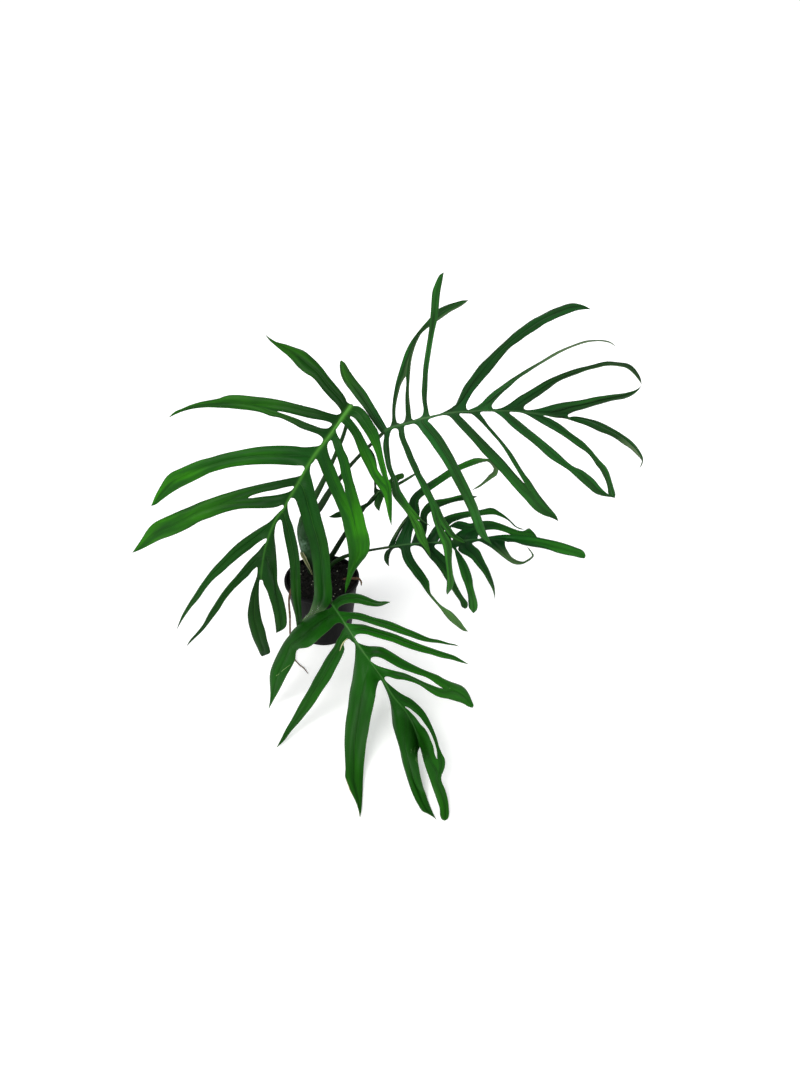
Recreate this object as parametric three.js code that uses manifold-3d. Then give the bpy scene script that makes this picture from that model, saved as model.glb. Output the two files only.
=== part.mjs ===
// A young monstera croatii in a black nursery pot. Millimetres, +Z up.
// The origin is the middle of the pot's underside, and the row's front is -Y.
// Each blade outline is drawn on a sighting plane, seen from one fixed viewpoint in front of
// and above the plant, and every outline point is set back from the viewpoint by its own distance.
import * as THREE from "three";
import Module from "manifold-3d";

// ---- driving dimensions (mm)
const POT_HEIGHT = 155;
const POT_RIM_RADIUS = 85;      // outside of the rolled rim
const POT_MOUTH_RADIUS = 81;    // wall radius just under the rim
const POT_BASE_RADIUS = 61;
const POT_WALL = 1.6;
const RIM_DEPTH = 9;
const DRAIN_HOLES = 6;
const DRAIN_HOLE_RADIUS = 5;
const DRAIN_RING_RADIUS = 44;
const MIX_TOP = 143;            // height of the potting mix at the wall
const MIX_MOUND = 4;
const GAP = 0.3;                // clearance between touching pieces
const BLADE_THICKNESS = 1.4;    // thickest part of a lobe
const MIDRIB_KEEL = 2.2;        // how far the midrib stands out below the blade
const MIDRIB_CREST = 0.6;

// ---- sighting frame: viewpoint, sight direction, up and scale
const EYE = new THREE.Vector3(177.5, -1371, 1238);
const SIGHT = new THREE.Vector3(0, 0.819152, -0.5735764);
const UP = new THREE.Vector3(0, 0.5735764, 0.819152);
const SCALE = 769.17;           // sighting units per unit of slope
const CX = 400, CY = 532.5;

// ---- blade outlines on the sighting plane: midrib, then lobes left and right of it from base to tip.
// a and b are a lobe's two edges, ha and hb the edges of a hole in it, fa and fb the inner edges of a fork,
// d its set-back in centimetres at a third, two thirds and the tip (z: its height in metres), roll its tilt across.
const OUTLINES = {
  leaf_left: {
    mid: "351.5,405 345,414 338,424 331,434 323,444 316,453 309,464 304,472 300,480 293,492 288,501 283,510 278,516 273,526 270,533 266,545 263,560 261,580",
    midDepth: [[0, 1.48], [0.25, 1.44], [0.5, 1.405], [0.75, 1.37], [0.9, 1.352], [1, 1.372]],
    L: [
      { a: "347,402 345,397 340,390 330,378 320,365 312,357 303,350 296,347.5 285,344 275,341 265,334.5",
        b: "341,412 336,404 330,398 322,389 316,381 312,377 305,373 298,367 290,358 280,349.5 270,341 265,334.5",
        d: [1.5, 3.0, 6.0], roll: [0, -25] },
      { a: "341,412 338,414.5 333,414 326,412 317,409 305,406 295,403.5 285,401 275,399 265,397.5 255,396.5 240,395 230,395 225,396 218,398.5 210,400 200,402 190,405 182,408.5 175,411.5 168,418",
        b: "323,440 322,437.5 318,434.5 310,431.5 300,428 295,425 287,421 280,418 270,416 262,413 250,410.5 240,409.5 230,408.5 220,408 210,407.5 200,408 190,409.5 180,412.5 168,418",
        ha: "332,424 327,421.5 320,420 310,418.5 300,416 288,413 280,411.5 277,411.5",
        hb: "332,424 328,428 322,428 313,425 305,422 297,418.5 287,415 280,412.5 277,411.5",
        d: [1.0, 2.5, 6.5], roll: [5, 30] },
      { a: "323,440 320,445 312,446.5 303,447 295,446 285,445.5 275,445.5 260,446.5 250,448 240,450 230,452 220,454.5 210,457.5 200,460 190,464 180,468.5 172,472 166,477 161,485 156,494 151,506",
        b: "304.5,468.5 303,466 297,465.5 285,465 275,464.5 262,464.5 250,465 240,466 230,467.5 220,470 210,473 200,478 190,483 180,488 170,494 162,500 155,505 151,506",
        d: [0.5, 1.8, 6.5], roll: [5, 20] },
      { a: "304.5,468.5 303,474 299,476 290,478 280,480 265,483 250,486.5 240,489 230,492 220,495 210,498.5 200,502 190,506.5 180,510.5 170,515 160,519.5 153,523.5 147,530 142,538 132,553",
        b: "283.5,507.5 283,505 276,507 270,508 260,508.5 250,508.5 240,509 230,511 220,514 210,518 200,521.5 190,527.5 180,532.5 170,536.5 160,540 150,545 140,550 132,553",
        ha: "294,486.5 285,487.5 275,490 262,492.5 251,496 248,498",
        hb: "294,486.5 291,490.5 285,493 275,495 262,496.5 251,498 248,498",
        d: [0.2, 1.6, 6.5], roll: [5, 15] },
      { a: "283.5,507.5 280,511 276,515 270,521 262,526 255,530.5 250,534 240,541 230,550 220,560.5 210,571.5 200,585.5 190,601 183,613 180,620 176,631",
        b: "266.5,538.5 264,539 262,540 255,544.5 250,549 240,556.5 230,565 220,574 214,579 206,588 200,597 190,609 183,619 176,631",
        d: [0.8, 4.0, 10.0], roll: [0, 15] },
      { a: "266.5,538.5 266,542 263,545 258,551 250,559 243,567 235,577 226,587 217,600 210,611 203,624 197,632 190,640 186,647",
        b: "257,567 255,568.5 253,570 248,576 243,580.5 240,583.5 233,590 225,600 218,611 210,621.5 202,631.5 193,640 186,647",
        d: [0.8, 3.6, 8.5], roll: [0, 10] },
      { a: "257,567 257,575 254,584 251,593 249,603 247.5,613 248,622 250,630 253,639 257,648 260,654 262,656.5",
        b: "260.5,579 260,580 259,590 259,600 260,611 262,621 265,630 267,640 270,650 270,653 266,655 262,656.5",
        d: [1.6, 4.4, 8.5], roll: [0, 10] },
    ],
    R: [
      { a: "352.5,406 358,406 363,409 368,415 373,423 378,431 380,440 382,450 384,460 386,468 388,478 391,485 392,495 392,510 391.5,526",
        b: "338,426 340,422 347,428 353,437 357,447 361,457 366,467 372,478 378,487 383,495 386,505 388,515 391.5,526",
        ha: "347,415 354,418 361,427 367,436 371,443 375,452 378,462 381,472 383,477",
        hb: "347,415 352,420 360,431 366,442 370,450 375,460 378,470 383,477",
        d: [1.0, 3.5, 7.5], roll: [20, 25] },
      { a: "338,426 336,428 337,434 341,441 344,450 348,458 350,466 353,480 356,490 359,500 361,507 364,517 366,526 369,537 370,545 369,551 366,557 360,564 355,571 352,577 349,585 345,594",
        b: "313.5,462 316,459 320,466 323,474 327,484 331,493 335,501 339,511 342,520 344,530 347,543 348.5,555 348,565 347,575 345,585 345,594",
        ha: "327.5,445 331,440 334,448 337,457 340,467 341,475 344,485 345,493",
        hb: "327.5,445 330,457 335,468 339,478 343,487 345,493",
        d: [2.6, 8.2, 17.5], roll: [15, 10] },
      { a: "313.5,462 311,465 310,472 312,480 314,488 316,497 318,504 320,512 322,520 324,527 326,535 328,543 329,550 330,560 330.5,570 331,580 332,590 331.5,600 327,608 318,615 308,620 301,621.5",
        b: "289.5,500 291,498 295,499 298,506 301,516 303,524 305,532 308,540 310,548 312,560 313,570 313.5,580 314,590 313.2,599.2 311,606.8 308.9,612.3 304.5,617 301,621.5",
        d: [3.4, 11.4, 21.6], roll: [10, 5] },
      { a: "289.5,500 288,502 288,510 290,518 293,526 295,534 297,542 298.5,550 300,562 300.5,575 301,590 301.3,605 302,620 301.5,628 299,637",
        b: "279.5,520 281,520 283,528 285,540 287,550 289,560 290,570 290.4,580 291,592 292.5,601.4 294.7,612.3 296.6,626 299,637",
        d: [3.2, 10.8, 20.8], roll: [5, 5] },
      { a: "279.5,520 277.5,522 276,525 275,532 276,545 277,560 277,575 278.4,585 282.7,596 285.4,606.8 286.9,617.7 286.5,625.3 283.8,629.1 276.2,633",
        b: "260.5,579 262,580 264.2,585 268.5,593.7 271.8,604.6 274,614 275,622 276.2,633",
        d: [1.6, 4.6, 8.5], roll: [0, 5] },
    ],
  },
  leaf_right: {
    mid: "382,434 387,429.5 395,426.5 403,424.3 412,421.8 420,419 429,417.3 440,414.8 454,412.3 469.5,411.3 480,410.8 495,410.8 509.9,410.9 520,411.9 530,413.3 541.7,414.7 554.6,416.2 568,416.5",
    midDepth: [[0, 1.5], [0.3, 1.47], [0.6, 1.465], [1, 1.5]],
    L: [
      { a: "380.5,432 378,429 375,425 369,416 363,407 356,398 350,390 346,385 342,378 340,370 340,362 341,360",
        b: "388,428.5 384.1,422.6 382,419 378,412 372,402 366,392 358,382 350,371 345,363 341,360",
        d: [1.0, 1.5, 0.5], roll: [0, 20] },
      { a: "388,428.5 390.5,425.5 391.9,420 392.1,410 392.8,400 394.4,390 396.6,380 399.5,370 402.6,360 406.5,350 411.8,340 419.5,330 428.2,320 434,313 438.7,308.9 446.2,305.3 455.9,302.1 462.1,300.4 468.4,300.1",
        b: "413.8,419.8 412,418.8 411,413.7 410.3,406.5 409.4,397.3 409.2,388.1 409.7,380.9 410.2,373.7 410.8,365.5 412,358.3 413.8,351.2 416.1,344 418.5,338.8 421,333.9 424.6,330.6 428.7,327.4 437.2,321.2 443.6,316.8 450.8,312 457.9,308.1 464.1,304 468.4,300.1",
        ha: "399.5,423.8 397.4,422.9 395.9,417.8 395.6,411.7 396.4,403.5 397.6,397.3 399.5,390.1 401,385 403.6,379.9 405.9,376.3",
        hb: "399.5,423.8 401.5,423.8 404.1,420.9 405.4,416.8 405.4,408.6 405.2,399.4 405.6,391.2 406.3,382.9 405.9,376.3",
        d: [2.5, 5.5, 9.5], roll: [20, 40] },
      { a: "413.8,419.8 418,418.4 422,415.5 423.5,410 422.6,400 421.8,390 422.4,380 423.2,370 424.5,360 425.8,350 427.4,340 429,330 430,320 430.8,310 431.5,300 432.8,290 436.7,280 439.5,275 443.8,272.2",
        b: "431,416.3 429.6,415 428.4,410 427.2,400 427.4,390 427.8,380 428.7,370 429.9,360 431.3,350 433.1,340 435.1,330 437.2,320 438.8,310 439.7,300 440.7,290 442.6,280 443.8,272.2",
        d: [0.5, 2.0, 5.0], roll: [50, 15] },
      { a: "431,416.3 440,414 447,412 451.8,409.1 455.4,404.5 457.7,399.4 460.5,393.2 464.1,386 469.2,378.8 474.4,371.7 480,364.5 486.7,357.8 493.8,351.2 501,344.5 510.9,335.3 519.9,328 529.8,320.9 539.7,315.4 549.6,310.4 558.6,306.7 565.5,304.2 570.5,303.2 575.5,303.2 581.4,304.4 587.4,307.1 590.9,309.4",
        b: "468,409.8 466.7,408.6 466.2,405 467.2,402.4 470.3,396.3 474.4,389.6 480,383 485.6,376.8 490.8,370.6 495.9,364.5 500,359.2 504.9,353.1 509.9,347.9 519.8,340.5 529.8,333.7 539.7,327.3 544.7,323.8 549.6,321.3 559.6,316.9 569.5,312.9 579.5,309.9 585.4,309.2 590.9,309.4",
        d: [1.5, 4.5, 10.0], roll: [-5, -20] },
      { a: "468,409.8 470.3,409.1 477.4,406 482.6,401.9 486.7,397.8 492.8,392.7 500,387.6 509.9,379.9 519.8,373.9 529.8,368 539.7,361.9 549.6,356.1 559.6,350.8 569.5,346.2 579.5,342.7 586.4,340.9 594.4,340 600.3,339.9 605.3,340.4 610.3,342 613.2,343.9 615.5,346.7",
        b: "494.5,408.9 492.8,408.4 492,405.5 493.8,402.4 499,396.8 505.1,390.6 512.3,384.5 519.9,377 529.8,370.3 539.7,363.9 549.6,358 559.6,352.4 569.5,347.8 579.5,344.1 586.4,342.2 594.4,341.2 600.3,341.1 605.3,341.7 610.3,343.2 613.2,345 615.5,346.7",
        d: [1.5, 4.5, 10.0], roll: [40, 72] },
      { a: "494.5,408.9 500,408.2 504.9,406.3 509.9,403.3 514.9,399.8 519.8,396.3 524.8,393.4 529.8,390.4 539.7,384.4 549.6,379 559.6,374.5 569.5,371 579.5,368 589.4,365.5 599.3,363.1 605.3,361.8 611.2,361.4 617.2,362.1 624.2,363.1 629.1,364.5 634.1,368 638.1,373 640.6,378.5 641.8,384.4",
        b: "526,409.7 524.6,409.1 523.8,407.8 525.3,405.3 529.8,402.3 534.7,398.8 539.7,395.8 544.7,391.9 549.6,388.4 554.6,384.4 559.6,381.4 569.5,377 579.5,373.5 589.4,370 599.3,367.5 605.3,366.3 614.2,366 620.2,366.7 625.2,368 630.1,371 635.1,375.5 638.6,380 641.8,384.4",
        d: [1.0, 4.0, 9.5], roll: [10, 65] },
      { a: "526,409.7 532.8,409.8 539.7,408.8 546.7,406.8 554.6,404.6 564.5,402.8 574.5,401.3 584.4,399.5 594.4,397.3 604.3,395.6 614.2,394.1 624.2,392.9 629.1,391.9 634.1,390.4 638.1,388.4 641.9,385.2",
        b: "568,416.1 568,415.3 569,414.2 572.5,412.7 579.5,410.7 589.4,407.8 599.3,404.8 609.3,401.8 619.2,399.8 624.2,398.8 631.1,396.1 635.1,393.4 638.6,389.9 641.9,385.2",
        d: [0.5, 2.5, 7.0], roll: [20, 35] },
    ],
    R: [
      { a: "383.5,433 384.1,435.4 383.6,441 383.6,449.2 384.6,457.4 386.2,465.6 389.2,473.8 391.8,480 391.8,487.2 392.8,495.4 396.4,500.5 400.5,505.5 405.6,512 409.7,519 412.8,526 415.4,533.5 418.3,540.8 422.5,545.8 426.7,551.7 430,557.5",
        b: "392.5,429.3 390.8,432 389.7,435.9 389.2,443.1 389.7,451.3 390.8,459.5 392.3,467.7 395.4,475.9 398.5,483.1 400.3,489 404.6,496.4 410,505 413.3,509.2 418.3,515 423.3,520.8 426.7,522.9 430.4,525.8",
        fa: "417.5,519.6 420.8,522.5 423.3,528.3 425.4,534.2 427.5,540.8 429.2,547.5 430.4,553.3 430,557.5",
        fb: "417.5,519.6 421.7,521.5 426,524 430.4,525.8", fd: [-1.2, 1.2],
        d: [3.0, 7.0, 11.0], roll: [45, 10] },
      { a: "392.5,429.3 396.5,428.6 398.3,430.5 398.7,434.9 400.5,441 403.6,448.2 407.2,457.4 411.8,468.2 415.9,476.9 420,485.1 423.1,492.3 427.2,499.5 430.3,507.7 432,515 433.5,521 435.4,526.5 437.5,533.3 440,539.2 442.9,545.8 444.4,553.3 445.2,560 446,567 446.7,575 447,584 446.4,592.5 447.3,594.6",
        b: "409,424.8 404.6,426.2 404.4,430.8 405.6,437.9 409.7,447.2 413.8,457.4 418.5,466.7 421,473.8 426.2,482.1 430.8,490.8 435.2,500 439.6,507.5 443.8,516.7 447.7,522.5 450.8,527.9 455.8,534.2 463.3,540 465.1,543.1",
        fa: "440.8,525.5 443.3,529.2 446.7,534.2 450.8,540.8 452.1,546.7 452.3,553.3 452,560.8 452.5,567.5 453.3,575 453.8,581.7 452.3,588 449.2,592.3 447.3,594.6",
        fb: "440.8,525.5 445,530.5 450,536.7 456,540.3 463.3,543 465.1,543.1", fd: [-0.8, -0.4],
        d: [2.2, 6.0, 9.6], roll: [30, 15] },
      { a: "409,424.8 413.5,423.8 416,424.5 419,427.6 423.1,433.3 428.2,439.5 433.3,446.7 438.5,454.4 443.6,462.1 448.3,470 453.3,480 458.3,489.2 461.7,495.5 465,502.6 468.3,510 470.8,516.7 473.3,522.5 475.6,529.8 478.7,535 483.3,539.6 488.3,542.9 492.4,545.2",
        b: "440,415.8 434,417.5 428.8,419.6 428,421.3 430.3,423.1 435.4,428.7 440.5,434.4 444.6,440.5 448.7,447.7 453.8,456.4 459,466.7 464.1,476.9 469.2,486.7 473.3,496.4 477.4,505.6 481,515.9 483.6,524.1 487.2,534.4 492.4,545.2",
        d: [1.0, 3.5, 8.0], roll: [25, 25] },
      { a: "440,415.8 446,415.3 449.7,416.6 455.9,423.1 462.1,429.7 470.3,438.5 477.4,446.7 484.6,454.9 490.3,460.6 497.9,468.9 504.9,476.6 514.9,488.4 524.8,498.8 529.8,504.8 534.7,509.8 539.7,513.2 544.7,515.7 549.6,517.2 554.6,519.2 558.6,521.4",
        b: "494,411.9 487,411.7 481.5,411.9 480.3,413 483.6,417.9 488.7,425.1 494.9,432.3 501,439.5 506.2,445.6 511.3,452.3 516.4,460.5 521.5,468.7 526.7,476.4 529.8,480.2 534.7,487.4 539.7,494.9 544.7,501.3 549.6,507.3 553.6,511.7 556.6,516.2 558.6,521.4",
        ha: "464,413.6 459.8,413.6 459.5,414.9 464.1,419.5 472.3,427.7 480.5,436.4 487.7,443.6 495.9,451.8 503.1,459.5 510.3,467.7 517.4,475.9 524.8,483.9",
        hb: "464,413.6 470.3,413.3 474.4,415.9 480.5,421.5 486.7,428.2 492.8,434.9 497.9,440.5 503.1,447.7 509.2,457.4 515.4,467.7 520.5,476.4 524.8,483.9",
        d: [0.5, 2.0, 5.0], roll: [20, 15] },
      { a: "494,411.9 496.5,413.2 500,415.6 504.9,419.8 509.9,424.8 519.8,432.8 529.8,440.7 539.7,449.1 549.6,457.8 559.6,464.5 569.5,471 579.5,479.9 589.4,488.9 594.4,492.9 600.3,495.3 606.3,496.5 614.7,497.6",
        b: "520.5,412.7 514,412.1 510,412.1 509.4,413 514.9,417.4 524.8,425.3 534.7,433.3 544.7,441.7 554.6,449.6 559.6,454.1 564.5,459.1 569.5,463.6 574.5,467 581.4,469.5 587.4,473.5 594.4,479.5 599.3,485.9 604.3,490.9 608.8,494.4 614.7,497.6",
        d: [0.5, 2.2, 5.0], roll: [20, 20] },
      { a: "520.5,412.7 523,413.3 527.8,415.2 534.7,418.9 542.7,423.4 549.6,427.6 559.6,433.6 569.5,439.8 579.5,447.2 584.4,450.6 589.4,455.1 593.4,460.1 596.3,464.5 600.3,469.5 603.3,475.5 605.8,481.4 607.8,488.4 608.8,494 611.5,496.9 614.7,498.0",
        b: "547,416 544.3,415.4 543.7,415.9 550.6,418.4 554.6,420.7 559.6,423.7 564.5,427.1 569.5,431.1 579.5,438.6 584.4,442.5 588.4,446.7 592.4,450.6 596.3,455.6 600.3,460.6 605.3,465.7 609.3,472.5 611.7,479.5 613.7,487.4 615.4,494.4 614.7,498.0",
        d: [0.3, 1.5, 5.6], roll: [10, 45] },
      { a: "547,416 556,417.2 564.5,418.3 570.5,419.8 579.5,422.2 589.4,426.3 599.3,430.7 609.3,434.8 619.2,440.4 624.2,444.2 631.1,449.1 636.1,453.6 640.1,458.1 641.8,460.8 641.2,463.6 639.3,468.7",
        b: "568,416.9 570,417.4 573.5,418 584.4,419.2 594.4,421.4 601.3,423.2 609.3,426.6 616.2,430.6 624.2,435.7 631.1,440.5 636.1,445.7 640.1,451.1 642.5,456.6 643,460.1 642,464.6 639.3,468.7",
        d: [0.3, 2.0, 7.0], roll: [40, 60] },
    ],
  },
  leaf_front: {
    mid: "330.8,602.3 334,606.8 340.5,616.6 347,626.4 352.5,635.1 357.9,643.9 364.5,653.7 371,662.4 376.5,670 383,678.8 388.5,688.6 395,698.4 402.6,707 409,716 414.5,727 418,738 419.7,747.4",
    midZ: [[0, 0.212], [0.15, 0.2], [0.35, 0.165], [0.6, 0.105], [0.8, 0.058], [1, 0.022]],
    L: [
      { a: "332,604.8 331.3,607.3 327.4,609.2 321.4,611.2 315.4,612.8 308.9,616.2 303.4,619.9 298,625 292.5,629.7 288.2,635.7 283.8,641.7 280.5,647.7 277.3,653.7 274,660.2 271.8,665.7 270.2,671.1 269.4,678.8 269.6,686.4 270.2,694 269.8,701.6 268.5,709.3",
        b: "344.5,627 343.5,624.8 340.5,622.9 337.2,622.9 334,624.8 330.1,628.6 326.3,631.9 321.4,636.2 316.5,640.6 312.1,644.4 308.9,646.6 304.5,648.2 299.1,648.8 296.9,649.9 295.6,653.7 294.9,659.1 293.1,663.5 290.3,668.9 286,676.6 281.6,685.3 278.4,691.8 274,699.5 268.5,709.3",
        z: [0.192, 0.105, 0.004], roll: [0, 0] },
      { a: "344.5,627 342,631 339.9,635.7 337.2,639.5 334,646 330.7,650.4 326.3,657 321.4,665.7 315.4,675.5 310,686.4 303.4,697.3 296.9,709.3 291.4,719.1 286,728.9 281.6,737.6 276.2,748.3",
        b: "351.8,641.5 349,639 346.5,640 343.8,643.9 344.3,649.3 342.7,653.7 339.9,660.2 335,670 329.6,679.8 323,689.7 316.5,699.5 310,709.3 304.5,715.8 298,723.5 291.4,731.1 284.9,739.8 276.2,748.3",
        z: [0.122, 0.048, 0.004], roll: [0, 0] },
      { a: "351.8,641.5 354,643 355.2,646 354.7,655.9 353.6,665.7 351.4,679.8 349.2,691.8 347.6,704.9 345.4,720.5 344.4,730.4 344.1,740.3 344.4,750.1 344.8,760 345.3,769 345,776.1 346.2,780.6 348.8,786 351.5,793.2 354.2,798.6 356.9,804.9 358.7,811.2 360,818.5",
        b: "381,680.5 379.2,680.9 377,687.5 375.4,695.1 372.6,707.1 371.2,713 369.9,720.4 368.1,730.4 366.3,741.2 365,751 364.1,761.8 363.4,770.8 363,779.7 362.8,789.6 362.3,799.5 361.6,809.4 360,818.5",
        z: [0.072, 0.012, 0.004], roll: [0, 0] },
      { a: "381,680.5 384.1,686.4 387.4,695.1 390.1,706 391.5,718 392.2,725 394.6,734 397.3,742.9 399.6,751.9 401.8,761.8 405.4,773.5 409.9,786.9 414.4,797.7 418.8,805.8 422.4,811.2 426.9,813.4 431.4,815.8 434.5,818 436.8,820.8",
        b: "419.7,747 418.4,751 417.9,754.6 417.8,761.8 418.4,769 419.7,775.3 421.5,782.4 423.3,789.6 426.9,797.7 430.5,806.7 433.2,812.9 436.8,820.8",
        z: [0.034, 0.006, 0.004], roll: [0, 0] },
    ],
    R: [
      { a: "331.3,602.3 334,600.3 338.3,596.4 342.7,594.3 348.1,592.8 353.6,592.8 360.1,593.9 366.7,596.4 373.2,599.2 379.7,601 384.1,601.1 390.9,601.9",
        b: "338.7,611 338,609 338.8,607.3 342.7,604.8 348.1,603 354.7,602.8 360.1,603.3 366.7,605.2 373.2,606.3 378.6,606.3 384.1,604.8 390.9,601.9",
        z: [0.222, 0.212, 0.185], roll: [0, 0] },
      { a: "338.7,611 340.5,611.4 348.1,611.7 355.8,612 363.4,613.6 371,616 381.9,618.8 396.6,623.6 404.8,627.2 413,630.8 422.2,634.9 430.4,638 437.6,639.5 442.7,641 448.9,643 455,644.3 459.7,646.7",
        b: "346,622.5 346.5,621.2 349.2,619.2 354.7,619.2 362.3,621 371,623.4 379.1,626.3 387.3,629 396.6,632 406.8,635.6 417.1,639.2 425.3,641.2 432.5,642.5 439.6,643.2 447.9,644.6 455,645.6 459.7,646.7",
        z: [0.198, 0.172, 0.132], roll: [0, 0] },
      { a: "346,622.5 349,623.4 355.8,623.8 363.4,624.3 371,626.3 379.7,628.8 390.6,632.3 401.5,636.3 412,640.4 423.2,645.1 432.5,648.2 440.7,650.8 447.9,653.3 455,655.9 461.2,659.5 468.9,664.4",
        b: "355,639.2 354.5,637.5 355.8,635.3 359,633.9 365.6,634.1 373.2,636.2 379.7,637.9 392.8,642 401.7,645.6 412,649 422.2,652.3 432.5,654.9 441.7,657.5 450.9,659.5 458.1,661.6 468.9,664.4",
        z: [0.17, 0.142, 0.098], roll: [0, 0] },
      { a: "355,639.2 356.8,641.7 362.3,644.4 368.8,645.8 375.4,646 381.9,646.8 388.5,650 396.1,654.4 403.7,659.2 412,664 420,667.8 427.3,670.8 437.6,674.9 443.8,678.5 449.9,681.1 457.1,683.3 462.2,685.7 465.8,688.7 469.4,694.4 472,700.5 473.7,705.7 472.5,707.8",
        b: "384.5,677.5 386.5,676.8 390.4,677.5 396.6,679 403.7,679.7 410.9,681.2 417.1,683.6 422.2,686.7 427.3,690.3 432.5,693.4 437.6,696.4 442.7,698 448.9,698.9 456.1,701.1 463.2,703.6 468.4,706.7 472.5,707.8",
        ha: "370.4,660.4 371.9,657.5 376,656.4 381.2,657.7 386.3,660.5 392.5,664.1 400.7,668.2 408.9,671.3 417.1,674.4 425.3,676.9 431.4,680 437.6,684.6 443,688.3",
        hb: "370.4,660.4 373,662.8 378.1,665.7 386.3,668.2 394.5,670.3 402.7,672.3 409.9,675.4 417.1,678.5 424.3,681.6 431.4,684.6 437.6,687.2 443,688.3",
        z: [0.128, 0.086, 0.03], roll: [0, 0] },
      { a: "384.5,677.5 385.5,680.5 390.4,685.2 396.6,690.3 402.7,694.4 410.9,698.5 416.1,702.6 421.2,707.7 425.3,712.9 429.4,720 433,728.2 436.8,737.9 439.5,747.4 442.2,753.7 444.9,759.1 445.3,764.5 444,770.8 441.5,776.8 441.8,781.5 444.9,788.7 447.6,797.7 448.9,806.7 448.9,815.6 447.5,819 444.7,820.8",
        b: "419.7,747 421.1,751.9 423.3,760 426,769 429.6,778.8 433.2,789.6 436.8,799.5 439.5,807.6 440.2,815.6 442,819.5 444.7,820.8",
        ha: "404.9,706.6 408.8,707.8 413.5,711.5 419.7,716.9 424.2,723.2 428.7,729.5 432.3,736.7 435,743.8 436.8,751 437.2,759.1",
        hb: "404.9,706.6 410,711.9 415.8,718.3 419.7,724.1 424.2,728.6 427.8,734 430.5,740.3 433.2,747.4 435,754.6 437.2,759.1",
        z: [0.07, 0.022, 0.004], roll: [0, 0] },
    ],
  },
  leaf_low_right: {
    mid: "387,547.5 398,545.5 411,544 422,543 436,542.2 450,541 464,540 478,539 492,538.7 505,540.5",
    midDepth: [[0, 1.64], [0.4, 1.615], [0.7, 1.61], [1, 1.625]],
    L: [
      { a: "388,546.5 391,541 394,535 398.5,527.5 404,520 410,514 415,509.5 419,506",
        b: "394.5,545 396,541 399,535 402,529 407,522 412,515.5 416,510.5 419,506",
        d: [0.6, 0.8, 0.5], roll: [50, 60] },
      { a: "394.5,545 397,539 400,533 404,525 407,517 408.5,509 409,502 411,497.5 415,492.5 420,488.6 426.3,483.8 431.7,480.4 438.3,476.3 443.3,472.9 447.9,469.8 453,467 458.3,464.8 463.3,462.3 470,459.6 476.3,457.7 481.7,458.3 488.3,458.8 494,461.5 498.4,467 498.4,470.4 496.4,475.7 493.1,477.6 489.2,480.5 484.4,483.8 479.6,487.2 471.4,490.4",
        b: "411,543.5 411.5,537 413,530 416,523 419,517 420,511 419,505.5 418.8,500.5 423.3,496 430.8,490.4 436.7,486.3 443.3,481.7 451.7,476.3 457,472.6 461.3,470 467.5,467.5 474.2,465 480,463 484.5,462 488.3,461.7 491,464.5 493.5,468 493.1,471.3 489.2,474.7 485.4,479 480.6,483.8 475.8,487.2 471.4,490.4",
        d: [0.5, 0.0, -1.5], roll: [10, 20] },
      { a: "411,543.5 413.5,537 416,530.5 418.5,524 420,517.5 421,511.5 424.2,506.5 427.5,503.3 431.5,501 435.8,500 443.3,498.9 450.8,497.2 460,495 467,494.8 472,495.6 477.5,496.3",
        b: "424,542.8 425.5,536 427,529.5 427.5,522.5 427.3,517 429,513.5 433,510.5 439.6,507.3 446.7,504.6 455,502.1 463.3,500.4 469,499.3 474.2,498 477.5,496.3",
        d: [1.2, 1.2, 1.5], roll: [15, 35] },
      { a: "424,542.8 427,538 430,533 433,528.5 436.5,524.5 440,520.5 443.8,517.3 450.8,514.4 459.2,512.5 468.3,511.1 474,510.5 480,509.9 485,508.8 490.4,507.7 495,508.8 499.5,511.7 503.7,514.6 509.4,519.4 513.3,523.3 516.2,526.2 521,528.3 524.8,529.5",
        b: "438,542 440,537.5 443,532.5 446.5,528 450,524.5 453.5,522 458.3,520.2 463.3,518.6 470.8,517 476,516 482.1,515.5 488.3,514.8 495,514.8 499.8,516.3 505.6,518.9 510.4,522.3 514.2,526.2 520,529.2 524.8,529.5",
        d: [0.4, 0.3, 2.5], roll: [10, 15] },
      { a: "438,542 441.5,536.5 445.5,530.5 449.5,526 453.5,523 458.3,520.9 465,522 470,523.4 476,522 483.3,520.8 490.8,520.8 495,521.8 503.7,524.7 513.3,528.6 519,530.5 523.8,531 527.7,528.6 529.3,528.1 531.5,530 534.4,532.9 537.5,537.8",
        b: "478,538.7 478,536.5 479.5,533.5 482.5,531 485.9,530.1 494,529.6 501.7,531 507.5,532.9 511.1,534.8 518,536 525,536.8 531,537.6 537.5,537.8",
        ha: "452,540.3 451,537.5 450.6,532.5 450.8,527.4 456,528.4 461.7,529.9",
        hb: "452,540.3 454,536.5 457.5,532.5 461.7,529.9",
        d: [0.6, 1.4, 3.0], roll: [5, 20] },
      { a: "478,538.7 483,537.2 488.3,536.5 498.8,535.1 505,534.7 511.1,534.7 524,535.2 536.3,536.9 546.9,539.1 556.5,541.1 566.2,543.9 575.8,547.3 582.5,550.2 584.9,553.1 585.6,556 584.6,558.4",
        b: "505,541.6 507.5,542 510.4,542 516.2,542.7 522.9,544.9 532.5,546.8 542.1,548.3 549.8,550.2 556.5,552.6 566.2,555 573.8,556.4 580.6,558.1 584.6,558.4",
        d: [0.0, 0.5, 3.0], roll: [0, 10] },
    ],
    R: [
      { a: "387.5,547.9 389.2,548.3 385.8,551.7 384,555.8 384.3,560 386.7,564.2 389.2,566.5",
        b: "396,548 393.3,549.2 390.8,552.5 389.3,557.5 389,562.5 389.2,566.5",
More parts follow.
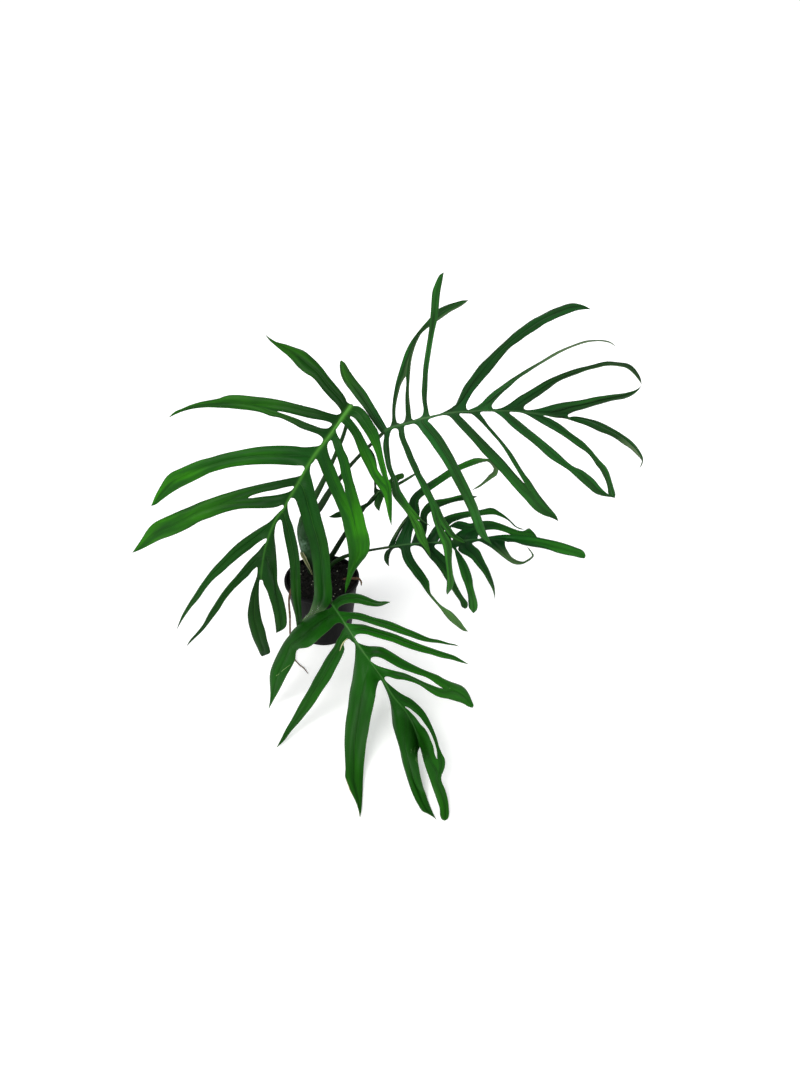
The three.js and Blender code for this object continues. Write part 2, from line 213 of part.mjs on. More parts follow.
        d: [0.8, 2.0, 3.5], roll: [30, 30] },
      { a: "396,548 399.8,548.5 400.8,550 402.5,557.5 405.8,564.2 410.8,570.8 415,576.7 420,582.5 425,590 430,596.7 435,602.5 440,608.3 445,615 450,620.8 455,625 460,628.8 463.3,630.8 468.2,631.7",
        b: "413,545.9 410.5,547.5 413.3,557.5 417.5,564.2 422.5,570.8 426.7,577.3 429.2,581.7 429.8,588.3 430.8,593.3 434.2,597.5 440,604.2 445.8,608.3 451.7,611.7 456.7,616.7 460.8,621.7 464.2,626.7 468.2,631.7",
        d: [0.0, 0.5, 4.0], roll: [0, 30] },
      { a: "413,545.9 417,545.8 421.7,547.5 425.8,552.5 430,558.3 434.2,562.7 440,570 444.2,577 448,583.5 451.7,589.4 455.8,595.8 460,601.9 461.7,606.7 465,608.8",
        b: "439.5,544.2 435.5,544.8 434.6,547 438.3,550.8 444.2,555.8 448.5,562 451.5,568.5 453.3,575 455,580.8 457.5,586.7 461.7,594.2 465,599.2 467.9,603.3 467.3,607.3 465,608.8",
        d: [1.2, 4.0, 9.0], roll: [5, 15] },
      { a: "439.5,544.2 446,544.3 451.2,546 454.3,550 455.3,554.2 457.5,562.5 459.6,570 461.7,577.5 464.2,583.3 466.7,590.8 467.9,596.7 468.3,602.5 468.8,607.5 470.8,610.4 473.3,613.3",
        b: "458.5,546.6 456.5,547.6 457.5,550.6 462.5,556.7 466.7,563.3 470,570.8 472.5,579.2 473.3,586.7 475,593.3 477.1,600.8 477.8,605.8 476.7,610 473.3,613.3",
        d: [0.8, 3.2, 8.5], roll: [5, 15] },
      { a: "458.5,546.6 458,549.6 461.7,553.3 466.7,555.8 471.7,559.2 475.8,564.2 480,569.2 483.3,573.3 486.7,579.2 490,585 492.5,590 494.2,595.8 494.6,599.2",
        b: "479,541.4 474.5,542.3 472.3,543.6 474.2,545.8 479.2,550 482.5,556.7 485.8,563.3 489.2,570 491.7,576.7 493.3,581.7 494.8,588.3 495,595 494.6,599.2",
        d: [0.3, 2.2, 7.0], roll: [0, 20] },
      { a: "479,541.4 485.4,544.4 491.2,547.8 496.9,552.1 503.7,557.4 509.4,561.7 513.3,563.8 518.1,564.6 522.9,563.7 527.7,561.3 531.5,558.8 533.9,555.5 532.7,553.1 530.2,549.7 527.2,546.8",
        b: "505,541.6 505.1,544.4 506.1,547.8 508.5,552.1 511.3,556.4 515.2,559.3 519,560.8 524.8,561.1 529.2,558.6 532.6,555.3 531.4,553.2 529.0,549.9 527.2,546.8",
        d: [0.0, 1.0, 3.0], roll: [0, 50] },
    ],
  },
  leaf_young: {
    mid: "374,496 378,492.5 383,489 388,486.5 393,484 398,481.5",
    midDepth: [[0, 1.605], [1, 1.6]],
    L: [
      { a: "374.5,494.5 373.8,491 374.2,486 374,480 373.8,474 373.2,467 371.5,460 369.5,453 368.6,447",
        b: "380,489.5 377,488.5 376.3,485 376.6,480 377.3,473 377.3,467 376,460 373,452 368.6,447",
        d: [-1, -2, -3], roll: [30, 40] },
      { a: "380,489.5 384,485 388,481 392,477.5 396,475 400,473.5 403,473.3 404.5,476",
        b: "397.5,480.5 399.5,479.8 401.5,479.2 403.5,478 404.5,476",
        d: [0.5, 0.5, 1], roll: [20, 20] },
    ],
    R: [
      { a: "374,497.5 372,499.5 368,502 360,506 352,508.5 344,510.3 338,511.8 333,514.5 328.5,517",
        b: "377,496.5 375,500 370,505 362,510.5 354,514 346,516.5 340,517.5 334,518 328.5,517",
        d: [-2, -4, -5], roll: [20, 30] },
      { a: "377,496.5 375.5,499 374.3,502 374.2,504.5 376,508 379.3,511.3",
        b: "386.5,489.5 385,493 384,497 382.5,501 381,505 380,508.5 379.3,511.3",
        d: [0, 0.5, 1], roll: [10, 10] },
      { a: "386.5,489.5 392,488 398,485.8 404,482.3 409,479 414,475.6 421.5,470.6",
        b: "397.5,482.5 399,482.5 403,480.2 408,477 412.5,474.3 417,471.8 421.5,470.6",
        d: [0.5, 1, 2], roll: [40, 60] },
    ],
  },
};

// ---- sighting helpers
const place = (x, y, depth) => new THREE.Vector3()
  .copy(SIGHT).addScaledVector(UP, -(y - CY) / SCALE).add(new THREE.Vector3((x - CX) / SCALE, 0, 0))
  .multiplyScalar(depth * 1000).add(EYE);
const depthAtHeight = (y, z) => (EYE.z / 1000 - z) / (0.5735764 + 0.819152 * (y - CY) / SCALE);

// ---- polyline helpers
const read = (s) => s.trim().split(/\s+/).map((w) => w.split(",").map(Number));
const dist = (a, b) => Math.hypot(a[0] - b[0], a[1] - b[1]);
const lengths = (p) => { const d = [0]; for (let i = 1; i < p.length; i++) d.push(d[i - 1] + dist(p[i - 1], p[i])); return d; };
const mix = (a, b, t) => [a[0] + (b[0] - a[0]) * t, a[1] + (b[1] - a[1]) * t];
function along(p, t) {
  const d = lengths(p), L = d[d.length - 1], q = Math.min(Math.max(t, 0), 1) * L;
  let i = 0;
  while (i < p.length - 2 && d[i + 1] < q) i++;
  const s = d[i + 1] - d[i];
  return mix(p[i], p[i + 1], s > 0 ? Math.min(Math.max((q - d[i]) / s, 0), 1) : 0);
}
function closest(p, q) {          // [distance, place along] of the point of p nearest q
  const d = lengths(p); let best = [1e9, 0];
  for (let i = 0; i < p.length - 1; i++) {
    const ax = p[i + 1][0] - p[i][0], ay = p[i + 1][1] - p[i][1], l2 = ax * ax + ay * ay;
    const t = l2 === 0 ? 0 : Math.min(Math.max(((q[0] - p[i][0]) * ax + (q[1] - p[i][1]) * ay) / l2, 0), 1);
    const c = [p[i][0] + t * ax, p[i][1] + t * ay], r = dist(c, q);
    if (r < best[0]) best = [r, (d[i] + t * Math.sqrt(l2)) / d[d.length - 1]];
  }
  return best;
}
const nearest = (p, q) => closest(p, q)[1];
const table = (t, x) => {
  if (x <= t[0][0]) return t[0][1];
  for (let i = 1; i < t.length; i++) if (x <= t[i][0]) return t[i - 1][1] + (t[i][1] - t[i - 1][1]) * (x - t[i - 1][0]) / (t[i][0] - t[i - 1][0]);
  return t[t.length - 1][1];
};
function curve4(y, t) {           // smooth curve through four values at 0, 1/3, 2/3 and 1
  const n = y.length - 1, q = Math.min(Math.max(t, 0), 1) * n, i = Math.min(Math.floor(q), n - 1), f = q - i;
  const y0 = y[Math.max(i - 1, 0)], y1 = y[i], y2 = y[i + 1], y3 = y[Math.min(i + 2, n)];
  const m1 = (y2 - y0) / 2, m2 = (y3 - y1) / 2;
  return (2 * f ** 3 - 3 * f ** 2 + 1) * y1 + (f ** 3 - 2 * f ** 2 + f) * m1 + (-2 * f ** 3 + 3 * f ** 2) * y2 + (f ** 3 - f ** 2) * m2;
}
const ease = (x) => { const t = Math.min(Math.max(x, 0), 1); return t * t * (3 - 2 * t); };
const steps = (a, b, n) => Array.from({ length: n + 1 }, (_, i) => a + (b - a) * i / n);

function solid(positions, triangles) {
  const g = new THREE.BufferGeometry();
  g.setAttribute("position", new THREE.BufferAttribute(new Float32Array(positions), 3));
  g.setIndex(triangles);
  return g;
}

// ---- a blade: lobes either side of a midrib, thin at the edges, thick along its veins
function blade(leaf, rows) {
  const mid = read(leaf.mid);
  const midDepth = (s) => leaf.midZ ? depthAtHeight(along(mid, s)[1], table(leaf.midZ, s)) : table(leaf.midDepth, s);
  const lobes = [];
  for (const side of ["L", "R"]) {
    const list = leaf[side], A = list.map((l) => read(l.a)), B = list.map((l) => read(l.b));
    for (let k = 0; k < list.length - 1; k++) { const m = mix(B[k][0], A[k + 1][0], 0.5); B[k][0] = m; A[k + 1][0] = m; }
    const cuts = [0, ...B.slice(0, -1).map((b) => nearest(mid, b[0])), 1];
    B[B.length - 1][0] = mid.at(-1);
    list.forEach((l, k) => lobes.push({ l, side, A: A[k], B: B[k], sa: cuts[k], sb: cuts[k + 1] }));
  }
  const pos = [], thick = [], ids = new Map(), faces = [];
  const vertex = (v, t) => {
    const key = [v.x, v.y, v.z].map((c) => Math.round(c * 1e3)).join(",");
    if (!ids.has(key)) { ids.set(key, pos.length); pos.push(v.clone()); thick.push(t); }
    return ids.get(key);
  };
  let all = new Set(), must = new Set();
  for (const lb of lobes) {
    lb.n = lb.l.ha || lb.l.fa ? 2 : 1;
    for (const w of steps(0, 1, 2 * lb.n)) all.add(+(lb.sa + w * (lb.sb - lb.sa)).toFixed(7));
    must.add(+lb.sa.toFixed(7)); must.add(+lb.sb.toFixed(7));
  }
  for (const q of steps(0, 1, 16)) all.add(+q.toFixed(7));
  const ordered = [...all].sort((a, b) => a - b), keep = [ordered[0]];
  for (const s of ordered.slice(1)) {
    const last = keep[keep.length - 1];
    if (s - last < 0.012) { if (must.has(s) && !must.has(last)) keep[keep.length - 1] = s; else if (must.has(s)) keep.push(s); } else keep.push(s);
  }
  const rib = keep.map((s) => { const p = along(mid, s), v = place(p[0], p[1], midDepth(s)); return [vertex(v, -1 - s), s]; });
  for (const lb of lobes) {
    const { l, A, B, sa, sb, n } = lb, hole = !!l.ha, fork = !!l.fa;
    let ta, tb, i0 = -1, i1 = -1, HA, HB, FA, FB;
    if (hole) {
      HA = read(l.ha); HB = read(l.hb);
      const a0 = nearest(A, HA[0]), a1 = nearest(A, HA[HA.length - 1]), b0 = nearest(B, HA[0]), b1 = nearest(B, HA[HA.length - 1]);
      const n0 = 1, n1 = Math.max(3, Math.round(rows * lengths(HA).at(-1) / lengths(A).at(-1))), n2 = Math.max(3, rows - n0 - n1);
      ta = [...steps(0, a0, n0), ...steps(a0, a1, n1).slice(1), ...steps(a1, 1, n2).slice(1)];
      tb = [...steps(0, b0, n0), ...steps(b0, b1, n1).slice(1), ...steps(b1, 1, n2).slice(1)];
      i0 = n0; i1 = n0 + n1;
    } else if (fork) {
      FA = read(l.fa); FB = read(l.fb);
      const a0 = nearest(A, FA[0]), b0 = nearest(B, FB[0]), n0 = Math.max(3, Math.round(rows * a0)), n1 = Math.max(4, rows - n0);
      ta = [...steps(0, a0, n0), ...steps(a0, 1, n1).slice(1)];
      tb = [...steps(0, b0, n0), ...steps(b0, 1, n1).slice(1)];
      i0 = n0; i1 = n0 + n1;
    } else { ta = steps(0, 1, rows); tb = ta; }
    const M = ta.length, Lp = ta.map((t) => along(A, t)), Rp = tb.map((t) => along(B, t)), v = ta.map((t, i) => (t + tb[i]) / 2);
    const frac = (a, b, q) => { const x = b[0] - a[0], y = b[1] - a[1]; return Math.min(Math.max(((q[0] - a[0]) * x + (q[1] - a[1]) * y) / Math.max(x * x + y * y, 1e-9), 0.08), 0.92); };
    const w = new Array(M).fill(0.5);
    if (hole) {
      const w0 = frac(Lp[i0], Rp[i0], HA[0]), w1 = frac(Lp[i1], Rp[i1], HA.at(-1));
      for (let i = 0; i <= i0; i++) w[i] = w0;
      for (let i = i1; i < M; i++) w[i] = w1 + (0.5 - w1) * (i - i1) / (M - 1 - i1);
    }
    if (fork) { const w0 = frac(Lp[i0], Rp[i0], FA[0]); for (let i = 0; i <= i0; i++) w[i] = 0.5 + (w0 - 0.5) * i / i0; }
    const I1 = Lp.map((p, i) => mix(p, Rp[i], w[i])), I2 = I1.map((p) => [...p]);
    if (hole) for (let i = i0; i <= i1; i++) { const t = (i - i0) / (i1 - i0); I1[i] = along(HA, t); I2[i] = along(HB, t); }
    if (fork) for (let i = i0; i < M; i++) { const t = (i - i0) / (M - 1 - i0); I1[i] = along(FA, t); I2[i] = along(FB, t); }
    const dA = midDepth(sa), dB = midDepth(sb), d0 = (dA + dB) / 2;
    const z0 = leaf.midZ ? table(leaf.midZ, (sa + sb) / 2) : 0;
    const span = lengths(Lp.map((p, i) => mix(p, Rp[i], 0.5))).at(-1);
    const depth = (p, k, sw, prong) => {
      const [away, at] = closest(mid, p);
      const b = ease(Math.min(v[k], 1.3 * away / span) / 0.16), lin = midDepth(Math.min(Math.max(at, sa), sb)), tan = Math.tan(THREE.MathUtils.degToRad(l.roll[0] + (l.roll[1] - l.roll[0]) * ease(v[k])));
      const centre = leaf.midZ ? depthAtHeight(p[1], curve4([z0, ...l.z], v[k])) : d0 + curve4([0, ...l.d], v[k]) / 100;
      let dd = centre + tan * (sw - 0.5) * dist(Lp[k], Rp[k]) / SCALE * centre;
      if (fork && k > i0 && prong) dd += l.fd[prong - 1] / 100 * (k - i0) / (M - 1 - i0);
      return lin * (1 - b) + dd * b;
    };
    // near the midrib the rows follow its curve, and straighten out along the lobe
    const fade = hole ? Math.min(0.25, v[i0]) : 0.25, at = (w) => along(mid, sa + w * (sb - sa)), m0 = at(0), m1 = at(1);
    const bulge = (k, f, half) => {
      const wi = hole ? w[i0] : w[k], wa = half ? wi : 0, wb = half ? 1 : wi, x = wa + f * (wb - wa);
      const f1 = 1 - ease(v[k] / fade), f2 = 1 - ease(v[k] / 0.25); if (f2 <= 0) return [0, 0];
      const ma = at(wa), mb = at(wb), m = at(x), whole = (q, mq, c) => mq[c] - m0[c] - q * (m1[c] - m0[c]);
      return [0, 1].map((c) => f1 * ((1 - f) * whole(wa, ma, c) + f * whole(wb, mb, c)) + f2 * (m[c] - ma[c] - f * (mb[c] - ma[c])));
    };
    const grid = [];
    for (let k = 0; k < M; k++) {
      const row = [];
      for (const half of [0, 1]) {
        const a = half ? I2[k] : Lp[k], b = half ? Rp[k] : I1[k];
        for (let j = 0; j <= n; j++) {
          const f = j / n; let p = mix(a, b, f), sw = half ? w[k] + f * (1 - w[k]) : f * w[k];
          if (hole && k > i0 && k < i1) {
            const x = Rp[k][0] - Lp[k][0], y = Rp[k][1] - Lp[k][1];
            sw = Math.min(Math.max(((p[0] - Lp[k][0]) * x + (p[1] - Lp[k][1]) * y) / Math.max(x * x + y * y, 1e-9), 0), 1);
          }
          const u = bulge(k, f, half); p = [p[0] + u[0], p[1] + u[1]];
          let d = depth(p, k, sw, fork ? half + 1 : 0);
          if (k === M - 1 && !fork) { p = mix(A.at(-1), B.at(-1), 0.5); d = depth(p, k, 0.5, 0); }
          if (k === M - 1 && fork) { p = half ? I2[k] : Lp[k]; d = depth(p, k, 0.5, half + 1); }
          if (k === 0 && !half && j === 0) d = dA;
          if (k === 0 && half && j === n) d = dB;
          row.push([vertex(place(p[0], p[1], d), 1 - 0.45 * v[k]), sw]);
        }
      }
      grid.push(row);
    }
    const face = (c) => {
      const q = c.filter((x, i) => x !== c[(i + c.length - 1) % c.length]);
      if (new Set(q).size < 3) return;
      faces.push(lb.side === "R" ? q.reverse() : q);
    };
    const top = rib.filter(([, s]) => s >= sa - 1e-6 && s <= sb + 1e-6).map(([i, s]) => [i, (s - sa) / Math.max(sb - sa, 1e-9)]);
    const low = grid[0].filter(([i], j, r) => j === 0 || i !== r[j - 1][0]);
    for (let i = 0, j = 0; i < top.length - 1 || j < low.length - 1;) {
      const ca = i < top.length - 1 ? top[i + 1][1] : 9, cb = j < low.length - 1 ? low[j + 1][1] : 9;
      if ((ca <= cb && i < top.length - 1) || j >= low.length - 1) { face([top[i][0], top[i + 1][0], low[j][0]]); i++; }
      else { face([top[i][0], low[j + 1][0], low[j][0]]); j++; }
    }
    for (let k = 0; k < M - 1; k++) for (const half of [0, 1]) for (let j = 0; j < n; j++) {
      const o = half * (n + 1);
      face([grid[k][o + j][0], grid[k][o + j + 1][0], grid[k + 1][o + j + 1][0], grid[k + 1][o + j][0]]);
    }
  }
  // skin both sides
  const tris = [];
  for (const f of faces) for (let i = 1; i < f.length - 1; i++) tris.push([f[0], f[i], f[i + 1]]);
  const edges = new Map(), key = (a, b) => (a < b ? a + "_" + b : b + "_" + a);
  for (const t of tris) for (let i = 0; i < 3; i++) { const e = key(t[i], t[(i + 1) % 3]); edges.set(e, (edges.get(e) || 0) + 1); }
  const rim = new Set();
  for (const [e, c] of edges) if (c === 1) for (const i of e.split("_")) rim.add(+i);
  const normal = pos.map(() => new THREE.Vector3());
  for (const t of tris) {
    const c = new THREE.Vector3().subVectors(pos[t[1]], pos[t[0]]).cross(new THREE.Vector3().subVectors(pos[t[2]], pos[t[0]]));
    for (const i of t) normal[i].add(c);
  }
  const out = [], topId = [], lowId = [], edge = [...rim].map((i) => pos[i]);
  pos.forEach((p, i) => {
    normal[i].normalize();
    if (rim.has(i)) { topId[i] = lowId[i] = out.length / 3; out.push(p.x, p.y, p.z); return; }
    const s = thick[i] < 0 ? -thick[i] - 1 : -1, t = thick[i] > 0 ? thick[i] : 1;
    const room = 0.3 * Math.min(...edge.map((e) => e.distanceTo(p)));
    const up = Math.min(room, s >= 0 ? MIDRIB_CREST * (1 - 0.6 * s) : BLADE_THICKNESS / 2 * t), dn = Math.min(room, s >= 0 ? MIDRIB_KEEL * (1 - 0.75 * s) : BLADE_THICKNESS / 2 * t);
    topId[i] = out.length / 3; out.push(p.x + normal[i].x * up, p.y + normal[i].y * up, p.z + normal[i].z * up);
    lowId[i] = out.length / 3; out.push(p.x - normal[i].x * dn, p.y - normal[i].y * dn, p.z - normal[i].z * dn);
  });
  const index = [];
  for (const t of tris) {
    const a = t.map((i) => topId[i]), b = t.map((i) => lowId[i]);
    if (a.every((x, i) => x === b[i])) continue;
    index.push(...a, b[0], b[2], b[1]);
  }
  return solid(out, index);
}

// ---- a stalk or root: a tapered tube with closed ends through given points
function stalk(points, radii, sides, rings, grow = 0) {
  const path = new THREE.CatmullRomCurve3(points, false, "centripetal");
  const pos = [], idx = [], c = [];
  let ref = new THREE.Vector3(0, 0, 1);
  const t0 = path.getTangent(0); if (Math.abs(t0.dot(ref)) > 0.9) ref.set(1, 0, 0);
  let nrm = new THREE.Vector3().crossVectors(t0, ref).normalize();
  for (let i = 0; i <= rings; i++) {
    const u = i / rings, p = path.getPoint(u), t = path.getTangent(u);
    nrm.addScaledVector(t, -nrm.dot(t)).normalize();
    const bin = new THREE.Vector3().crossVectors(t, nrm);
    const q = u * (radii.length - 1), k = Math.min(Math.floor(q), radii.length - 2), r = radii[k] + (radii[k + 1] - radii[k]) * (q - k) + grow;
    if (grow && i === 0) p.addScaledVector(t, -grow);
    if (grow && i === rings) p.addScaledVector(t, grow);
    c.push(p);
    for (let s = 0; s < sides; s++) {
      const a = 2 * Math.PI * s / sides, v = p.clone().addScaledVector(nrm, r * Math.cos(a)).addScaledVector(bin, r * Math.sin(a));
      pos.push(v.x, v.y, v.z);
    }
  }
  for (let i = 0; i < rings; i++) for (let s = 0; s < sides; s++) {
    const a = i * sides + s, b = i * sides + (s + 1) % sides, d = a + sides, e = b + sides;
    idx.push(a, b, e, a, e, d);
  }
  const first = pos.length / 3; pos.push(c[0].x, c[0].y, c[0].z); pos.push(c[rings].x, c[rings].y, c[rings].z);
  for (let s = 0; s < sides; s++) {
    idx.push(first, (s + 1) % sides, s);
    idx.push(first + 1, rings * sides + s, rings * sides + (s + 1) % sides);
  }
  return solid(pos, idx);
}
const via = (s) => s.trim().split(/\s+/).map((w) => { const [x, y, d] = w.split(",").map(Number); return place(x, y, d); });

// ---- booleans
const wasm = await Module();
wasm.setup();
function toManifold(g) {
  const p = g.getAttribute("position"), map = new Map(), verts = [], tri = [];
  const ix = g.index ? Array.from(g.index.array) : Array.from({ length: p.count }, (_, i) => i);
  const id = ix.map((i) => {
    const k = [p.getX(i), p.getY(i), p.getZ(i)].map((c) => Math.round(c * 1e3)).join(",");
    if (!map.has(k)) { map.set(k, verts.length / 3); verts.push(p.getX(i), p.getY(i), p.getZ(i)); }
    return map.get(k);
  });
  for (let i = 0; i < id.length; i += 3) if (id[i] !== id[i + 1] && id[i + 1] !== id[i + 2] && id[i] !== id[i + 2]) tri.push(id[i], id[i + 1], id[i + 2]);
  return new wasm.Manifold(new wasm.Mesh({ numProp: 3, vertProperties: new Float32Array(verts), triVerts: new Uint32Array(tri) }));
}
function fromManifold(m) {
  const r = m.getMesh(), p = [];
  for (let i = 0; i < r.vertProperties.length; i += r.numProp) p.push(r.vertProperties[i], r.vertProperties[i + 1], r.vertProperties[i + 2]);
  return solid(p, Array.from(r.triVerts));
}

// ---- stalks, the stem and roots: points on the sighting frame with their distance in metres, then radii
const STEM = [via("317,590,1.812 315,578,1.785 311,562,1.755 305.5,545,1.722 303.3,532,1.701 304.5,524,1.687"), [9, 12.5, 13.5, 14, 14.2, 14.5]];
const STEM_TOP = STEM[0].at(-1), STEM_DIR = new THREE.Vector3().subVectors(STEM_TOP, STEM[0].at(-2)).normalize();
const STEM_SIDE = new THREE.Vector3().crossVectors(SIGHT, STEM_DIR).normalize();
const out = (side, up) => STEM_TOP.clone().addScaledVector(STEM_DIR, up).addScaledVector(STEM_SIDE, side);
const STALKS = {
  petiole_left: [[out(-7.3, 2.2), out(-7.2, 9), ...via("309.5,506,1.650 315.9,495,1.629 324.2,479,1.598 333.4,459.5,1.564 343.6,434.8,1.526 349,415,1.497 351.55,405.75,1.4818")], [6.9, 7, 6.9, 6.6, 5.6, 4.7, 4, 3.6, 2.8]],
  petiole_right: [[out(7.5, 2.2), out(8.2, 8), ...via("313.6,515,1.668 319.6,507.5,1.652 329.7,491.5,1.622 339.3,479,1.600 349,467,1.585 361,454,1.560 372,443.5,1.530 381.45,434.55,1.5018")], [7, 7.2, 7.4, 7.4, 6.6, 5, 4.2, 3.8, 3.4, 2.6]],
  petiole_front: [via("326,581,1.795 323,573.5,1.757 321.5,565,1.715 322.5,566,1.670 325.5,576,1.632 328.5,590,1.607 330.65,601.3,1.5862"), [6, 6, 5.6, 5, 4.4, 4, 3]],
  petiole_low_right: [via("329.2,577.5,1.8150 328.6,570,1.7799 333,563.4,1.762 344,556.9,1.736 357,552.9,1.706 372,549.9,1.672 387.3,547.4,1.6415"), [5.2, 5.4, 5.4, 4.8, 3.6, 2.8, 2]],
  petiole_young: [via("322,574,1.8227 325.5,565,1.7939 333,553.6,1.755 344.8,534.6,1.702 356,519,1.668 366,506,1.634 374.0,495.9,1.6075"), [6.2, 6.4, 6.4, 5.8, 4.4, 3.2, 2.2]],
};
const ROOTS = {
  aerial_root: [[[-48, -12, 138], [-58, -34, 153], [-62.5, -55, 162.5], [-65.5, -75, 152], [-66, -84, 110], [-69, -88, 60], [-68, -94, 22], [-62, -107, 4.5], [-50, -124, 3.2], [-38, -136, 3.2], [-27, -152, 2.6]].map((p) => new THREE.Vector3(...p)), [2.6, 2.6, 2.6, 2.4, 2.2, 2, 1.8, 1.6, 1.4, 1.2, 0.9]],
  surface_root: [[[40, 8, 136], [58, -2, 152], [74, -10, 158.5], [84, -13, 160.8], [90, -18, 156], [90.5, -23, 149]].map((p) => new THREE.Vector3(...p)), [3.2, 3.2, 3, 2.6, 2.2, 1.4]],
};

// ---- pot
const r = (z) => POT_BASE_RADIUS + (POT_MOUTH_RADIUS - POT_BASE_RADIUS) * z / (POT_HEIGHT - RIM_DEPTH);
const POT_PROFILE = [
  [0, 0], [POT_BASE_RADIUS - 3, 0], [POT_BASE_RADIUS, 3], [r(60), 60], [POT_MOUTH_RADIUS, POT_HEIGHT - RIM_DEPTH],
  [POT_RIM_RADIUS - 0.6, POT_HEIGHT - RIM_DEPTH], [POT_RIM_RADIUS, POT_HEIGHT - RIM_DEPTH + 1], [POT_RIM_RADIUS, POT_HEIGHT - 1.5], [POT_RIM_RADIUS - 1.5, POT_HEIGHT],
  [POT_MOUTH_RADIUS - 1, POT_HEIGHT], [POT_MOUTH_RADIUS - POT_WALL, POT_HEIGHT - 1.5], [POT_MOUTH_RADIUS - POT_WALL, POT_HEIGHT - RIM_DEPTH - 3], [r(60) - POT_WALL, 60], [POT_BASE_RADIUS - POT_WALL, 4], [POT_BASE_RADIUS - 5, 2], [0, 2],
].map(([x, z]) => new THREE.Vector2(x, z));
function lathe(profile, segments) {
  const g = new THREE.LatheGeometry(profile, segments);
  g.rotateX(Math.PI / 2);
  return g;
}
let pot = toManifold(lathe(POT_PROFILE, 44));
for (let i = 0; i < DRAIN_HOLES; i++) {
  const a = 2 * Math.PI * (i + 0.5) / DRAIN_HOLES, hole = new THREE.CylinderGeometry(DRAIN_HOLE_RADIUS, DRAIN_HOLE_RADIUS, 12, 16);
  hole.rotateX(Math.PI / 2); hole.translate(DRAIN_RING_RADIUS * Math.cos(a), DRAIN_RING_RADIUS * Math.sin(a), 1);
  pot = pot.subtract(toManifold(hole));
}

// ---- potting mix, with a socket around each stalk that stands in it
const wallAt = (z) => r(z) - POT_WALL - GAP;
const MIX_PROFILE = [[0, 2 + GAP], [POT_BASE_RADIUS - 5.6, 2 + GAP], [POT_BASE_RADIUS - POT_WALL - 0.5, 4.6], [wallAt(60), 60], [wallAt(MIX_TOP) - 0.2, MIX_TOP],
  [66, MIX_TOP + 1.2], [50, MIX_TOP + MIX_MOUND * 0.7], [28, MIX_TOP + MIX_MOUND], [0, MIX_TOP + MIX_MOUND + 0.5]].map(([x, z]) => new THREE.Vector2(x, z));
let mixSolid = toManifold(lathe(MIX_PROFILE, 44));

// ---- the group
const plant = new THREE.Group();
const material = (color, roughness) => new THREE.MeshStandardMaterial({ color, roughness, metalness: 0 });
const add = (name, geometry, mat) => { geometry.computeVertexNormals(); const m = new THREE.Mesh(geometry, mat); m.name = name; plant.add(m); return m; };

add("nursery_pot", fromManifold(pot), material(0x121314, 0.45));
const sunk = [[...STEM, 10, 12], [...STALKS.petiole_front, 8, 14], [...STALKS.petiole_low_right, 8, 14], [...STALKS.petiole_young, 8, 14], [...ROOTS.aerial_root, 6, 26], [...ROOTS.surface_root, 6, 10]];
for (const [pts, radii, sides, rings] of sunk) mixSolid = mixSolid.subtract(toManifold(stalk(pts, radii, sides, rings, GAP + 0.1)));
add("potting_mix", fromManifold(mixSolid), material(0x1d1712, 0.95));
add("main_stem", stalk(...STEM, 10, 12), material(0x2c4a28, 0.55));
const stalkGreen = material(0x26401c, 0.5);
for (const [name, [pts, radii]] of Object.entries(STALKS)) add(name, stalk(pts, radii, 8, 14), stalkGreen);
add("aerial_root", stalk(...ROOTS.aerial_root, 6, 26), material(0x3a2f26, 0.85));
add("surface_root", stalk(...ROOTS.surface_root, 6, 10), material(0x4a3524, 0.9));

// dry sheath: a thin pointed scale standing against the stem
function scale(points, width, thickness, rings) {
  const path = new THREE.CatmullRomCurve3(points, false, "centripetal"), pos = [], idx = [];
  const across = new THREE.Vector3(-0.928, 0.28, -0.119).normalize();
  for (let i = 0; i <= rings; i++) {
    const u = i / rings, p = path.getPoint(u), t = path.getTangent(u), n = new THREE.Vector3().crossVectors(t, across).normalize(), w = width * (0.3 + 0.7 * Math.sin(Math.PI / 2 * Math.min(1, u / 0.6)));
    for (const [a, b] of [[-1, 0], [0, 1], [1, 0], [0, -1]]) {
      const v = p.clone().addScaledVector(across, a * w / 2).addScaledVector(n, b * thickness / 2 + (a ? 0 : 1.2));
      pos.push(v.x, v.y, v.z);
    }
  }
  for (let i = 0; i < rings; i++) for (let s = 0; s < 4; s++) { const a = i * 4 + s, b = i * 4 + (s + 1) % 4; idx.push(a, b + 4, b, a, a + 4, b + 4); }
  idx.push(0, 1, 2, 0, 2, 3); const e = rings * 4; idx.push(e, e + 2, e + 1, e, e + 3, e + 2);
  return solid(pos, idx);
}
add("dry_sheath", scale(via("312.8,574.5,1.7594 310.2,568.5,1.7482 307.2,562.5,1.7370 304.4,557,1.7270 301.9,552,1.7190"), 9, 1.2, 8), material(0x8d8a66, 0.8));

const leafMaterials = {
  leaf_left: material(0x2a6a1c, 0.38), leaf_right: material(0x1f4f24, 0.36), leaf_front: material(0x28651f, 0.4),
  leaf_low_right: material(0x153f17, 0.38), leaf_young: material(0x1d4a1b, 0.42),
};
const ROWS = { leaf_left: 10, leaf_right: 10, leaf_front: 10, leaf_low_right: 9, leaf_young: 7 };
for (const [name, leaf] of Object.entries(OUTLINES)) add(name, blade(leaf, ROWS[name]), leafMaterials[name]);

export default plant;
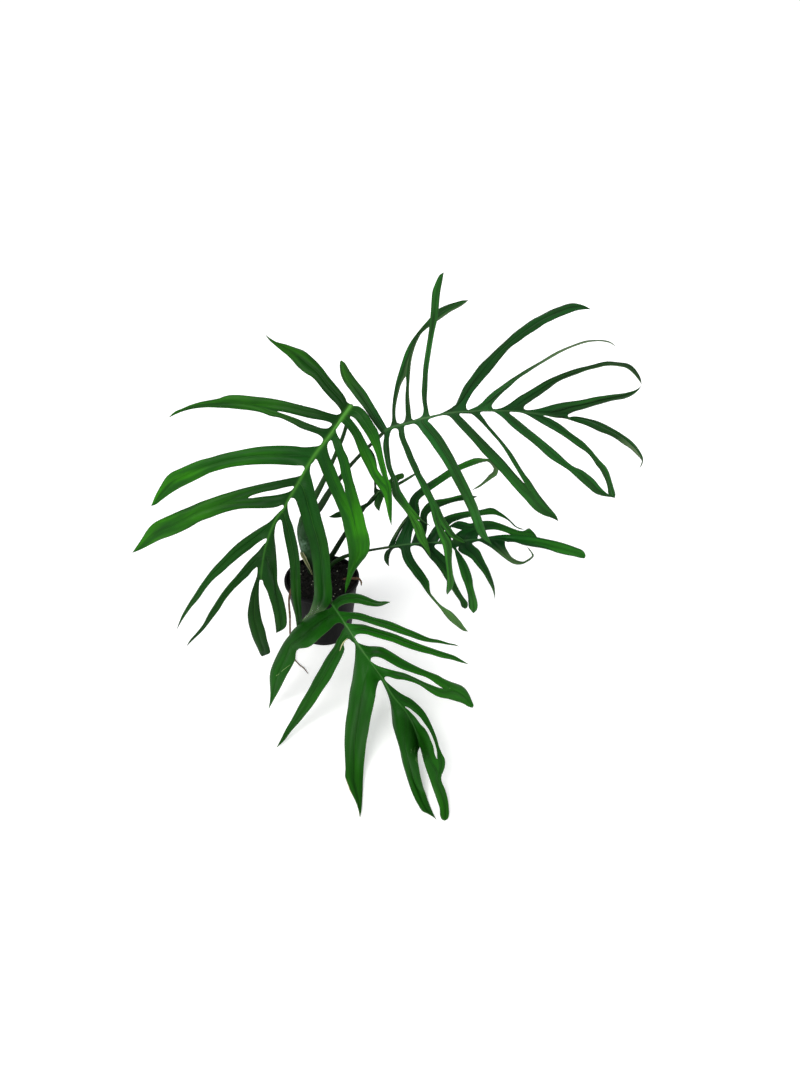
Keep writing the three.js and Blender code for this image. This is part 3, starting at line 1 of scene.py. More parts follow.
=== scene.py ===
# A young monstera croatii in a black nursery pot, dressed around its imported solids. Metres, +Z up.
import math
import bpy, bmesh
import numpy as np
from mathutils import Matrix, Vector


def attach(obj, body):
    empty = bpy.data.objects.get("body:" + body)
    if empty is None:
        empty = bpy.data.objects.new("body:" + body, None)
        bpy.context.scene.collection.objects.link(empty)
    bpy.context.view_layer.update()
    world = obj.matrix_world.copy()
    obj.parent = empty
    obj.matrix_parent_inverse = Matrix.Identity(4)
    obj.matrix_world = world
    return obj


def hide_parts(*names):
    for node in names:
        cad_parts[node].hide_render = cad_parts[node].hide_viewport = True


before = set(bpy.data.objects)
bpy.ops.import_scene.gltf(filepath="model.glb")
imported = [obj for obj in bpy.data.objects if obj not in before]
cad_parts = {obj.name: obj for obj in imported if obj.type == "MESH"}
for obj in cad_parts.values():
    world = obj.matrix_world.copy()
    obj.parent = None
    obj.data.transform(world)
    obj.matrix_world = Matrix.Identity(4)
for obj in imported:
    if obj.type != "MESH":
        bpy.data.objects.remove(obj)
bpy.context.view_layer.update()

# sighting frame: viewpoint, sight direction, up, and sighting units per unit of slope
EYE = np.array([0.1775, -1.371, 1.238])
SIGHT = np.array([0.0, 0.8191520, -0.5735764])
UPV = np.array([0.0, 0.5735764, 0.8191520])
FP, CX, CY = 769.17, 400.0, 532.5

# Blade outlines on the sighting plane: mid is the midrib, L and R the lobes each side from base to tip.
# a and b are a lobe's two edges, ha and hb a hole's edges, fa and fb a fork's inner edges,
# d its set-back in cm at a third, two thirds and the tip (z: its height in m), roll its tilt across in degrees.
LEAVES = {
    "left": dict(
        mid="351.5,405 345,414 338,424 331,434 323,444 316,453 309,464 304,472 300,480 293,492 288,501 283,510 278,516 273,526 270,533 266,545 263,560 261,580",
        middepth=[[0, 1.48], [0.25, 1.44], [0.5, 1.405], [0.75, 1.37], [0.9, 1.352], [1, 1.372]],
        L=[
            dict(n="L1",
                 a="347,402 345,397 340,390 330,378 320,365 312,357 303,350 296,347.5 285,344 275,341 265,334.5",
                 b="341,412 336,404 330,398 322,389 316,381 312,377 305,373 298,367 290,358 280,349.5 270,341 265,334.5",
                 d=[1.5, 3.0, 6.0], roll=[0, -25]),
            dict(n="L2",
                 a="341,412 338,414.5 333,414 326,412 317,409 305,406 295,403.5 285,401 275,399 265,397.5 255,396.5 240,395 230,395 225,396 218,398.5 210,400 200,402 190,405 182,408.5 175,411.5 168,418",
                 b="323,440 322,437.5 318,434.5 310,431.5 300,428 295,425 287,421 280,418 270,416 262,413 250,410.5 240,409.5 230,408.5 220,408 210,407.5 200,408 190,409.5 180,412.5 168,418",
                 ha="332,424 327,421.5 320,420 310,418.5 300,416 288,413 280,411.5 277,411.5",
                 hb="332,424 328,428 322,428 313,425 305,422 297,418.5 287,415 280,412.5 277,411.5",
                 d=[1.0, 2.5, 6.5], roll=[5, 30]),
            dict(n="L3",
                 a="323,440 320,445 312,446.5 303,447 295,446 285,445.5 275,445.5 260,446.5 250,448 240,450 230,452 220,454.5 210,457.5 200,460 190,464 180,468.5 172,472 166,477 161,485 156,494 151,506",
                 b="304.5,468.5 303,466 297,465.5 285,465 275,464.5 262,464.5 250,465 240,466 230,467.5 220,470 210,473 200,478 190,483 180,488 170,494 162,500 155,505 151,506",
                 d=[0.5, 1.8, 6.5], roll=[5, 20]),
            dict(n="L4",
                 a="304.5,468.5 303,474 299,476 290,478 280,480 265,483 250,486.5 240,489 230,492 220,495 210,498.5 200,502 190,506.5 180,510.5 170,515 160,519.5 153,523.5 147,530 142,538 132,553",
                 b="283.5,507.5 283,505 276,507 270,508 260,508.5 250,508.5 240,509 230,511 220,514 210,518 200,521.5 190,527.5 180,532.5 170,536.5 160,540 150,545 140,550 132,553",
                 ha="294,486.5 285,487.5 275,490 262,492.5 251,496 248,498",
                 hb="294,486.5 291,490.5 285,493 275,495 262,496.5 251,498 248,498",
                 d=[0.2, 1.6, 6.5], roll=[5, 15]),
            dict(n="L5",
                 a="283.5,507.5 280,511 276,515 270,521 262,526 255,530.5 250,534 240,541 230,550 220,560.5 210,571.5 200,585.5 190,601 183,613 180,620 176,631",
                 b="266.5,538.5 264,539 262,540 255,544.5 250,549 240,556.5 230,565 220,574 214,579 206,588 200,597 190,609 183,619 176,631",
                 d=[0.8, 4.0, 10.0], roll=[0, 15]),
            dict(n="L6",
                 a="266.5,538.5 266,542 263,545 258,551 250,559 243,567 235,577 226,587 217,600 210,611 203,624 197,632 190,640 186,647",
                 b="257,567 255,568.5 253,570 248,576 243,580.5 240,583.5 233,590 225,600 218,611 210,621.5 202,631.5 193,640 186,647",
                 d=[0.8, 3.6, 8.5], roll=[0, 10]),
            dict(n="L7",
                 a="257,567 257,575 254,584 251,593 249,603 247.5,613 248,622 250,630 253,639 257,648 260,654 262,656.5",
                 b="260.5,579 260,580 259,590 259,600 260,611 262,621 265,630 267,640 270,650 270,653 266,655 262,656.5",
                 d=[1.6, 4.4, 8.5], roll=[0, 10]),
        ],
        R=[
            dict(n="R1",
                 a="352.5,406 358,406 363,409 368,415 373,423 378,431 380,440 382,450 384,460 386,468 388,478 391,485 392,495 392,510 391.5,526",
                 b="338,426 340,422 347,428 353,437 357,447 361,457 366,467 372,478 378,487 383,495 386,505 388,515 391.5,526",
                 ha="347,415 354,418 361,427 367,436 371,443 375,452 378,462 381,472 383,477",
                 hb="347,415 352,420 360,431 366,442 370,450 375,460 378,470 383,477",
                 d=[1.0, 3.5, 7.5], roll=[20, 25]),
            dict(n="R3",
                 a="338,426 336,428 337,434 341,441 344,450 348,458 350,466 353,480 356,490 359,500 361,507 364,517 366,526 369,537 370,545 369,551 366,557 360,564 355,571 352,577 349,585 345,594",
                 b="313.5,462 316,459 320,466 323,474 327,484 331,493 335,501 339,511 342,520 344,530 347,543 348.5,555 348,565 347,575 345,585 345,594",
                 ha="327.5,445 331,440 334,448 337,457 340,467 341,475 344,485 345,493",
                 hb="327.5,445 330,457 335,468 339,478 343,487 345,493",
                 d=[2.6, 8.2, 17.5], roll=[15, 10]),
            dict(n="R5",
                 a="313.5,462 311,465 310,472 312,480 314,488 316,497 318,504 320,512 322,520 324,527 326,535 328,543 329,550 330,560 330.5,570 331,580 332,590 331.5,600 327,608 318,615 308,620 301,621.5",
                 b="289.5,500 291,498 295,499 298,506 301,516 303,524 305,532 308,540 310,548 312,560 313,570 313.5,580 314,590 313.2,599.2 311,606.8 308.9,612.3 304.5,617 301,621.5",
                 d=[3.4, 11.4, 21.6], roll=[10, 5]),
            dict(n="R6",
                 a="289.5,500 288,502 288,510 290,518 293,526 295,534 297,542 298.5,550 300,562 300.5,575 301,590 301.3,605 302,620 301.5,628 299,637",
                 b="279.5,520 281,520 283,528 285,540 287,550 289,560 290,570 290.4,580 291,592 292.5,601.4 294.7,612.3 296.6,626 299,637",
                 d=[3.2, 10.8, 20.8], roll=[5, 5]),
            dict(n="R7",
                 a="279.5,520 277.5,522 276,525 275,532 276,545 277,560 277,575 278.4,585 282.7,596 285.4,606.8 286.9,617.7 286.5,625.3 283.8,629.1 276.2,633",
                 b="260.5,579 262,580 264.2,585 268.5,593.7 271.8,604.6 274,614 275,622 276.2,633",
                 d=[1.6, 4.6, 8.5], roll=[0, 5]),
        ],
    ),
    "right": dict(
        mid="382,434 387,429.5 395,426.5 403,424.3 412,421.8 420,419 429,417.3 440,414.8 454,412.3 469.5,411.3 480,410.8 495,410.8 509.9,410.9 520,411.9 530,413.3 541.7,414.7 554.6,416.2 568,416.5",
        middepth=[[0, 1.5], [0.3, 1.47], [0.6, 1.465], [1, 1.5]],
        L=[
            dict(n="U0",
                 a="380.5,432 378,429 375,425 369,416 363,407 356,398 350,390 346,385 342,378 340,370 340,362 341,360",
                 b="388,428.5 384.1,422.6 382,419 378,412 372,402 366,392 358,382 350,371 345,363 341,360",
                 d=[1.0, 1.5, 0.5], roll=[0, 20]),
            dict(n="U1",
                 a="388,428.5 390.5,425.5 391.9,420 392.1,410 392.8,400 394.4,390 396.6,380 399.5,370 402.6,360 406.5,350 411.8,340 419.5,330 428.2,320 434,313 438.7,308.9 446.2,305.3 455.9,302.1 462.1,300.4 468.4,300.1",
                 b="413.8,419.8 412,418.8 411,413.7 410.3,406.5 409.4,397.3 409.2,388.1 409.7,380.9 410.2,373.7 410.8,365.5 412,358.3 413.8,351.2 416.1,344 418.5,338.8 421,333.9 424.6,330.6 428.7,327.4 437.2,321.2 443.6,316.8 450.8,312 457.9,308.1 464.1,304 468.4,300.1",
                 ha="399.5,423.8 397.4,422.9 395.9,417.8 395.6,411.7 396.4,403.5 397.6,397.3 399.5,390.1 401,385 403.6,379.9 405.9,376.3",
                 hb="399.5,423.8 401.5,423.8 404.1,420.9 405.4,416.8 405.4,408.6 405.2,399.4 405.6,391.2 406.3,382.9 405.9,376.3",
                 d=[2.5, 5.5, 9.5], roll=[20, 40]),
            dict(n="U2",
                 a="413.8,419.8 418,418.4 422,415.5 423.5,410 422.6,400 421.8,390 422.4,380 423.2,370 424.5,360 425.8,350 427.4,340 429,330 430,320 430.8,310 431.5,300 432.8,290 436.7,280 439.5,275 443.8,272.2",
                 b="431,416.3 429.6,415 428.4,410 427.2,400 427.4,390 427.8,380 428.7,370 429.9,360 431.3,350 433.1,340 435.1,330 437.2,320 438.8,310 439.7,300 440.7,290 442.6,280 443.8,272.2",
                 d=[0.5, 2.0, 5.0], roll=[50, 15]),
            dict(n="U3",
                 a="431,416.3 440,414 447,412 451.8,409.1 455.4,404.5 457.7,399.4 460.5,393.2 464.1,386 469.2,378.8 474.4,371.7 480,364.5 486.7,357.8 493.8,351.2 501,344.5 510.9,335.3 519.9,328 529.8,320.9 539.7,315.4 549.6,310.4 558.6,306.7 565.5,304.2 570.5,303.2 575.5,303.2 581.4,304.4 587.4,307.1 590.9,309.4",
                 b="468,409.8 466.7,408.6 466.2,405 467.2,402.4 470.3,396.3 474.4,389.6 480,383 485.6,376.8 490.8,370.6 495.9,364.5 500,359.2 504.9,353.1 509.9,347.9 519.8,340.5 529.8,333.7 539.7,327.3 544.7,323.8 549.6,321.3 559.6,316.9 569.5,312.9 579.5,309.9 585.4,309.2 590.9,309.4",
                 d=[1.5, 4.5, 10.0], roll=[-5, -20]),
            dict(n="U4",
                 a="468,409.8 470.3,409.1 477.4,406 482.6,401.9 486.7,397.8 492.8,392.7 500,387.6 509.9,379.9 519.8,373.9 529.8,368 539.7,361.9 549.6,356.1 559.6,350.8 569.5,346.2 579.5,342.7 586.4,340.9 594.4,340 600.3,339.9 605.3,340.4 610.3,342 613.2,343.9 615.5,346.7",
                 b="494.5,408.9 492.8,408.4 492,405.5 493.8,402.4 499,396.8 505.1,390.6 512.3,384.5 519.9,377 529.8,370.3 539.7,363.9 549.6,358 559.6,352.4 569.5,347.8 579.5,344.1 586.4,342.2 594.4,341.2 600.3,341.1 605.3,341.7 610.3,343.2 613.2,345 615.5,346.7",
                 d=[1.5, 4.5, 10.0], roll=[40, 72]),
            dict(n="U5",
                 a="494.5,408.9 500,408.2 504.9,406.3 509.9,403.3 514.9,399.8 519.8,396.3 524.8,393.4 529.8,390.4 539.7,384.4 549.6,379 559.6,374.5 569.5,371 579.5,368 589.4,365.5 599.3,363.1 605.3,361.8 611.2,361.4 617.2,362.1 624.2,363.1 629.1,364.5 634.1,368 638.1,373 640.6,378.5 641.8,384.4",
                 b="526,409.7 524.6,409.1 523.8,407.8 525.3,405.3 529.8,402.3 534.7,398.8 539.7,395.8 544.7,391.9 549.6,388.4 554.6,384.4 559.6,381.4 569.5,377 579.5,373.5 589.4,370 599.3,367.5 605.3,366.3 614.2,366 620.2,366.7 625.2,368 630.1,371 635.1,375.5 638.6,380 641.8,384.4",
                 d=[1.0, 4.0, 9.5], roll=[10, 65]),
            dict(n="T1",
                 a="526,409.7 532.8,409.8 539.7,408.8 546.7,406.8 554.6,404.6 564.5,402.8 574.5,401.3 584.4,399.5 594.4,397.3 604.3,395.6 614.2,394.1 624.2,392.9 629.1,391.9 634.1,390.4 638.1,388.4 641.9,385.2",
                 b="568,416.1 568,415.3 569,414.2 572.5,412.7 579.5,410.7 589.4,407.8 599.3,404.8 609.3,401.8 619.2,399.8 624.2,398.8 631.1,396.1 635.1,393.4 638.6,389.9 641.9,385.2",
                 d=[0.5, 2.5, 7.0], roll=[20, 35]),
        ],
        R=[
            dict(n="D1",
                 a="383.5,433 384.1,435.4 383.6,441 383.6,449.2 384.6,457.4 386.2,465.6 389.2,473.8 391.8,480 391.8,487.2 392.8,495.4 396.4,500.5 400.5,505.5 405.6,512 409.7,519 412.8,526 415.4,533.5 418.3,540.8 422.5,545.8 426.7,551.7 430,557.5",
                 b="392.5,429.3 390.8,432 389.7,435.9 389.2,443.1 389.7,451.3 390.8,459.5 392.3,467.7 395.4,475.9 398.5,483.1 400.3,489 404.6,496.4 410,505 413.3,509.2 418.3,515 423.3,520.8 426.7,522.9 430.4,525.8",
                 fa="417.5,519.6 420.8,522.5 423.3,528.3 425.4,534.2 427.5,540.8 429.2,547.5 430.4,553.3 430,557.5",
                 fb="417.5,519.6 421.7,521.5 426,524 430.4,525.8", fd=[-1.2, 1.2],
                 d=[3.0, 7.0, 11.0], roll=[45, 10]),
            dict(n="D2",
                 a="392.5,429.3 396.5,428.6 398.3,430.5 398.7,434.9 400.5,441 403.6,448.2 407.2,457.4 411.8,468.2 415.9,476.9 420,485.1 423.1,492.3 427.2,499.5 430.3,507.7 432,515 433.5,521 435.4,526.5 437.5,533.3 440,539.2 442.9,545.8 444.4,553.3 445.2,560 446,567 446.7,575 447,584 446.4,592.5 447.3,594.6",
                 b="409,424.8 404.6,426.2 404.4,430.8 405.6,437.9 409.7,447.2 413.8,457.4 418.5,466.7 421,473.8 426.2,482.1 430.8,490.8 435.2,500 439.6,507.5 443.8,516.7 447.7,522.5 450.8,527.9 455.8,534.2 463.3,540 465.1,543.1",
                 fa="440.8,525.5 443.3,529.2 446.7,534.2 450.8,540.8 452.1,546.7 452.3,553.3 452,560.8 452.5,567.5 453.3,575 453.8,581.7 452.3,588 449.2,592.3 447.3,594.6",
                 fb="440.8,525.5 445,530.5 450,536.7 456,540.3 463.3,543 465.1,543.1", fd=[-0.8, -0.4],
                 d=[2.2, 6.0, 9.6], roll=[30, 15]),
            dict(n="D3",
                 a="409,424.8 413.5,423.8 416,424.5 419,427.6 423.1,433.3 428.2,439.5 433.3,446.7 438.5,454.4 443.6,462.1 448.3,470 453.3,480 458.3,489.2 461.7,495.5 465,502.6 468.3,510 470.8,516.7 473.3,522.5 475.6,529.8 478.7,535 483.3,539.6 488.3,542.9 492.4,545.2",
                 b="440,415.8 434,417.5 428.8,419.6 428,421.3 430.3,423.1 435.4,428.7 440.5,434.4 444.6,440.5 448.7,447.7 453.8,456.4 459,466.7 464.1,476.9 469.2,486.7 473.3,496.4 477.4,505.6 481,515.9 483.6,524.1 487.2,534.4 492.4,545.2",
                 d=[1.0, 3.5, 8.0], roll=[25, 25]),
            dict(n="D4",
                 a="440,415.8 446,415.3 449.7,416.6 455.9,423.1 462.1,429.7 470.3,438.5 477.4,446.7 484.6,454.9 490.3,460.6 497.9,468.9 504.9,476.6 514.9,488.4 524.8,498.8 529.8,504.8 534.7,509.8 539.7,513.2 544.7,515.7 549.6,517.2 554.6,519.2 558.6,521.4",
                 b="494,411.9 487,411.7 481.5,411.9 480.3,413 483.6,417.9 488.7,425.1 494.9,432.3 501,439.5 506.2,445.6 511.3,452.3 516.4,460.5 521.5,468.7 526.7,476.4 529.8,480.2 534.7,487.4 539.7,494.9 544.7,501.3 549.6,507.3 553.6,511.7 556.6,516.2 558.6,521.4",
                 ha="464,413.6 459.8,413.6 459.5,414.9 464.1,419.5 472.3,427.7 480.5,436.4 487.7,443.6 495.9,451.8 503.1,459.5 510.3,467.7 517.4,475.9 524.8,483.9",
                 hb="464,413.6 470.3,413.3 474.4,415.9 480.5,421.5 486.7,428.2 492.8,434.9 497.9,440.5 503.1,447.7 509.2,457.4 515.4,467.7 520.5,476.4 524.8,483.9",
                 d=[0.5, 2.0, 5.0], roll=[20, 15]),
            dict(n="D5",
                 a="494,411.9 496.5,413.2 500,415.6 504.9,419.8 509.9,424.8 519.8,432.8 529.8,440.7 539.7,449.1 549.6,457.8 559.6,464.5 569.5,471 579.5,479.9 589.4,488.9 594.4,492.9 600.3,495.3 606.3,496.5 614.7,497.6",
                 b="520.5,412.7 514,412.1 510,412.1 509.4,413 514.9,417.4 524.8,425.3 534.7,433.3 544.7,441.7 554.6,449.6 559.6,454.1 564.5,459.1 569.5,463.6 574.5,467 581.4,469.5 587.4,473.5 594.4,479.5 599.3,485.9 604.3,490.9 608.8,494.4 614.7,497.6",
                 d=[0.5, 2.2, 5.0], roll=[20, 20]),
            dict(n="D6",
                 a="520.5,412.7 523,413.3 527.8,415.2 534.7,418.9 542.7,423.4 549.6,427.6 559.6,433.6 569.5,439.8 579.5,447.2 584.4,450.6 589.4,455.1 593.4,460.1 596.3,464.5 600.3,469.5 603.3,475.5 605.8,481.4 607.8,488.4 608.8,494 611.5,496.9 614.7,498.0",
                 b="547,416 544.3,415.4 543.7,415.9 550.6,418.4 554.6,420.7 559.6,423.7 564.5,427.1 569.5,431.1 579.5,438.6 584.4,442.5 588.4,446.7 592.4,450.6 596.3,455.6 600.3,460.6 605.3,465.7 609.3,472.5 611.7,479.5 613.7,487.4 615.4,494.4 614.7,498.0",
                 d=[0.3, 1.5, 5.6], roll=[10, 45]),
            dict(n="T2",
                 a="547,416 556,417.2 564.5,418.3 570.5,419.8 579.5,422.2 589.4,426.3 599.3,430.7 609.3,434.8 619.2,440.4 624.2,444.2 631.1,449.1 636.1,453.6 640.1,458.1 641.8,460.8 641.2,463.6 639.3,468.7",
                 b="568,416.9 570,417.4 573.5,418 584.4,419.2 594.4,421.4 601.3,423.2 609.3,426.6 616.2,430.6 624.2,435.7 631.1,440.5 636.1,445.7 640.1,451.1 642.5,456.6 643,460.1 642,464.6 639.3,468.7",
                 d=[0.3, 2.0, 7.0], roll=[40, 60]),
        ],
    ),
    "front": dict(
        mid="330.8,602.3 334,606.8 340.5,616.6 347,626.4 352.5,635.1 357.9,643.9 364.5,653.7 371,662.4 376.5,670 383,678.8 388.5,688.6 395,698.4 402.6,707 409,716 414.5,727 418,738 419.7,747.4",
        midz=[[0, 0.212], [0.15, 0.2], [0.35, 0.165], [0.6, 0.105], [0.8, 0.058], [1, 0.022]],
        L=[
            dict(n="CL1",
                 a="332,604.8 331.3,607.3 327.4,609.2 321.4,611.2 315.4,612.8 308.9,616.2 303.4,619.9 298,625 292.5,629.7 288.2,635.7 283.8,641.7 280.5,647.7 277.3,653.7 274,660.2 271.8,665.7 270.2,671.1 269.4,678.8 269.6,686.4 270.2,694 269.8,701.6 268.5,709.3",
                 b="344.5,627 343.5,624.8 340.5,622.9 337.2,622.9 334,624.8 330.1,628.6 326.3,631.9 321.4,636.2 316.5,640.6 312.1,644.4 308.9,646.6 304.5,648.2 299.1,648.8 296.9,649.9 295.6,653.7 294.9,659.1 293.1,663.5 290.3,668.9 286,676.6 281.6,685.3 278.4,691.8 274,699.5 268.5,709.3",
                 z=[0.192, 0.105, 0.004], roll=[0, 0]),
            dict(n="CL2",
                 a="344.5,627 342,631 339.9,635.7 337.2,639.5 334,646 330.7,650.4 326.3,657 321.4,665.7 315.4,675.5 310,686.4 303.4,697.3 296.9,709.3 291.4,719.1 286,728.9 281.6,737.6 276.2,748.3",
                 b="351.8,641.5 349,639 346.5,640 343.8,643.9 344.3,649.3 342.7,653.7 339.9,660.2 335,670 329.6,679.8 323,689.7 316.5,699.5 310,709.3 304.5,715.8 298,723.5 291.4,731.1 284.9,739.8 276.2,748.3",
                 z=[0.122, 0.048, 0.004], roll=[0, 0]),
            dict(n="CL3",
                 a="351.8,641.5 354,643 355.2,646 354.7,655.9 353.6,665.7 351.4,679.8 349.2,691.8 347.6,704.9 345.4,720.5 344.4,730.4 344.1,740.3 344.4,750.1 344.8,760 345.3,769 345,776.1 346.2,780.6 348.8,786 351.5,793.2 354.2,798.6 356.9,804.9 358.7,811.2 360,818.5",
                 b="381,680.5 379.2,680.9 377,687.5 375.4,695.1 372.6,707.1 371.2,713 369.9,720.4 368.1,730.4 366.3,741.2 365,751 364.1,761.8 363.4,770.8 363,779.7 362.8,789.6 362.3,799.5 361.6,809.4 360,818.5",
                 z=[0.072, 0.012, 0.004], roll=[0, 0]),
            dict(n="CT1",
                 a="381,680.5 384.1,686.4 387.4,695.1 390.1,706 391.5,718 392.2,725 394.6,734 397.3,742.9 399.6,751.9 401.8,761.8 405.4,773.5 409.9,786.9 414.4,797.7 418.8,805.8 422.4,811.2 426.9,813.4 431.4,815.8 434.5,818 436.8,820.8",
                 b="419.7,747 418.4,751 417.9,754.6 417.8,761.8 418.4,769 419.7,775.3 421.5,782.4 423.3,789.6 426.9,797.7 430.5,806.7 433.2,812.9 436.8,820.8",
                 z=[0.034, 0.006, 0.004], roll=[0, 0]),
        ],
        R=[
            dict(n="CR1",
                 a="331.3,602.3 334,600.3 338.3,596.4 342.7,594.3 348.1,592.8 353.6,592.8 360.1,593.9 366.7,596.4 373.2,599.2 379.7,601 384.1,601.1 390.9,601.9",
                 b="338.7,611 338,609 338.8,607.3 342.7,604.8 348.1,603 354.7,602.8 360.1,603.3 366.7,605.2 373.2,606.3 378.6,606.3 384.1,604.8 390.9,601.9",
                 z=[0.222, 0.212, 0.185], roll=[0, 0]),
            dict(n="CR2",
                 a="338.7,611 340.5,611.4 348.1,611.7 355.8,612 363.4,613.6 371,616 381.9,618.8 396.6,623.6 404.8,627.2 413,630.8 422.2,634.9 430.4,638 437.6,639.5 442.7,641 448.9,643 455,644.3 459.7,646.7",
                 b="346,622.5 346.5,621.2 349.2,619.2 354.7,619.2 362.3,621 371,623.4 379.1,626.3 387.3,629 396.6,632 406.8,635.6 417.1,639.2 425.3,641.2 432.5,642.5 439.6,643.2 447.9,644.6 455,645.6 459.7,646.7",
                 z=[0.198, 0.172, 0.132], roll=[0, 0]),
            dict(n="CR3",
                 a="346,622.5 349,623.4 355.8,623.8 363.4,624.3 371,626.3 379.7,628.8 390.6,632.3 401.5,636.3 412,640.4 423.2,645.1 432.5,648.2 440.7,650.8 447.9,653.3 455,655.9 461.2,659.5 468.9,664.4",
                 b="355,639.2 354.5,637.5 355.8,635.3 359,633.9 365.6,634.1 373.2,636.2 379.7,637.9 392.8,642 401.7,645.6 412,649 422.2,652.3 432.5,654.9 441.7,657.5 450.9,659.5 458.1,661.6 468.9,664.4",
                 z=[0.17, 0.142, 0.098], roll=[0, 0]),
            dict(n="CR4",
                 a="355,639.2 356.8,641.7 362.3,644.4 368.8,645.8 375.4,646 381.9,646.8 388.5,650 396.1,654.4 403.7,659.2 412,664 420,667.8 427.3,670.8 437.6,674.9 443.8,678.5 449.9,681.1 457.1,683.3 462.2,685.7 465.8,688.7 469.4,694.4 472,700.5 473.7,705.7 472.5,707.8",
                 b="384.5,677.5 386.5,676.8 390.4,677.5 396.6,679 403.7,679.7 410.9,681.2 417.1,683.6 422.2,686.7 427.3,690.3 432.5,693.4 437.6,696.4 442.7,698 448.9,698.9 456.1,701.1 463.2,703.6 468.4,706.7 472.5,707.8",
                 ha="370.4,660.4 371.9,657.5 376,656.4 381.2,657.7 386.3,660.5 392.5,664.1 400.7,668.2 408.9,671.3 417.1,674.4 425.3,676.9 431.4,680 437.6,684.6 443,688.3",
                 hb="370.4,660.4 373,662.8 378.1,665.7 386.3,668.2 394.5,670.3 402.7,672.3 409.9,675.4 417.1,678.5 424.3,681.6 431.4,684.6 437.6,687.2 443,688.3",
                 z=[0.128, 0.086, 0.03], roll=[0, 0]),
            dict(n="CR6",
                 a="384.5,677.5 385.5,680.5 390.4,685.2 396.6,690.3 402.7,694.4 410.9,698.5 416.1,702.6 421.2,707.7 425.3,712.9 429.4,720 433,728.2 436.8,737.9 439.5,747.4 442.2,753.7 444.9,759.1 445.3,764.5 444,770.8 441.5,776.8 441.8,781.5 444.9,788.7 447.6,797.7 448.9,806.7 448.9,815.6 447.5,819 444.7,820.8",
                 b="419.7,747 421.1,751.9 423.3,760 426,769 429.6,778.8 433.2,789.6 436.8,799.5 439.5,807.6 440.2,815.6 442,819.5 444.7,820.8",
                 ha="404.9,706.6 408.8,707.8 413.5,711.5 419.7,716.9 424.2,723.2 428.7,729.5 432.3,736.7 435,743.8 436.8,751 437.2,759.1",
                 hb="404.9,706.6 410,711.9 415.8,718.3 419.7,724.1 424.2,728.6 427.8,734 430.5,740.3 433.2,747.4 435,754.6 437.2,759.1",
                 z=[0.07, 0.022, 0.004], roll=[0, 0]),
        ],
    ),
    "low_right": dict(
        mid="387,547.5 398,545.5 411,544 422,543 436,542.2 450,541 464,540 478,539 492,538.7 505,540.5",
        middepth=[[0, 1.64], [0.4, 1.615], [0.7, 1.61], [1, 1.625]],
        L=[
            dict(n="DU0",
                 a="388,546.5 391,541 394,535 398.5,527.5 404,520 410,514 415,509.5 419,506",
                 b="394.5,545 396,541 399,535 402,529 407,522 412,515.5 416,510.5 419,506",
                 d=[0.6, 0.8, 0.5], roll=[50, 60]),
            dict(n="DU3",
                 a="394.5,545 397,539 400,533 404,525 407,517 408.5,509 409,502 411,497.5 415,492.5 420,488.6 426.3,483.8 431.7,480.4 438.3,476.3 443.3,472.9 447.9,469.8 453,467 458.3,464.8 463.3,462.3 470,459.6 476.3,457.7 481.7,458.3 488.3,458.8 494,461.5 498.4,467 498.4,470.4 496.4,475.7 493.1,477.6 489.2,480.5 484.4,483.8 479.6,487.2 471.4,490.4",
                 b="411,543.5 411.5,537 413,530 416,523 419,517 420,511 419,505.5 418.8,500.5 423.3,496 430.8,490.4 436.7,486.3 443.3,481.7 451.7,476.3 457,472.6 461.3,470 467.5,467.5 474.2,465 480,463 484.5,462 488.3,461.7 491,464.5 493.5,468 493.1,471.3 489.2,474.7 485.4,479 480.6,483.8 475.8,487.2 471.4,490.4",
                 d=[0.5, 0.0, -1.5], roll=[10, 20]),
            dict(n="DU4",
                 a="411,543.5 413.5,537 416,530.5 418.5,524 420,517.5 421,511.5 424.2,506.5 427.5,503.3 431.5,501 435.8,500 443.3,498.9 450.8,497.2 460,495 467,494.8 472,495.6 477.5,496.3",
                 b="424,542.8 425.5,536 427,529.5 427.5,522.5 427.3,517 429,513.5 433,510.5 439.6,507.3 446.7,504.6 455,502.1 463.3,500.4 469,499.3 474.2,498 477.5,496.3",
                 d=[1.2, 1.2, 1.5], roll=[15, 35]),
            dict(n="DU5",
                 a="424,542.8 427,538 430,533 433,528.5 436.5,524.5 440,520.5 443.8,517.3 450.8,514.4 459.2,512.5 468.3,511.1 474,510.5 480,509.9 485,508.8 490.4,507.7 495,508.8 499.5,511.7 503.7,514.6 509.4,519.4 513.3,523.3 516.2,526.2 521,528.3 524.8,529.5",
                 b="438,542 440,537.5 443,532.5 446.5,528 450,524.5 453.5,522 458.3,520.2 463.3,518.6 470.8,517 476,516 482.1,515.5 488.3,514.8 495,514.8 499.8,516.3 505.6,518.9 510.4,522.3 514.2,526.2 520,529.2 524.8,529.5",
                 d=[0.4, 0.3, 2.5], roll=[10, 15]),
            dict(n="DU7",
                 a="438,542 441.5,536.5 445.5,530.5 449.5,526 453.5,523 458.3,520.9 465,522 470,523.4 476,522 483.3,520.8 490.8,520.8 495,521.8 503.7,524.7 513.3,528.6 519,530.5 523.8,531 527.7,528.6 529.3,528.1 531.5,530 534.4,532.9 537.5,537.8",
                 b="478,538.7 478,536.5 479.5,533.5 482.5,531 485.9,530.1 494,529.6 501.7,531 507.5,532.9 511.1,534.8 518,536 525,536.8 531,537.6 537.5,537.8",
                 ha="452,540.3 451,537.5 450.6,532.5 450.8,527.4 456,528.4 461.7,529.9",
                 hb="452,540.3 454,536.5 457.5,532.5 461.7,529.9",
                 d=[0.6, 1.4, 3.0], roll=[5, 20]),
            dict(n="DT",
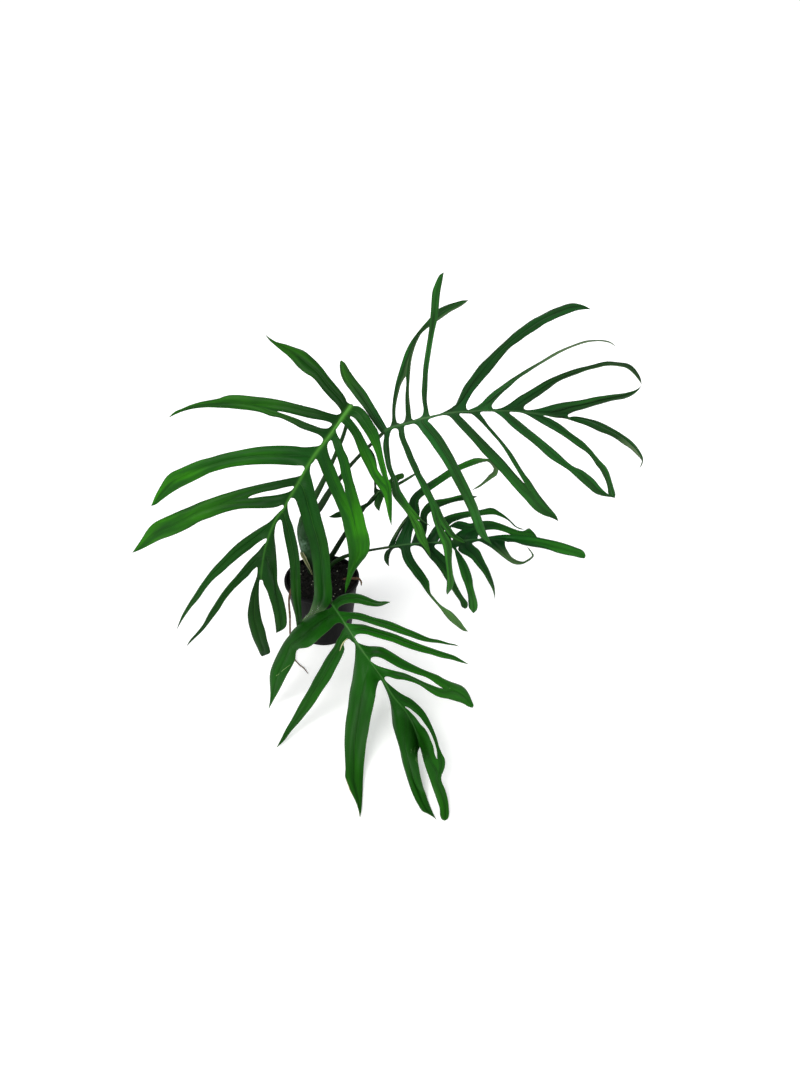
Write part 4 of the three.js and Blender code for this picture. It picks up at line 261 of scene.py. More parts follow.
                 a="478,538.7 483,537.2 488.3,536.5 498.8,535.1 505,534.7 511.1,534.7 524,535.2 536.3,536.9 546.9,539.1 556.5,541.1 566.2,543.9 575.8,547.3 582.5,550.2 584.9,553.1 585.6,556 584.6,558.4",
                 b="505,541.6 507.5,542 510.4,542 516.2,542.7 522.9,544.9 532.5,546.8 542.1,548.3 549.8,550.2 556.5,552.6 566.2,555 573.8,556.4 580.6,558.1 584.6,558.4",
                 d=[0.0, 0.5, 3.0], roll=[0, 10]),
        ],
        R=[
            dict(n="DD1",
                 a="387.5,547.9 389.2,548.3 385.8,551.7 384,555.8 384.3,560 386.7,564.2 389.2,566.5",
                 b="396,548 393.3,549.2 390.8,552.5 389.3,557.5 389,562.5 389.2,566.5",
                 d=[0.8, 2.0, 3.5], roll=[30, 30]),
            dict(n="DD2",
                 a="396,548 399.8,548.5 400.8,550 402.5,557.5 405.8,564.2 410.8,570.8 415,576.7 420,582.5 425,590 430,596.7 435,602.5 440,608.3 445,615 450,620.8 455,625 460,628.8 463.3,630.8 468.2,631.7",
                 b="413,545.9 410.5,547.5 413.3,557.5 417.5,564.2 422.5,570.8 426.7,577.3 429.2,581.7 429.8,588.3 430.8,593.3 434.2,597.5 440,604.2 445.8,608.3 451.7,611.7 456.7,616.7 460.8,621.7 464.2,626.7 468.2,631.7",
                 d=[0.0, 0.5, 4.0], roll=[0, 30]),
            dict(n="DD3",
                 a="413,545.9 417,545.8 421.7,547.5 425.8,552.5 430,558.3 434.2,562.7 440,570 444.2,577 448,583.5 451.7,589.4 455.8,595.8 460,601.9 461.7,606.7 465,608.8",
                 b="439.5,544.2 435.5,544.8 434.6,547 438.3,550.8 444.2,555.8 448.5,562 451.5,568.5 453.3,575 455,580.8 457.5,586.7 461.7,594.2 465,599.2 467.9,603.3 467.3,607.3 465,608.8",
                 d=[1.2, 4.0, 9.0], roll=[5, 15]),
            dict(n="DD4",
                 a="439.5,544.2 446,544.3 451.2,546 454.3,550 455.3,554.2 457.5,562.5 459.6,570 461.7,577.5 464.2,583.3 466.7,590.8 467.9,596.7 468.3,602.5 468.8,607.5 470.8,610.4 473.3,613.3",
                 b="458.5,546.6 456.5,547.6 457.5,550.6 462.5,556.7 466.7,563.3 470,570.8 472.5,579.2 473.3,586.7 475,593.3 477.1,600.8 477.8,605.8 476.7,610 473.3,613.3",
                 d=[0.8, 3.2, 8.5], roll=[5, 15]),
            dict(n="DD5",
                 a="458.5,546.6 458,549.6 461.7,553.3 466.7,555.8 471.7,559.2 475.8,564.2 480,569.2 483.3,573.3 486.7,579.2 490,585 492.5,590 494.2,595.8 494.6,599.2",
                 b="479,541.4 474.5,542.3 472.3,543.6 474.2,545.8 479.2,550 482.5,556.7 485.8,563.3 489.2,570 491.7,576.7 493.3,581.7 494.8,588.3 495,595 494.6,599.2",
                 d=[0.3, 2.2, 7.0], roll=[0, 20]),
            dict(n="DD6",
                 a="479,541.4 485.4,544.4 491.2,547.8 496.9,552.1 503.7,557.4 509.4,561.7 513.3,563.8 518.1,564.6 522.9,563.7 527.7,561.3 531.5,558.8 533.9,555.5 532.7,553.1 530.2,549.7 527.2,546.8",
                 b="505,541.6 505.1,544.4 506.1,547.8 508.5,552.1 511.3,556.4 515.2,559.3 519,560.8 524.8,561.1 529.2,558.6 532.6,555.3 531.4,553.2 529.0,549.9 527.2,546.8",
                 d=[0.0, 1.0, 3.0], roll=[0, 50]),
        ],
    ),
    "young": dict(
        mid="374,496 378,492.5 383,489 388,486.5 393,484 398,481.5",
        middepth=[[0, 1.605], [1, 1.6]],
        L=[
            dict(n="EU1",
                 a="374.5,494.5 373.8,491 374.2,486 374,480 373.8,474 373.2,467 371.5,460 369.5,453 368.6,447",
                 b="380,489.5 377,488.5 376.3,485 376.6,480 377.3,473 377.3,467 376,460 373,452 368.6,447",
                 d=[-1, -2, -3], roll=[30, 40]),
            dict(n="EU3",
                 a="380,489.5 384,485 388,481 392,477.5 396,475 400,473.5 403,473.3 404.5,476",
                 b="397.5,480.5 399.5,479.8 401.5,479.2 403.5,478 404.5,476",
                 d=[0.5, 0.5, 1], roll=[20, 20]),
        ],
        R=[
            dict(n="EL1",
                 a="374,497.5 372,499.5 368,502 360,506 352,508.5 344,510.3 338,511.8 333,514.5 328.5,517",
                 b="377,496.5 375,500 370,505 362,510.5 354,514 346,516.5 340,517.5 334,518 328.5,517",
                 d=[-2, -4, -5], roll=[20, 30]),
            dict(n="ED1",
                 a="377,496.5 375.5,499 374.3,502 374.2,504.5 376,508 379.3,511.3",
                 b="386.5,489.5 385,493 384,497 382.5,501 381,505 380,508.5 379.3,511.3",
                 d=[0, 0.5, 1], roll=[10, 10]),
            dict(n="ER2",
                 a="386.5,489.5 392,488 398,485.8 404,482.3 409,479 414,475.6 421.5,470.6",
                 b="397.5,482.5 399,482.5 403,480.2 408,477 412.5,474.3 417,471.8 421.5,470.6",
                 d=[0.5, 1, 2], roll=[40, 60]),
        ],
    ),
}


# ------------------------------------------------------------------ small helpers
def P(s):
    return np.array([[float(c) for c in w.split(",")] for w in s.split()])


def unproj(px, py, d):
    px, py, d = (np.asarray(c, float) for c in (px, py, d))
    return EYE + d[..., None] * (SIGHT + ((px - CX) / FP)[..., None] * np.array([1.0, 0, 0]) - ((py - CY) / FP)[..., None] * UPV)


def via(s):
    a = P(s)
    return unproj(a[:, 0], a[:, 1], a[:, 2])


def depth_for_z(py, z):
    return (EYE[2] - z) / (-SIGHT[2] + UPV[2] * (py - CY) / FP)


def arclen(p):
    return np.r_[0, np.cumsum(np.linalg.norm(np.diff(p, axis=0), axis=1))]


def sample(p, t):
    d = arclen(p)
    L = d[-1] or 1.0
    q = np.asarray(t, float) * L
    return np.stack([np.interp(q, d, p[:, k]) for k in range(p.shape[1])], -1)


def closest(p, q):
    """distance to, and place along (0..1), polyline p for each of points q"""
    a, ab = p[:-1], p[1:] - p[:-1]
    l2 = (ab ** 2).sum(1)
    l2[l2 == 0] = 1
    q = np.asarray(q, float)
    t = np.clip(((q[..., None, :] - a) * ab).sum(-1) / l2, 0, 1)
    c = a + t[..., None] * ab
    dd = np.linalg.norm(q[..., None, :] - c, axis=-1)
    i = dd.argmin(-1)
    d = arclen(p)
    tt = np.take_along_axis(t, i[..., None], -1)[..., 0]
    return np.take_along_axis(dd, i[..., None], -1)[..., 0], (d[i] + tt * np.sqrt(l2[i])) / d[-1]


def curve4(y, t):
    y = np.array(y, float)
    n = len(y) - 1
    t = np.clip(np.asarray(t, float), 0, 1) * n
    i = np.minimum(t.astype(int), n - 1)
    f = t - i
    y0, y1, y2, y3 = y[np.maximum(i - 1, 0)], y[i], y[i + 1], y[np.minimum(i + 2, n)]
    m1, m2 = (y2 - y0) / 2, (y3 - y1) / 2
    return (2 * f**3 - 3 * f**2 + 1) * y1 + (f**3 - 2 * f**2 + f) * m1 + (-2 * f**3 + 3 * f**2) * y2 + (f**3 - f**2) * m2


def ease(x):
    x = np.clip(x, 0, 1)
    return x * x * (3 - 2 * x)


def bump(x, w):
    return np.exp(-(x / w) ** 2)


def grid_noise(seed):
    """smooth 1-D noise with a fixed seed"""
    r = np.random.default_rng(seed).uniform(-1, 1, 256)

    def f(x):
        x = np.asarray(x, float)
        i = np.floor(x).astype(int)
        t = ease(x - i)
        return r[i % 256] * (1 - t) + r[(i + 1) % 256] * t

    return f


# ------------------------------------------------------------------ a blade as a fine grid
def flow(pts, per=7):
    """smooth curve through an outline's points (centripetal), as a dense polyline; point k lands on index k * per"""
    pts = [np.asarray(p, float) for p in pts]
    if len(pts) < 3:
        t = np.linspace(0, 1, (len(pts) - 1) * per + 1)
        return sample(np.array(pts), t)
    out = []
    n = len(pts)
    for i in range(n - 1):
        p1, p2 = pts[i], pts[i + 1]
        p0 = pts[i - 1] if i > 0 else 2 * p1 - p2
        p3 = pts[i + 2] if i + 2 < n else 2 * p2 - p1
        d0, d1, d2 = (max(np.linalg.norm(b - a) ** 0.5, 1e-4) for a, b in ((p0, p1), (p1, p2), (p2, p3)))
        t1 = ((p1 - p0) / d0 - (p2 - p0) / (d0 + d1) + (p2 - p1) / d1) * d1
        t2 = ((p2 - p1) / d1 - (p3 - p1) / (d1 + d2) + (p3 - p2) / d2) * d1
        for w in np.arange(per) / per:
            out.append(p1 + w * t1 + w * w * (-3 * p1 + 3 * p2 - 2 * t1 - t2) + w**3 * (2 * p1 - 2 * p2 + t1 + t2))
    out.append(pts[-1])
    return np.array(out)


def tidy(p, least=0.35):
    """drops points closer together than least, keeping both ends"""
    keep_ = [p[0]]
    for q in p[1:-1]:
        if np.linalg.norm(q - keep_[-1]) > least and np.linalg.norm(q - p[-1]) > least:
            keep_.append(q)
    return np.array(keep_ + [p[-1]])


def warp(n, lo=0.0, hi=1.0, k=0.085):
    """n + 1 places from lo to hi, closer together towards both ends"""
    u = np.linspace(0, 1, n + 1)
    return lo + (hi - lo) * (u - k * np.sin(2 * np.pi * u))


def blade_grid(lf, rows, nc):
    mid = flow(P(lf["mid"]))

    def mdepth(s):
        s = np.asarray(s, float)
        if "midz" in lf:
            t = np.array(lf["midz"], float)
            return depth_for_z(sample(mid, s)[..., 1], np.interp(s, t[:, 0], t[:, 1]))
        t = np.array(lf["middepth"], float)
        return np.interp(s, t[:, 0], t[:, 1])

    lobes = []
    for side in "LR":
        ls = lf[side]
        A, B = [P(l["a"]) for l in ls], [P(l["b"]) for l in ls]
        for k in range(len(ls) - 1):
            m = (B[k][0] + A[k + 1][0]) / 2
            B[k][0] = m
            A[k + 1][0] = m
        B[-1][0] = mid[-1]
        A, B = [tidy(a) for a in A], [tidy(b) for b in B]
        A[0], last = flow(A[0]), flow(B[-1])
        for k in range(len(ls) - 1):  # the rounded bay between two lobes is one curve
            j = flow(np.vstack([B[k][::-1], A[k + 1][1:]]))
            c = (len(B[k]) - 1) * 7
            lo, hi = max(7, c - 17), min(len(j) - 8, c + 17)
            c = lo + int(closest(mid, j[lo : hi + 1])[0].argmin())  # both lobes start where the bay comes nearest the midrib
            B[k], A[k + 1] = j[: c + 1][::-1], j[c:]
        B[-1] = last
        ss = [0.0] + [float(closest(mid, b[0])[1]) for b in B[:-1]] + [1.0]
        for k, l in enumerate(ls):
            lobes.append(dict(l=l, side=side, A=A[k], B=B[k], sa=ss[k], sb=ss[k + 1]))
    pos, att, vid = [], [], {}

    def vert(p, a):
        k = (round(p[0], 6), round(p[1], 6), round(p[2], 6))
        if k not in vid:
            vid[k] = len(pos)
            pos.append(p)
            att.append(a)
        return vid[k]

    faces, fuv, fuw = [], [], []
    allS, must = set(), set()
    for lb in lobes:
        hole = "ha" in lb["l"] or "fa" in lb["l"]
        lb["nc"] = nc
        for w in np.linspace(0, 1, 2 * nc + 1):
            allS.add(round(float(lb["sa"] + w * (lb["sb"] - lb["sa"])), 7))
        must |= {round(float(lb[k]), 7) for k in ("sa", "sb")}
    for q in np.linspace(0, 1, 61):
        allS.add(round(float(q), 7))
    keep = []
    for s in sorted(allS):
        if not keep or s - keep[-1] >= 0.005:
            keep.append(s)
        elif s in must and keep[-1] not in must:
            keep[-1] = s
        elif s in must:
            keep.append(s)
    mp = sample(mid, keep)
    mx = unproj(mp[:, 0], mp[:, 1], mdepth(np.array(keep)))
    # att: kind (1 midrib), q, half width, v, along, lobe, and s on the midrib or how clear the vein is elsewhere
    rib = [(vert(x, (1, 0.0, 0.01, 0.0, 0.0, -1, s)), s) for x, s in zip(mx, keep)]
    for li, lb in enumerate(lobes):
        l, A, B, sa, sb, n = lb["l"], lb["A"], lb["B"], lb["sa"], lb["sb"], lb["nc"]
        hole, fork = "ha" in l, "fa" in l
        i0 = i1 = None
        if hole:
            h0, h1 = P(l["ha"]), P(l["hb"])
            j = flow(np.vstack([h1[::-1], h0[1:]]))
            c = (len(h1) - 1) * 7
            lo, hi = max(7, c - 14), min(len(j) - 8, c + 14)
            c = lo + int(closest(mid, j[lo : hi + 1])[0].argmin())
            HA, HB = j[c:], j[: c + 1][::-1]
            a0, a1 = closest(A, HA[[0, -1]])[1]
            b0, b1 = closest(B, HA[[0, -1]])[1]
            n0 = max(5, int(round(rows * 0.12)))
            n1 = max(4, int(round(rows * arclen(HA)[-1] / arclen(A)[-1])))
            n2 = max(4, rows - n0 - n1)
            ta = np.r_[warp(n0, 0, a0), warp(n1, a0, a1)[1:], warp(n2, a1, 1)[1:]]
            tb = np.r_[warp(n0, 0, b0), warp(n1, b0, b1)[1:], warp(n2, b1, 1)[1:]]
            i0, i1 = n0, n0 + n1
        elif fork:
            FA, FB = flow(P(l["fa"])), flow(P(l["fb"]))
            a0, b0 = float(closest(A, FA[0])[1]), float(closest(B, FB[0])[1])
            n0 = max(3, int(round(rows * a0)))
            n1 = max(6, rows - n0)
            ta = np.r_[warp(n0, 0, a0), warp(n1, a0, 1)[1:]]
            tb = np.r_[warp(n0, 0, b0), warp(n1, b0, 1)[1:]]
            i0, i1 = n0, n0 + n1
        else:
            ta = tb = warp(rows, k=0.11)
        Lp, Rp = sample(A, ta), sample(B, tb)
        M = len(ta)
        v = (ta + tb) / 2
        w = np.full(M, 0.5)

        def frac(a, b, q):
            ab = b - a
            return float(np.clip((q - a) @ ab / max(ab @ ab, 1e-9), 0.08, 0.92))

        if hole:
            w0, w1 = frac(Lp[i0], Rp[i0], HA[0]), frac(Lp[i1], Rp[i1], HA[-1])
            w[: i0 + 1] = w0
            w[i1:] = np.linspace(w1, 0.5, M - i1)
        if fork:
            w0 = frac(Lp[i0], Rp[i0], FA[0])
            w[: i0 + 1] = np.linspace(0.5, w0, i0 + 1)
        I1 = Lp + w[:, None] * (Rp - Lp)
        if hole:  # rows bend towards the hole's two ends
            I1[: i0 + 1] += (v[: i0 + 1] / v[i0])[:, None] * (HA[0] - I1[i0])
            I1[i1:] += np.clip(1 - (v[i1:] - v[i1]) / min(0.25, 0.9 * (1 - v[i1])), 0, 1)[:, None] * (HA[-1] - I1[i1])
        if fork:
            I1[: i0 + 1] += np.clip(1 - (v[i0] - v[: i0 + 1]) / min(0.25, v[i0]), 0, 1)[:, None] * (FA[0] - I1[i0])
        I2 = I1.copy()
        if hole:
            t = warp(i1 - i0)
            I1[i0 : i1 + 1], I2[i0 : i1 + 1] = sample(HA, t), sample(HB, t)
        if fork:
            t = warp(M - i0 - 1)
            I1[i0:], I2[i0:] = sample(FA, t), sample(FB, t)
        Cn = (Lp + Rp) / 2
        span = arclen(Cn)[-1]
        u_ = np.linspace(0, 1, n + 1)
        f = np.stack([u_, u_]) if hole or fork else np.stack([1 - (1 - u_) ** 1.6, u_**1.6])  # 2, n+1
        a_ = np.stack([Lp, I2], 1)[:, :, None, :]  # M,2,1,2
        b_ = np.stack([I1, Rp], 1)[:, :, None, :]
        p = a_ + f[None, :, :, None] * (b_ - a_)  # M,2,n+1,2
        sw = np.stack([f[0][None, :] * w[:, None], w[:, None] + f[1][None, :] * (1 - w[:, None])], 1)
        if hole:
            ab = (Rp - Lp)[:, None, None, :]
            s2 = np.clip(((p - Lp[:, None, None, :]) * ab).sum(-1) / np.maximum((ab**2).sum(-1), 1e-9), 0, 1)
            sw[i0 + 1 : i1] = s2[i0 + 1 : i1]
        # near the midrib the rows follow its curve
        fade = min(0.25, v[i0]) if hole else 0.25
        at = lambda q: sample(mid, sa + np.asarray(q) * (sb - sa))
        m0, m1 = at(0.0), at(1.0)
        wi = np.full(M, w[i0]) if hole else w
        wa, wb = np.stack([np.zeros(M), wi], 1), np.stack([wi, np.ones(M)], 1)
        f1, f2 = 1 - ease(v / fade), 1 - ease(v / 0.25)
        whole = lambda q: at(q) - m0 - q[..., None] * (m1 - m0)
        x = wa[..., None] + f[None] * (wb - wa)[..., None]
        F_ = f[None, :, :, None]
        bl = f1[:, None, None, None] * ((1 - F_) * whole(wa)[:, :, None] + F_ * whole(wb)[:, :, None]) + f2[:, None, None, None] * (
            at(x) - at(wa)[:, :, None] - F_ * (at(wb) - at(wa))[:, :, None]
        )
        p = p + bl
        # the first rows hug the midrib between the two bays, which leaves the bays round
        off = (A[0] - m0)[None, None, None, :] * (1 - x[..., None]) + (B[0] - m1)[None, None, None, :] * x[..., None]
        if not np.allclose(B[0], mid[-1]):
            off = off * np.minimum(1, 3.0 / np.maximum(np.linalg.norm(off, axis=-1, keepdims=True), 1e-6))
            p = p - 0.55 * f1[:, None, None, None] * np.sin(np.pi * x)[..., None] * off
        if not fork:
            p[-1] = (A[-1] + B[-1]) / 2
        else:
            p[-1, 0], p[-1, 1] = A[-1], B[-1]
            p[-1, 0], p[-1, 1] = Lp[-1], I2[-1]
        # depth
        away, at_ = closest(mid, p)
        lin = mdepth(np.clip(at_, sa, sb))
        b = ease(np.minimum(v[:, None, None], 1.3 * away / span) / 0.16)
        d0 = (float(mdepth(sa)) + float(mdepth(sb))) / 2
        r0, r1 = l["roll"]
        tan = np.tan(np.radians(r0 + (r1 - r0) * ease(v)))
        wid_px = np.hypot(*(Rp - Lp).T)
        if "midz" in lf:
            zt = np.array(lf["midz"], float)
            z0 = float(np.interp((sa + sb) / 2, zt[:, 0], zt[:, 1]))
            zc = curve4([z0, *l["z"]], v)
            cen = depth_for_z(p[..., 1], zc[:, None, None])
        else:
            cen = np.broadcast_to((d0 + curve4([0, *l["d"]], v) / 100.0)[:, None, None], sw.shape)
        swq = sw.copy()
        swq[-1] = 0.5
        dd = cen + tan[:, None, None] * (swq - 0.5) * (wid_px / FP)[:, None, None] * cen
        if fork:
            k = np.clip((np.arange(M) - i0) / (M - 1 - i0), 0, 1)
            dd = dd + k[:, None, None] * (np.array(l["fd"])[None, :, None] / 100.0)
        d = lin * (1 - b) + dd * b
        d[0, 0, 0], d[0, 1, n] = float(mdepth(sa)), float(mdepth(sb))
        X = unproj(p[..., 0], p[..., 1], d)  # M,2,n+1,3
        # texture places: q across from the nearest vein (-1..1), half width and run in metres
        Lw = np.linalg.norm(X[:, 0, -1] - X[:, 0, 0], axis=-1)
        Rw = np.linalg.norm(X[:, 1, -1] - X[:, 1, 0], axis=-1)
        C3 = (X[:, 0, 0] + X[:, 1, n]) / 2
        run = arclen(C3)
        if hole:
            fv = np.where(np.arange(M) <= i1, 0.5, 0.5 + 0.5 * ease((v - v[i1]) / max(0.3 * (1 - v[i1]), 1e-3)))
        elif fork:
            fv = np.where(np.arange(M) < i0, 1 - 0.5 * ease((v - v[i0] + 0.22) / 0.22), 0.5)
        else:
            fv = np.ones(M)
        g = np.stack([np.broadcast_to(f[0], (M, n + 1)), np.broadcast_to(1 - f[1], (M, n + 1))], 1)  # 0 outer, 1 inner
        clear = np.ones(M)
        if hole:
            clear = 1 - np.exp(-(((v - v[i1]) / 0.05) ** 2)) * 0.9
            clear = np.where((v > v[i1]) & (fv < 1), np.minimum(clear, 0.35), clear)
        if fork:
            clear = np.where((np.arange(M) < i0) & (fv < 1), 0.35, 1.0)
        fvb = fv[:, None, None]
        Wh = np.stack([Lw, Rw], 1)[:, :, None]
        outer = g < fvb
        q = np.where(outer, (g - fvb) / fvb, (g - fvb) / np.maximum(1 - fvb, 1e-6))
        q = np.where(np.abs(g - fvb) < 1e-9, 0, q)
        hw = np.where(outer, fvb, np.maximum(1 - fvb, 1e-6)) * Wh
        hw = np.broadcast_to(hw, q.shape)
        sgn = np.array([-1.0, 1.0])[None, :, None]
        qs = -q * sgn  # signed so that a single-vein lobe runs -1..1 across
        if not (hole or fork):
            qs = np.stack([f[0] - 1, f[1]], 0)[None].repeat(M, 0)
        qs = np.clip(qs, -1, 1)
        hw = np.maximum(hw, 1e-4)
        ids = np.zeros((M, 2, n + 1), int)
        for k in range(M):
            for h in (0, 1):
                for j in range(n + 1):
                    ids[k, h, j] = vert(X[k, h, j], (0, float(qs[k, h, j]), float(hw[k, h, j]), float(v[k]), float(run[k]), li, float(clear[k])))
        flip = lb["side"] == "R"

        def addf(c):
            # c: (id, (q, v), (x metres, y metres))
            cc = [c[i] for i in range(len(c)) if c[i][0] != c[i - 1][0]]
            if len({q[0] for q in cc}) < 3:
                return
            if flip:
                cc = cc[::-1]
            faces.append([q[0] for q in cc])
            fuv.append([q[1] for q in cc])
            fuw.append([q[2] for q in cc])

        corner = lambda k, h, j: (ids[k, h, j], (float(qs[k, h, j]), float(v[k])), (float(qs[k, h, j] * hw[k, h, j]), float(run[k])))
        top = [(i, (s - sa) / max(sb - sa, 1e-9)) for i, s in rib if sa - 1e-6 <= s <= sb + 1e-6]
        low = []
        for h in (0, 1):
            for j in range(n + 1):
                c = corner(0, h, j)
                if not low or low[-1][0][0] != c[0]:
                    low.append((c, float(sw[0, h, j])))
        hm = float(hw[0].mean())
        tc = lambda i, s_: (i, (2 * s_ - 1, -0.03), ((2 * s_ - 1) * hm, -0.004))
        i = j = 0
        while i < len(top) - 1 or j < len(low) - 1:
            ca = top[i + 1][1] if i < len(top) - 1 else 9
            cb = low[j + 1][1] if j < len(low) - 1 else 9
            if (ca <= cb and i < len(top) - 1) or j >= len(low) - 1:
                addf([tc(*top[i]), tc(*top[i + 1]), low[j][0]])
                i += 1
            else:
                addf([tc(*top[i]), low[j + 1][0], low[j][0]])
                j += 1
        for k in range(M - 1):
            for h in (0, 1):
                for j in range(n):
                    addf([corner(k, h, j), corner(k, h, j + 1), corner(k + 1, h, j + 1), corner(k + 1, h, j)])
    return dict(pos=np.array(pos), att=np.array(att, float), faces=faces, uv=fuv, uw=fuw, lobes=lobes, mid=mx, mids=np.array(keep))


def vertex_normals(pos, faces):
    n = np.zeros_like(pos)
    for size in (3, 4):
        F_ = np.array([f for f in faces if len(f) == size])
        if not len(F_):
            continue
        q = pos[F_]
        c = np.cross(q[:, 1] - q[:, 0], q[:, 2] - q[:, 0])
        if size == 4:
            c = np.cross(q[:, 2] - q[:, 0], q[:, 3] - q[:, 1])
        for k in range(size):
            np.add.at(n, F_[:, k], c)
    l = np.linalg.norm(n, axis=1)
    l[l == 0] = 1
    return n / l[:, None]


def rim_edges(faces):
    seen = {}
    for f in faces:
        for a, b in zip(f, f[1:] + f[:1]):
            k = (min(a, b), max(a, b))
            seen[k] = None if k in seen else (a, b)
    return [e for e in seen.values() if e]


def closest3(line, q):
    """distance of each of points q to the line, in chunks"""
    out = np.full(len(q), 1e9)
    for a, b in zip(line[:-1], line[1:]):
        ab = b - a
        t = np.clip(((q - a) @ ab) / max(ab @ ab, 1e-12), 0, 1)
        out = np.minimum(out, np.linalg.norm(q - (a + t[:, None] * ab), axis=1))
    return out


def closest_s(line, s, q):
    """value of s at the line's vertex nearest each of points q"""
    out = np.zeros(len(q))
    for i in range(0, len(q), 4000):
        out[i : i + 4000] = s[np.linalg.norm(q[i : i + 4000, None] - line[None], axis=-1).argmin(1)]
    return out


def rim_distance(pos, rim, most=0.006):
    """distance of each vertex to the nearest rim edge, up to most"""
    cell, grid = most, {}
    a, b = pos[[e[0] for e in rim]], pos[[e[1] for e in rim]]
    for i, (p, q) in enumerate(zip(a, b)):
        for c in {tuple(np.floor(p / cell).astype(int)), tuple(np.floor(q / cell).astype(int))}:
            grid.setdefault(c, []).append(i)
    out = np.full(len(pos), most)
    byc = {}
    for i, c in enumerate(map(tuple, np.floor(pos / cell).astype(int))):
        byc.setdefault(c, []).append(i)
    for c, vs in byc.items():
        es = []
        for dx in (-1, 0, 1):
            for dy in (-1, 0, 1):
                for dz in (-1, 0, 1):
                    es += grid.get((c[0] + dx, c[1] + dy, c[2] + dz), [])
        if not es:
            continue
        p, a_, ab = pos[vs][:, None], a[es][None], (b - a)[es][None]
        t = np.clip(((p - a_) * ab).sum(-1) / np.maximum((ab**2).sum(-1), 1e-14), 0, 1)
        out[vs] = np.minimum(most, np.linalg.norm(p - (a_ + t[..., None] * ab), axis=-1).min(1))
    return out


def relax_normals(n, faces, pos, it=2):
    E = set()
    for f in faces:
        for a, b in zip(f, f[1:] + f[:1]):
            E.add((min(a, b), max(a, b)))
    E = np.array(sorted(E))
    for _ in range(it):
        s = n.copy()
        np.add.at(s, E[:, 0], n[E[:, 1]])
        np.add.at(s, E[:, 1], n[E[:, 0]])
        l = np.linalg.norm(s, axis=1)
        l[l == 0] = 1
        n = s / l[:, None]
    return n


def tube(path, radii, sides=12, flat=(1, 1), up=None, cap=True, twist=0.0):
    """closed tube through path (N,3); radii (N,); flat squeezes the section along normal and binormal"""
    path, radii = np.asarray(path, float), np.asarray(radii, float)
    N = len(path)
    T = np.gradient(path, axis=0)
    T /= np.linalg.norm(T, axis=1)[:, None]
    ref = np.array(up if up is not None else (0, 0, 1.0), float)
    if abs(T[0] @ ref) > 0.95:
        ref = np.array([1.0, 0, 0])
    V_, Q = [], []
    nrm = np.cross(T[0], ref)
    nrm /= np.linalg.norm(nrm)
    Ns, Bs = [], []
    for k in range(N):
        if up is not None:
            nrm = np.cross(T[k], ref)
        nrm = nrm - (nrm @ T[k]) * T[k]
        nrm /= np.linalg.norm(nrm)
        Ns.append(nrm.copy())
        Bs.append(np.cross(T[k], nrm))
    ang = np.linspace(0, 2 * np.pi, sides, endpoint=False)
    for k in range(N):
        a = ang + twist * k
        V_.append(path[k] + radii[k] * (np.cos(a)[:, None] * Ns[k] * flat[0] + np.sin(a)[:, None] * Bs[k] * flat[1]))
    V_ = np.concatenate(V_)
    F_, uv = [], []
    run = arclen(path)
    for k in range(N - 1):
        for s in range(sides):
            t = (s + 1) % sides
            F_.append([k * sides + s, k * sides + t, (k + 1) * sides + t, (k + 1) * sides + s])
            uv.append([(s / sides, run[k]), ((s + 1) / sides, run[k]), ((s + 1) / sides, run[k + 1]), (s / sides, run[k + 1])])
    if cap:
        c0, c1 = len(V_), len(V_) + 1
        V_ = np.vstack([V_, path[0] - T[0] * radii[0] * 0.35, path[-1] + T[-1] * radii[-1] * 0.35])
        for s in range(sides):
            t = (s + 1) % sides
            F_.append([c0, t, s])
            uv.append([(0.5, 0), ((s + 1) / sides, 0), (s / sides, 0)])
            F_.append([c1, (N - 1) * sides + s, (N - 1) * sides + t])
            uv.append([(0.5, run[-1]), (s / sides, run[-1]), ((s + 1) / sides, run[-1])])
    return V_, F_, uv


def catmull(points, n):
    """centripetal curve through points, n+1 places at even parameter"""
    pts = [np.asarray(p, float) for p in points]
    l = len(pts)
    out = []
    for t in np.linspace(0, 1, n + 1):
        p = (l - 1) * t
        i = int(p)
        w = p - i
        if i == l - 1:
            i, w = l - 2, 1.0
        p0 = pts[i - 1] if i > 0 else 2 * pts[0] - pts[1]
        p1, p2 = pts[i], pts[i + 1]
        p3 = pts[i + 2] if i + 2 < l else 2 * pts[-1] - pts[-2]
        d0, d1, d2 = (max(np.linalg.norm(b - a) ** 0.5, 1e-6) for a, b in ((p0, p1), (p1, p2), (p2, p3)))
        t1 = ((p1 - p0) / d0 - (p2 - p0) / (d0 + d1) + (p2 - p1) / d1) * d1
        t2 = ((p2 - p1) / d1 - (p3 - p1) / (d1 + d2) + (p3 - p2) / d2) * d1
        out.append(p1 + w * t1 + w * w * (-3 * p1 + 3 * p2 - 2 * t1 - t2) + w**3 * (2 * p1 - 2 * p2 + t1 + t2))
    return np.array(out)


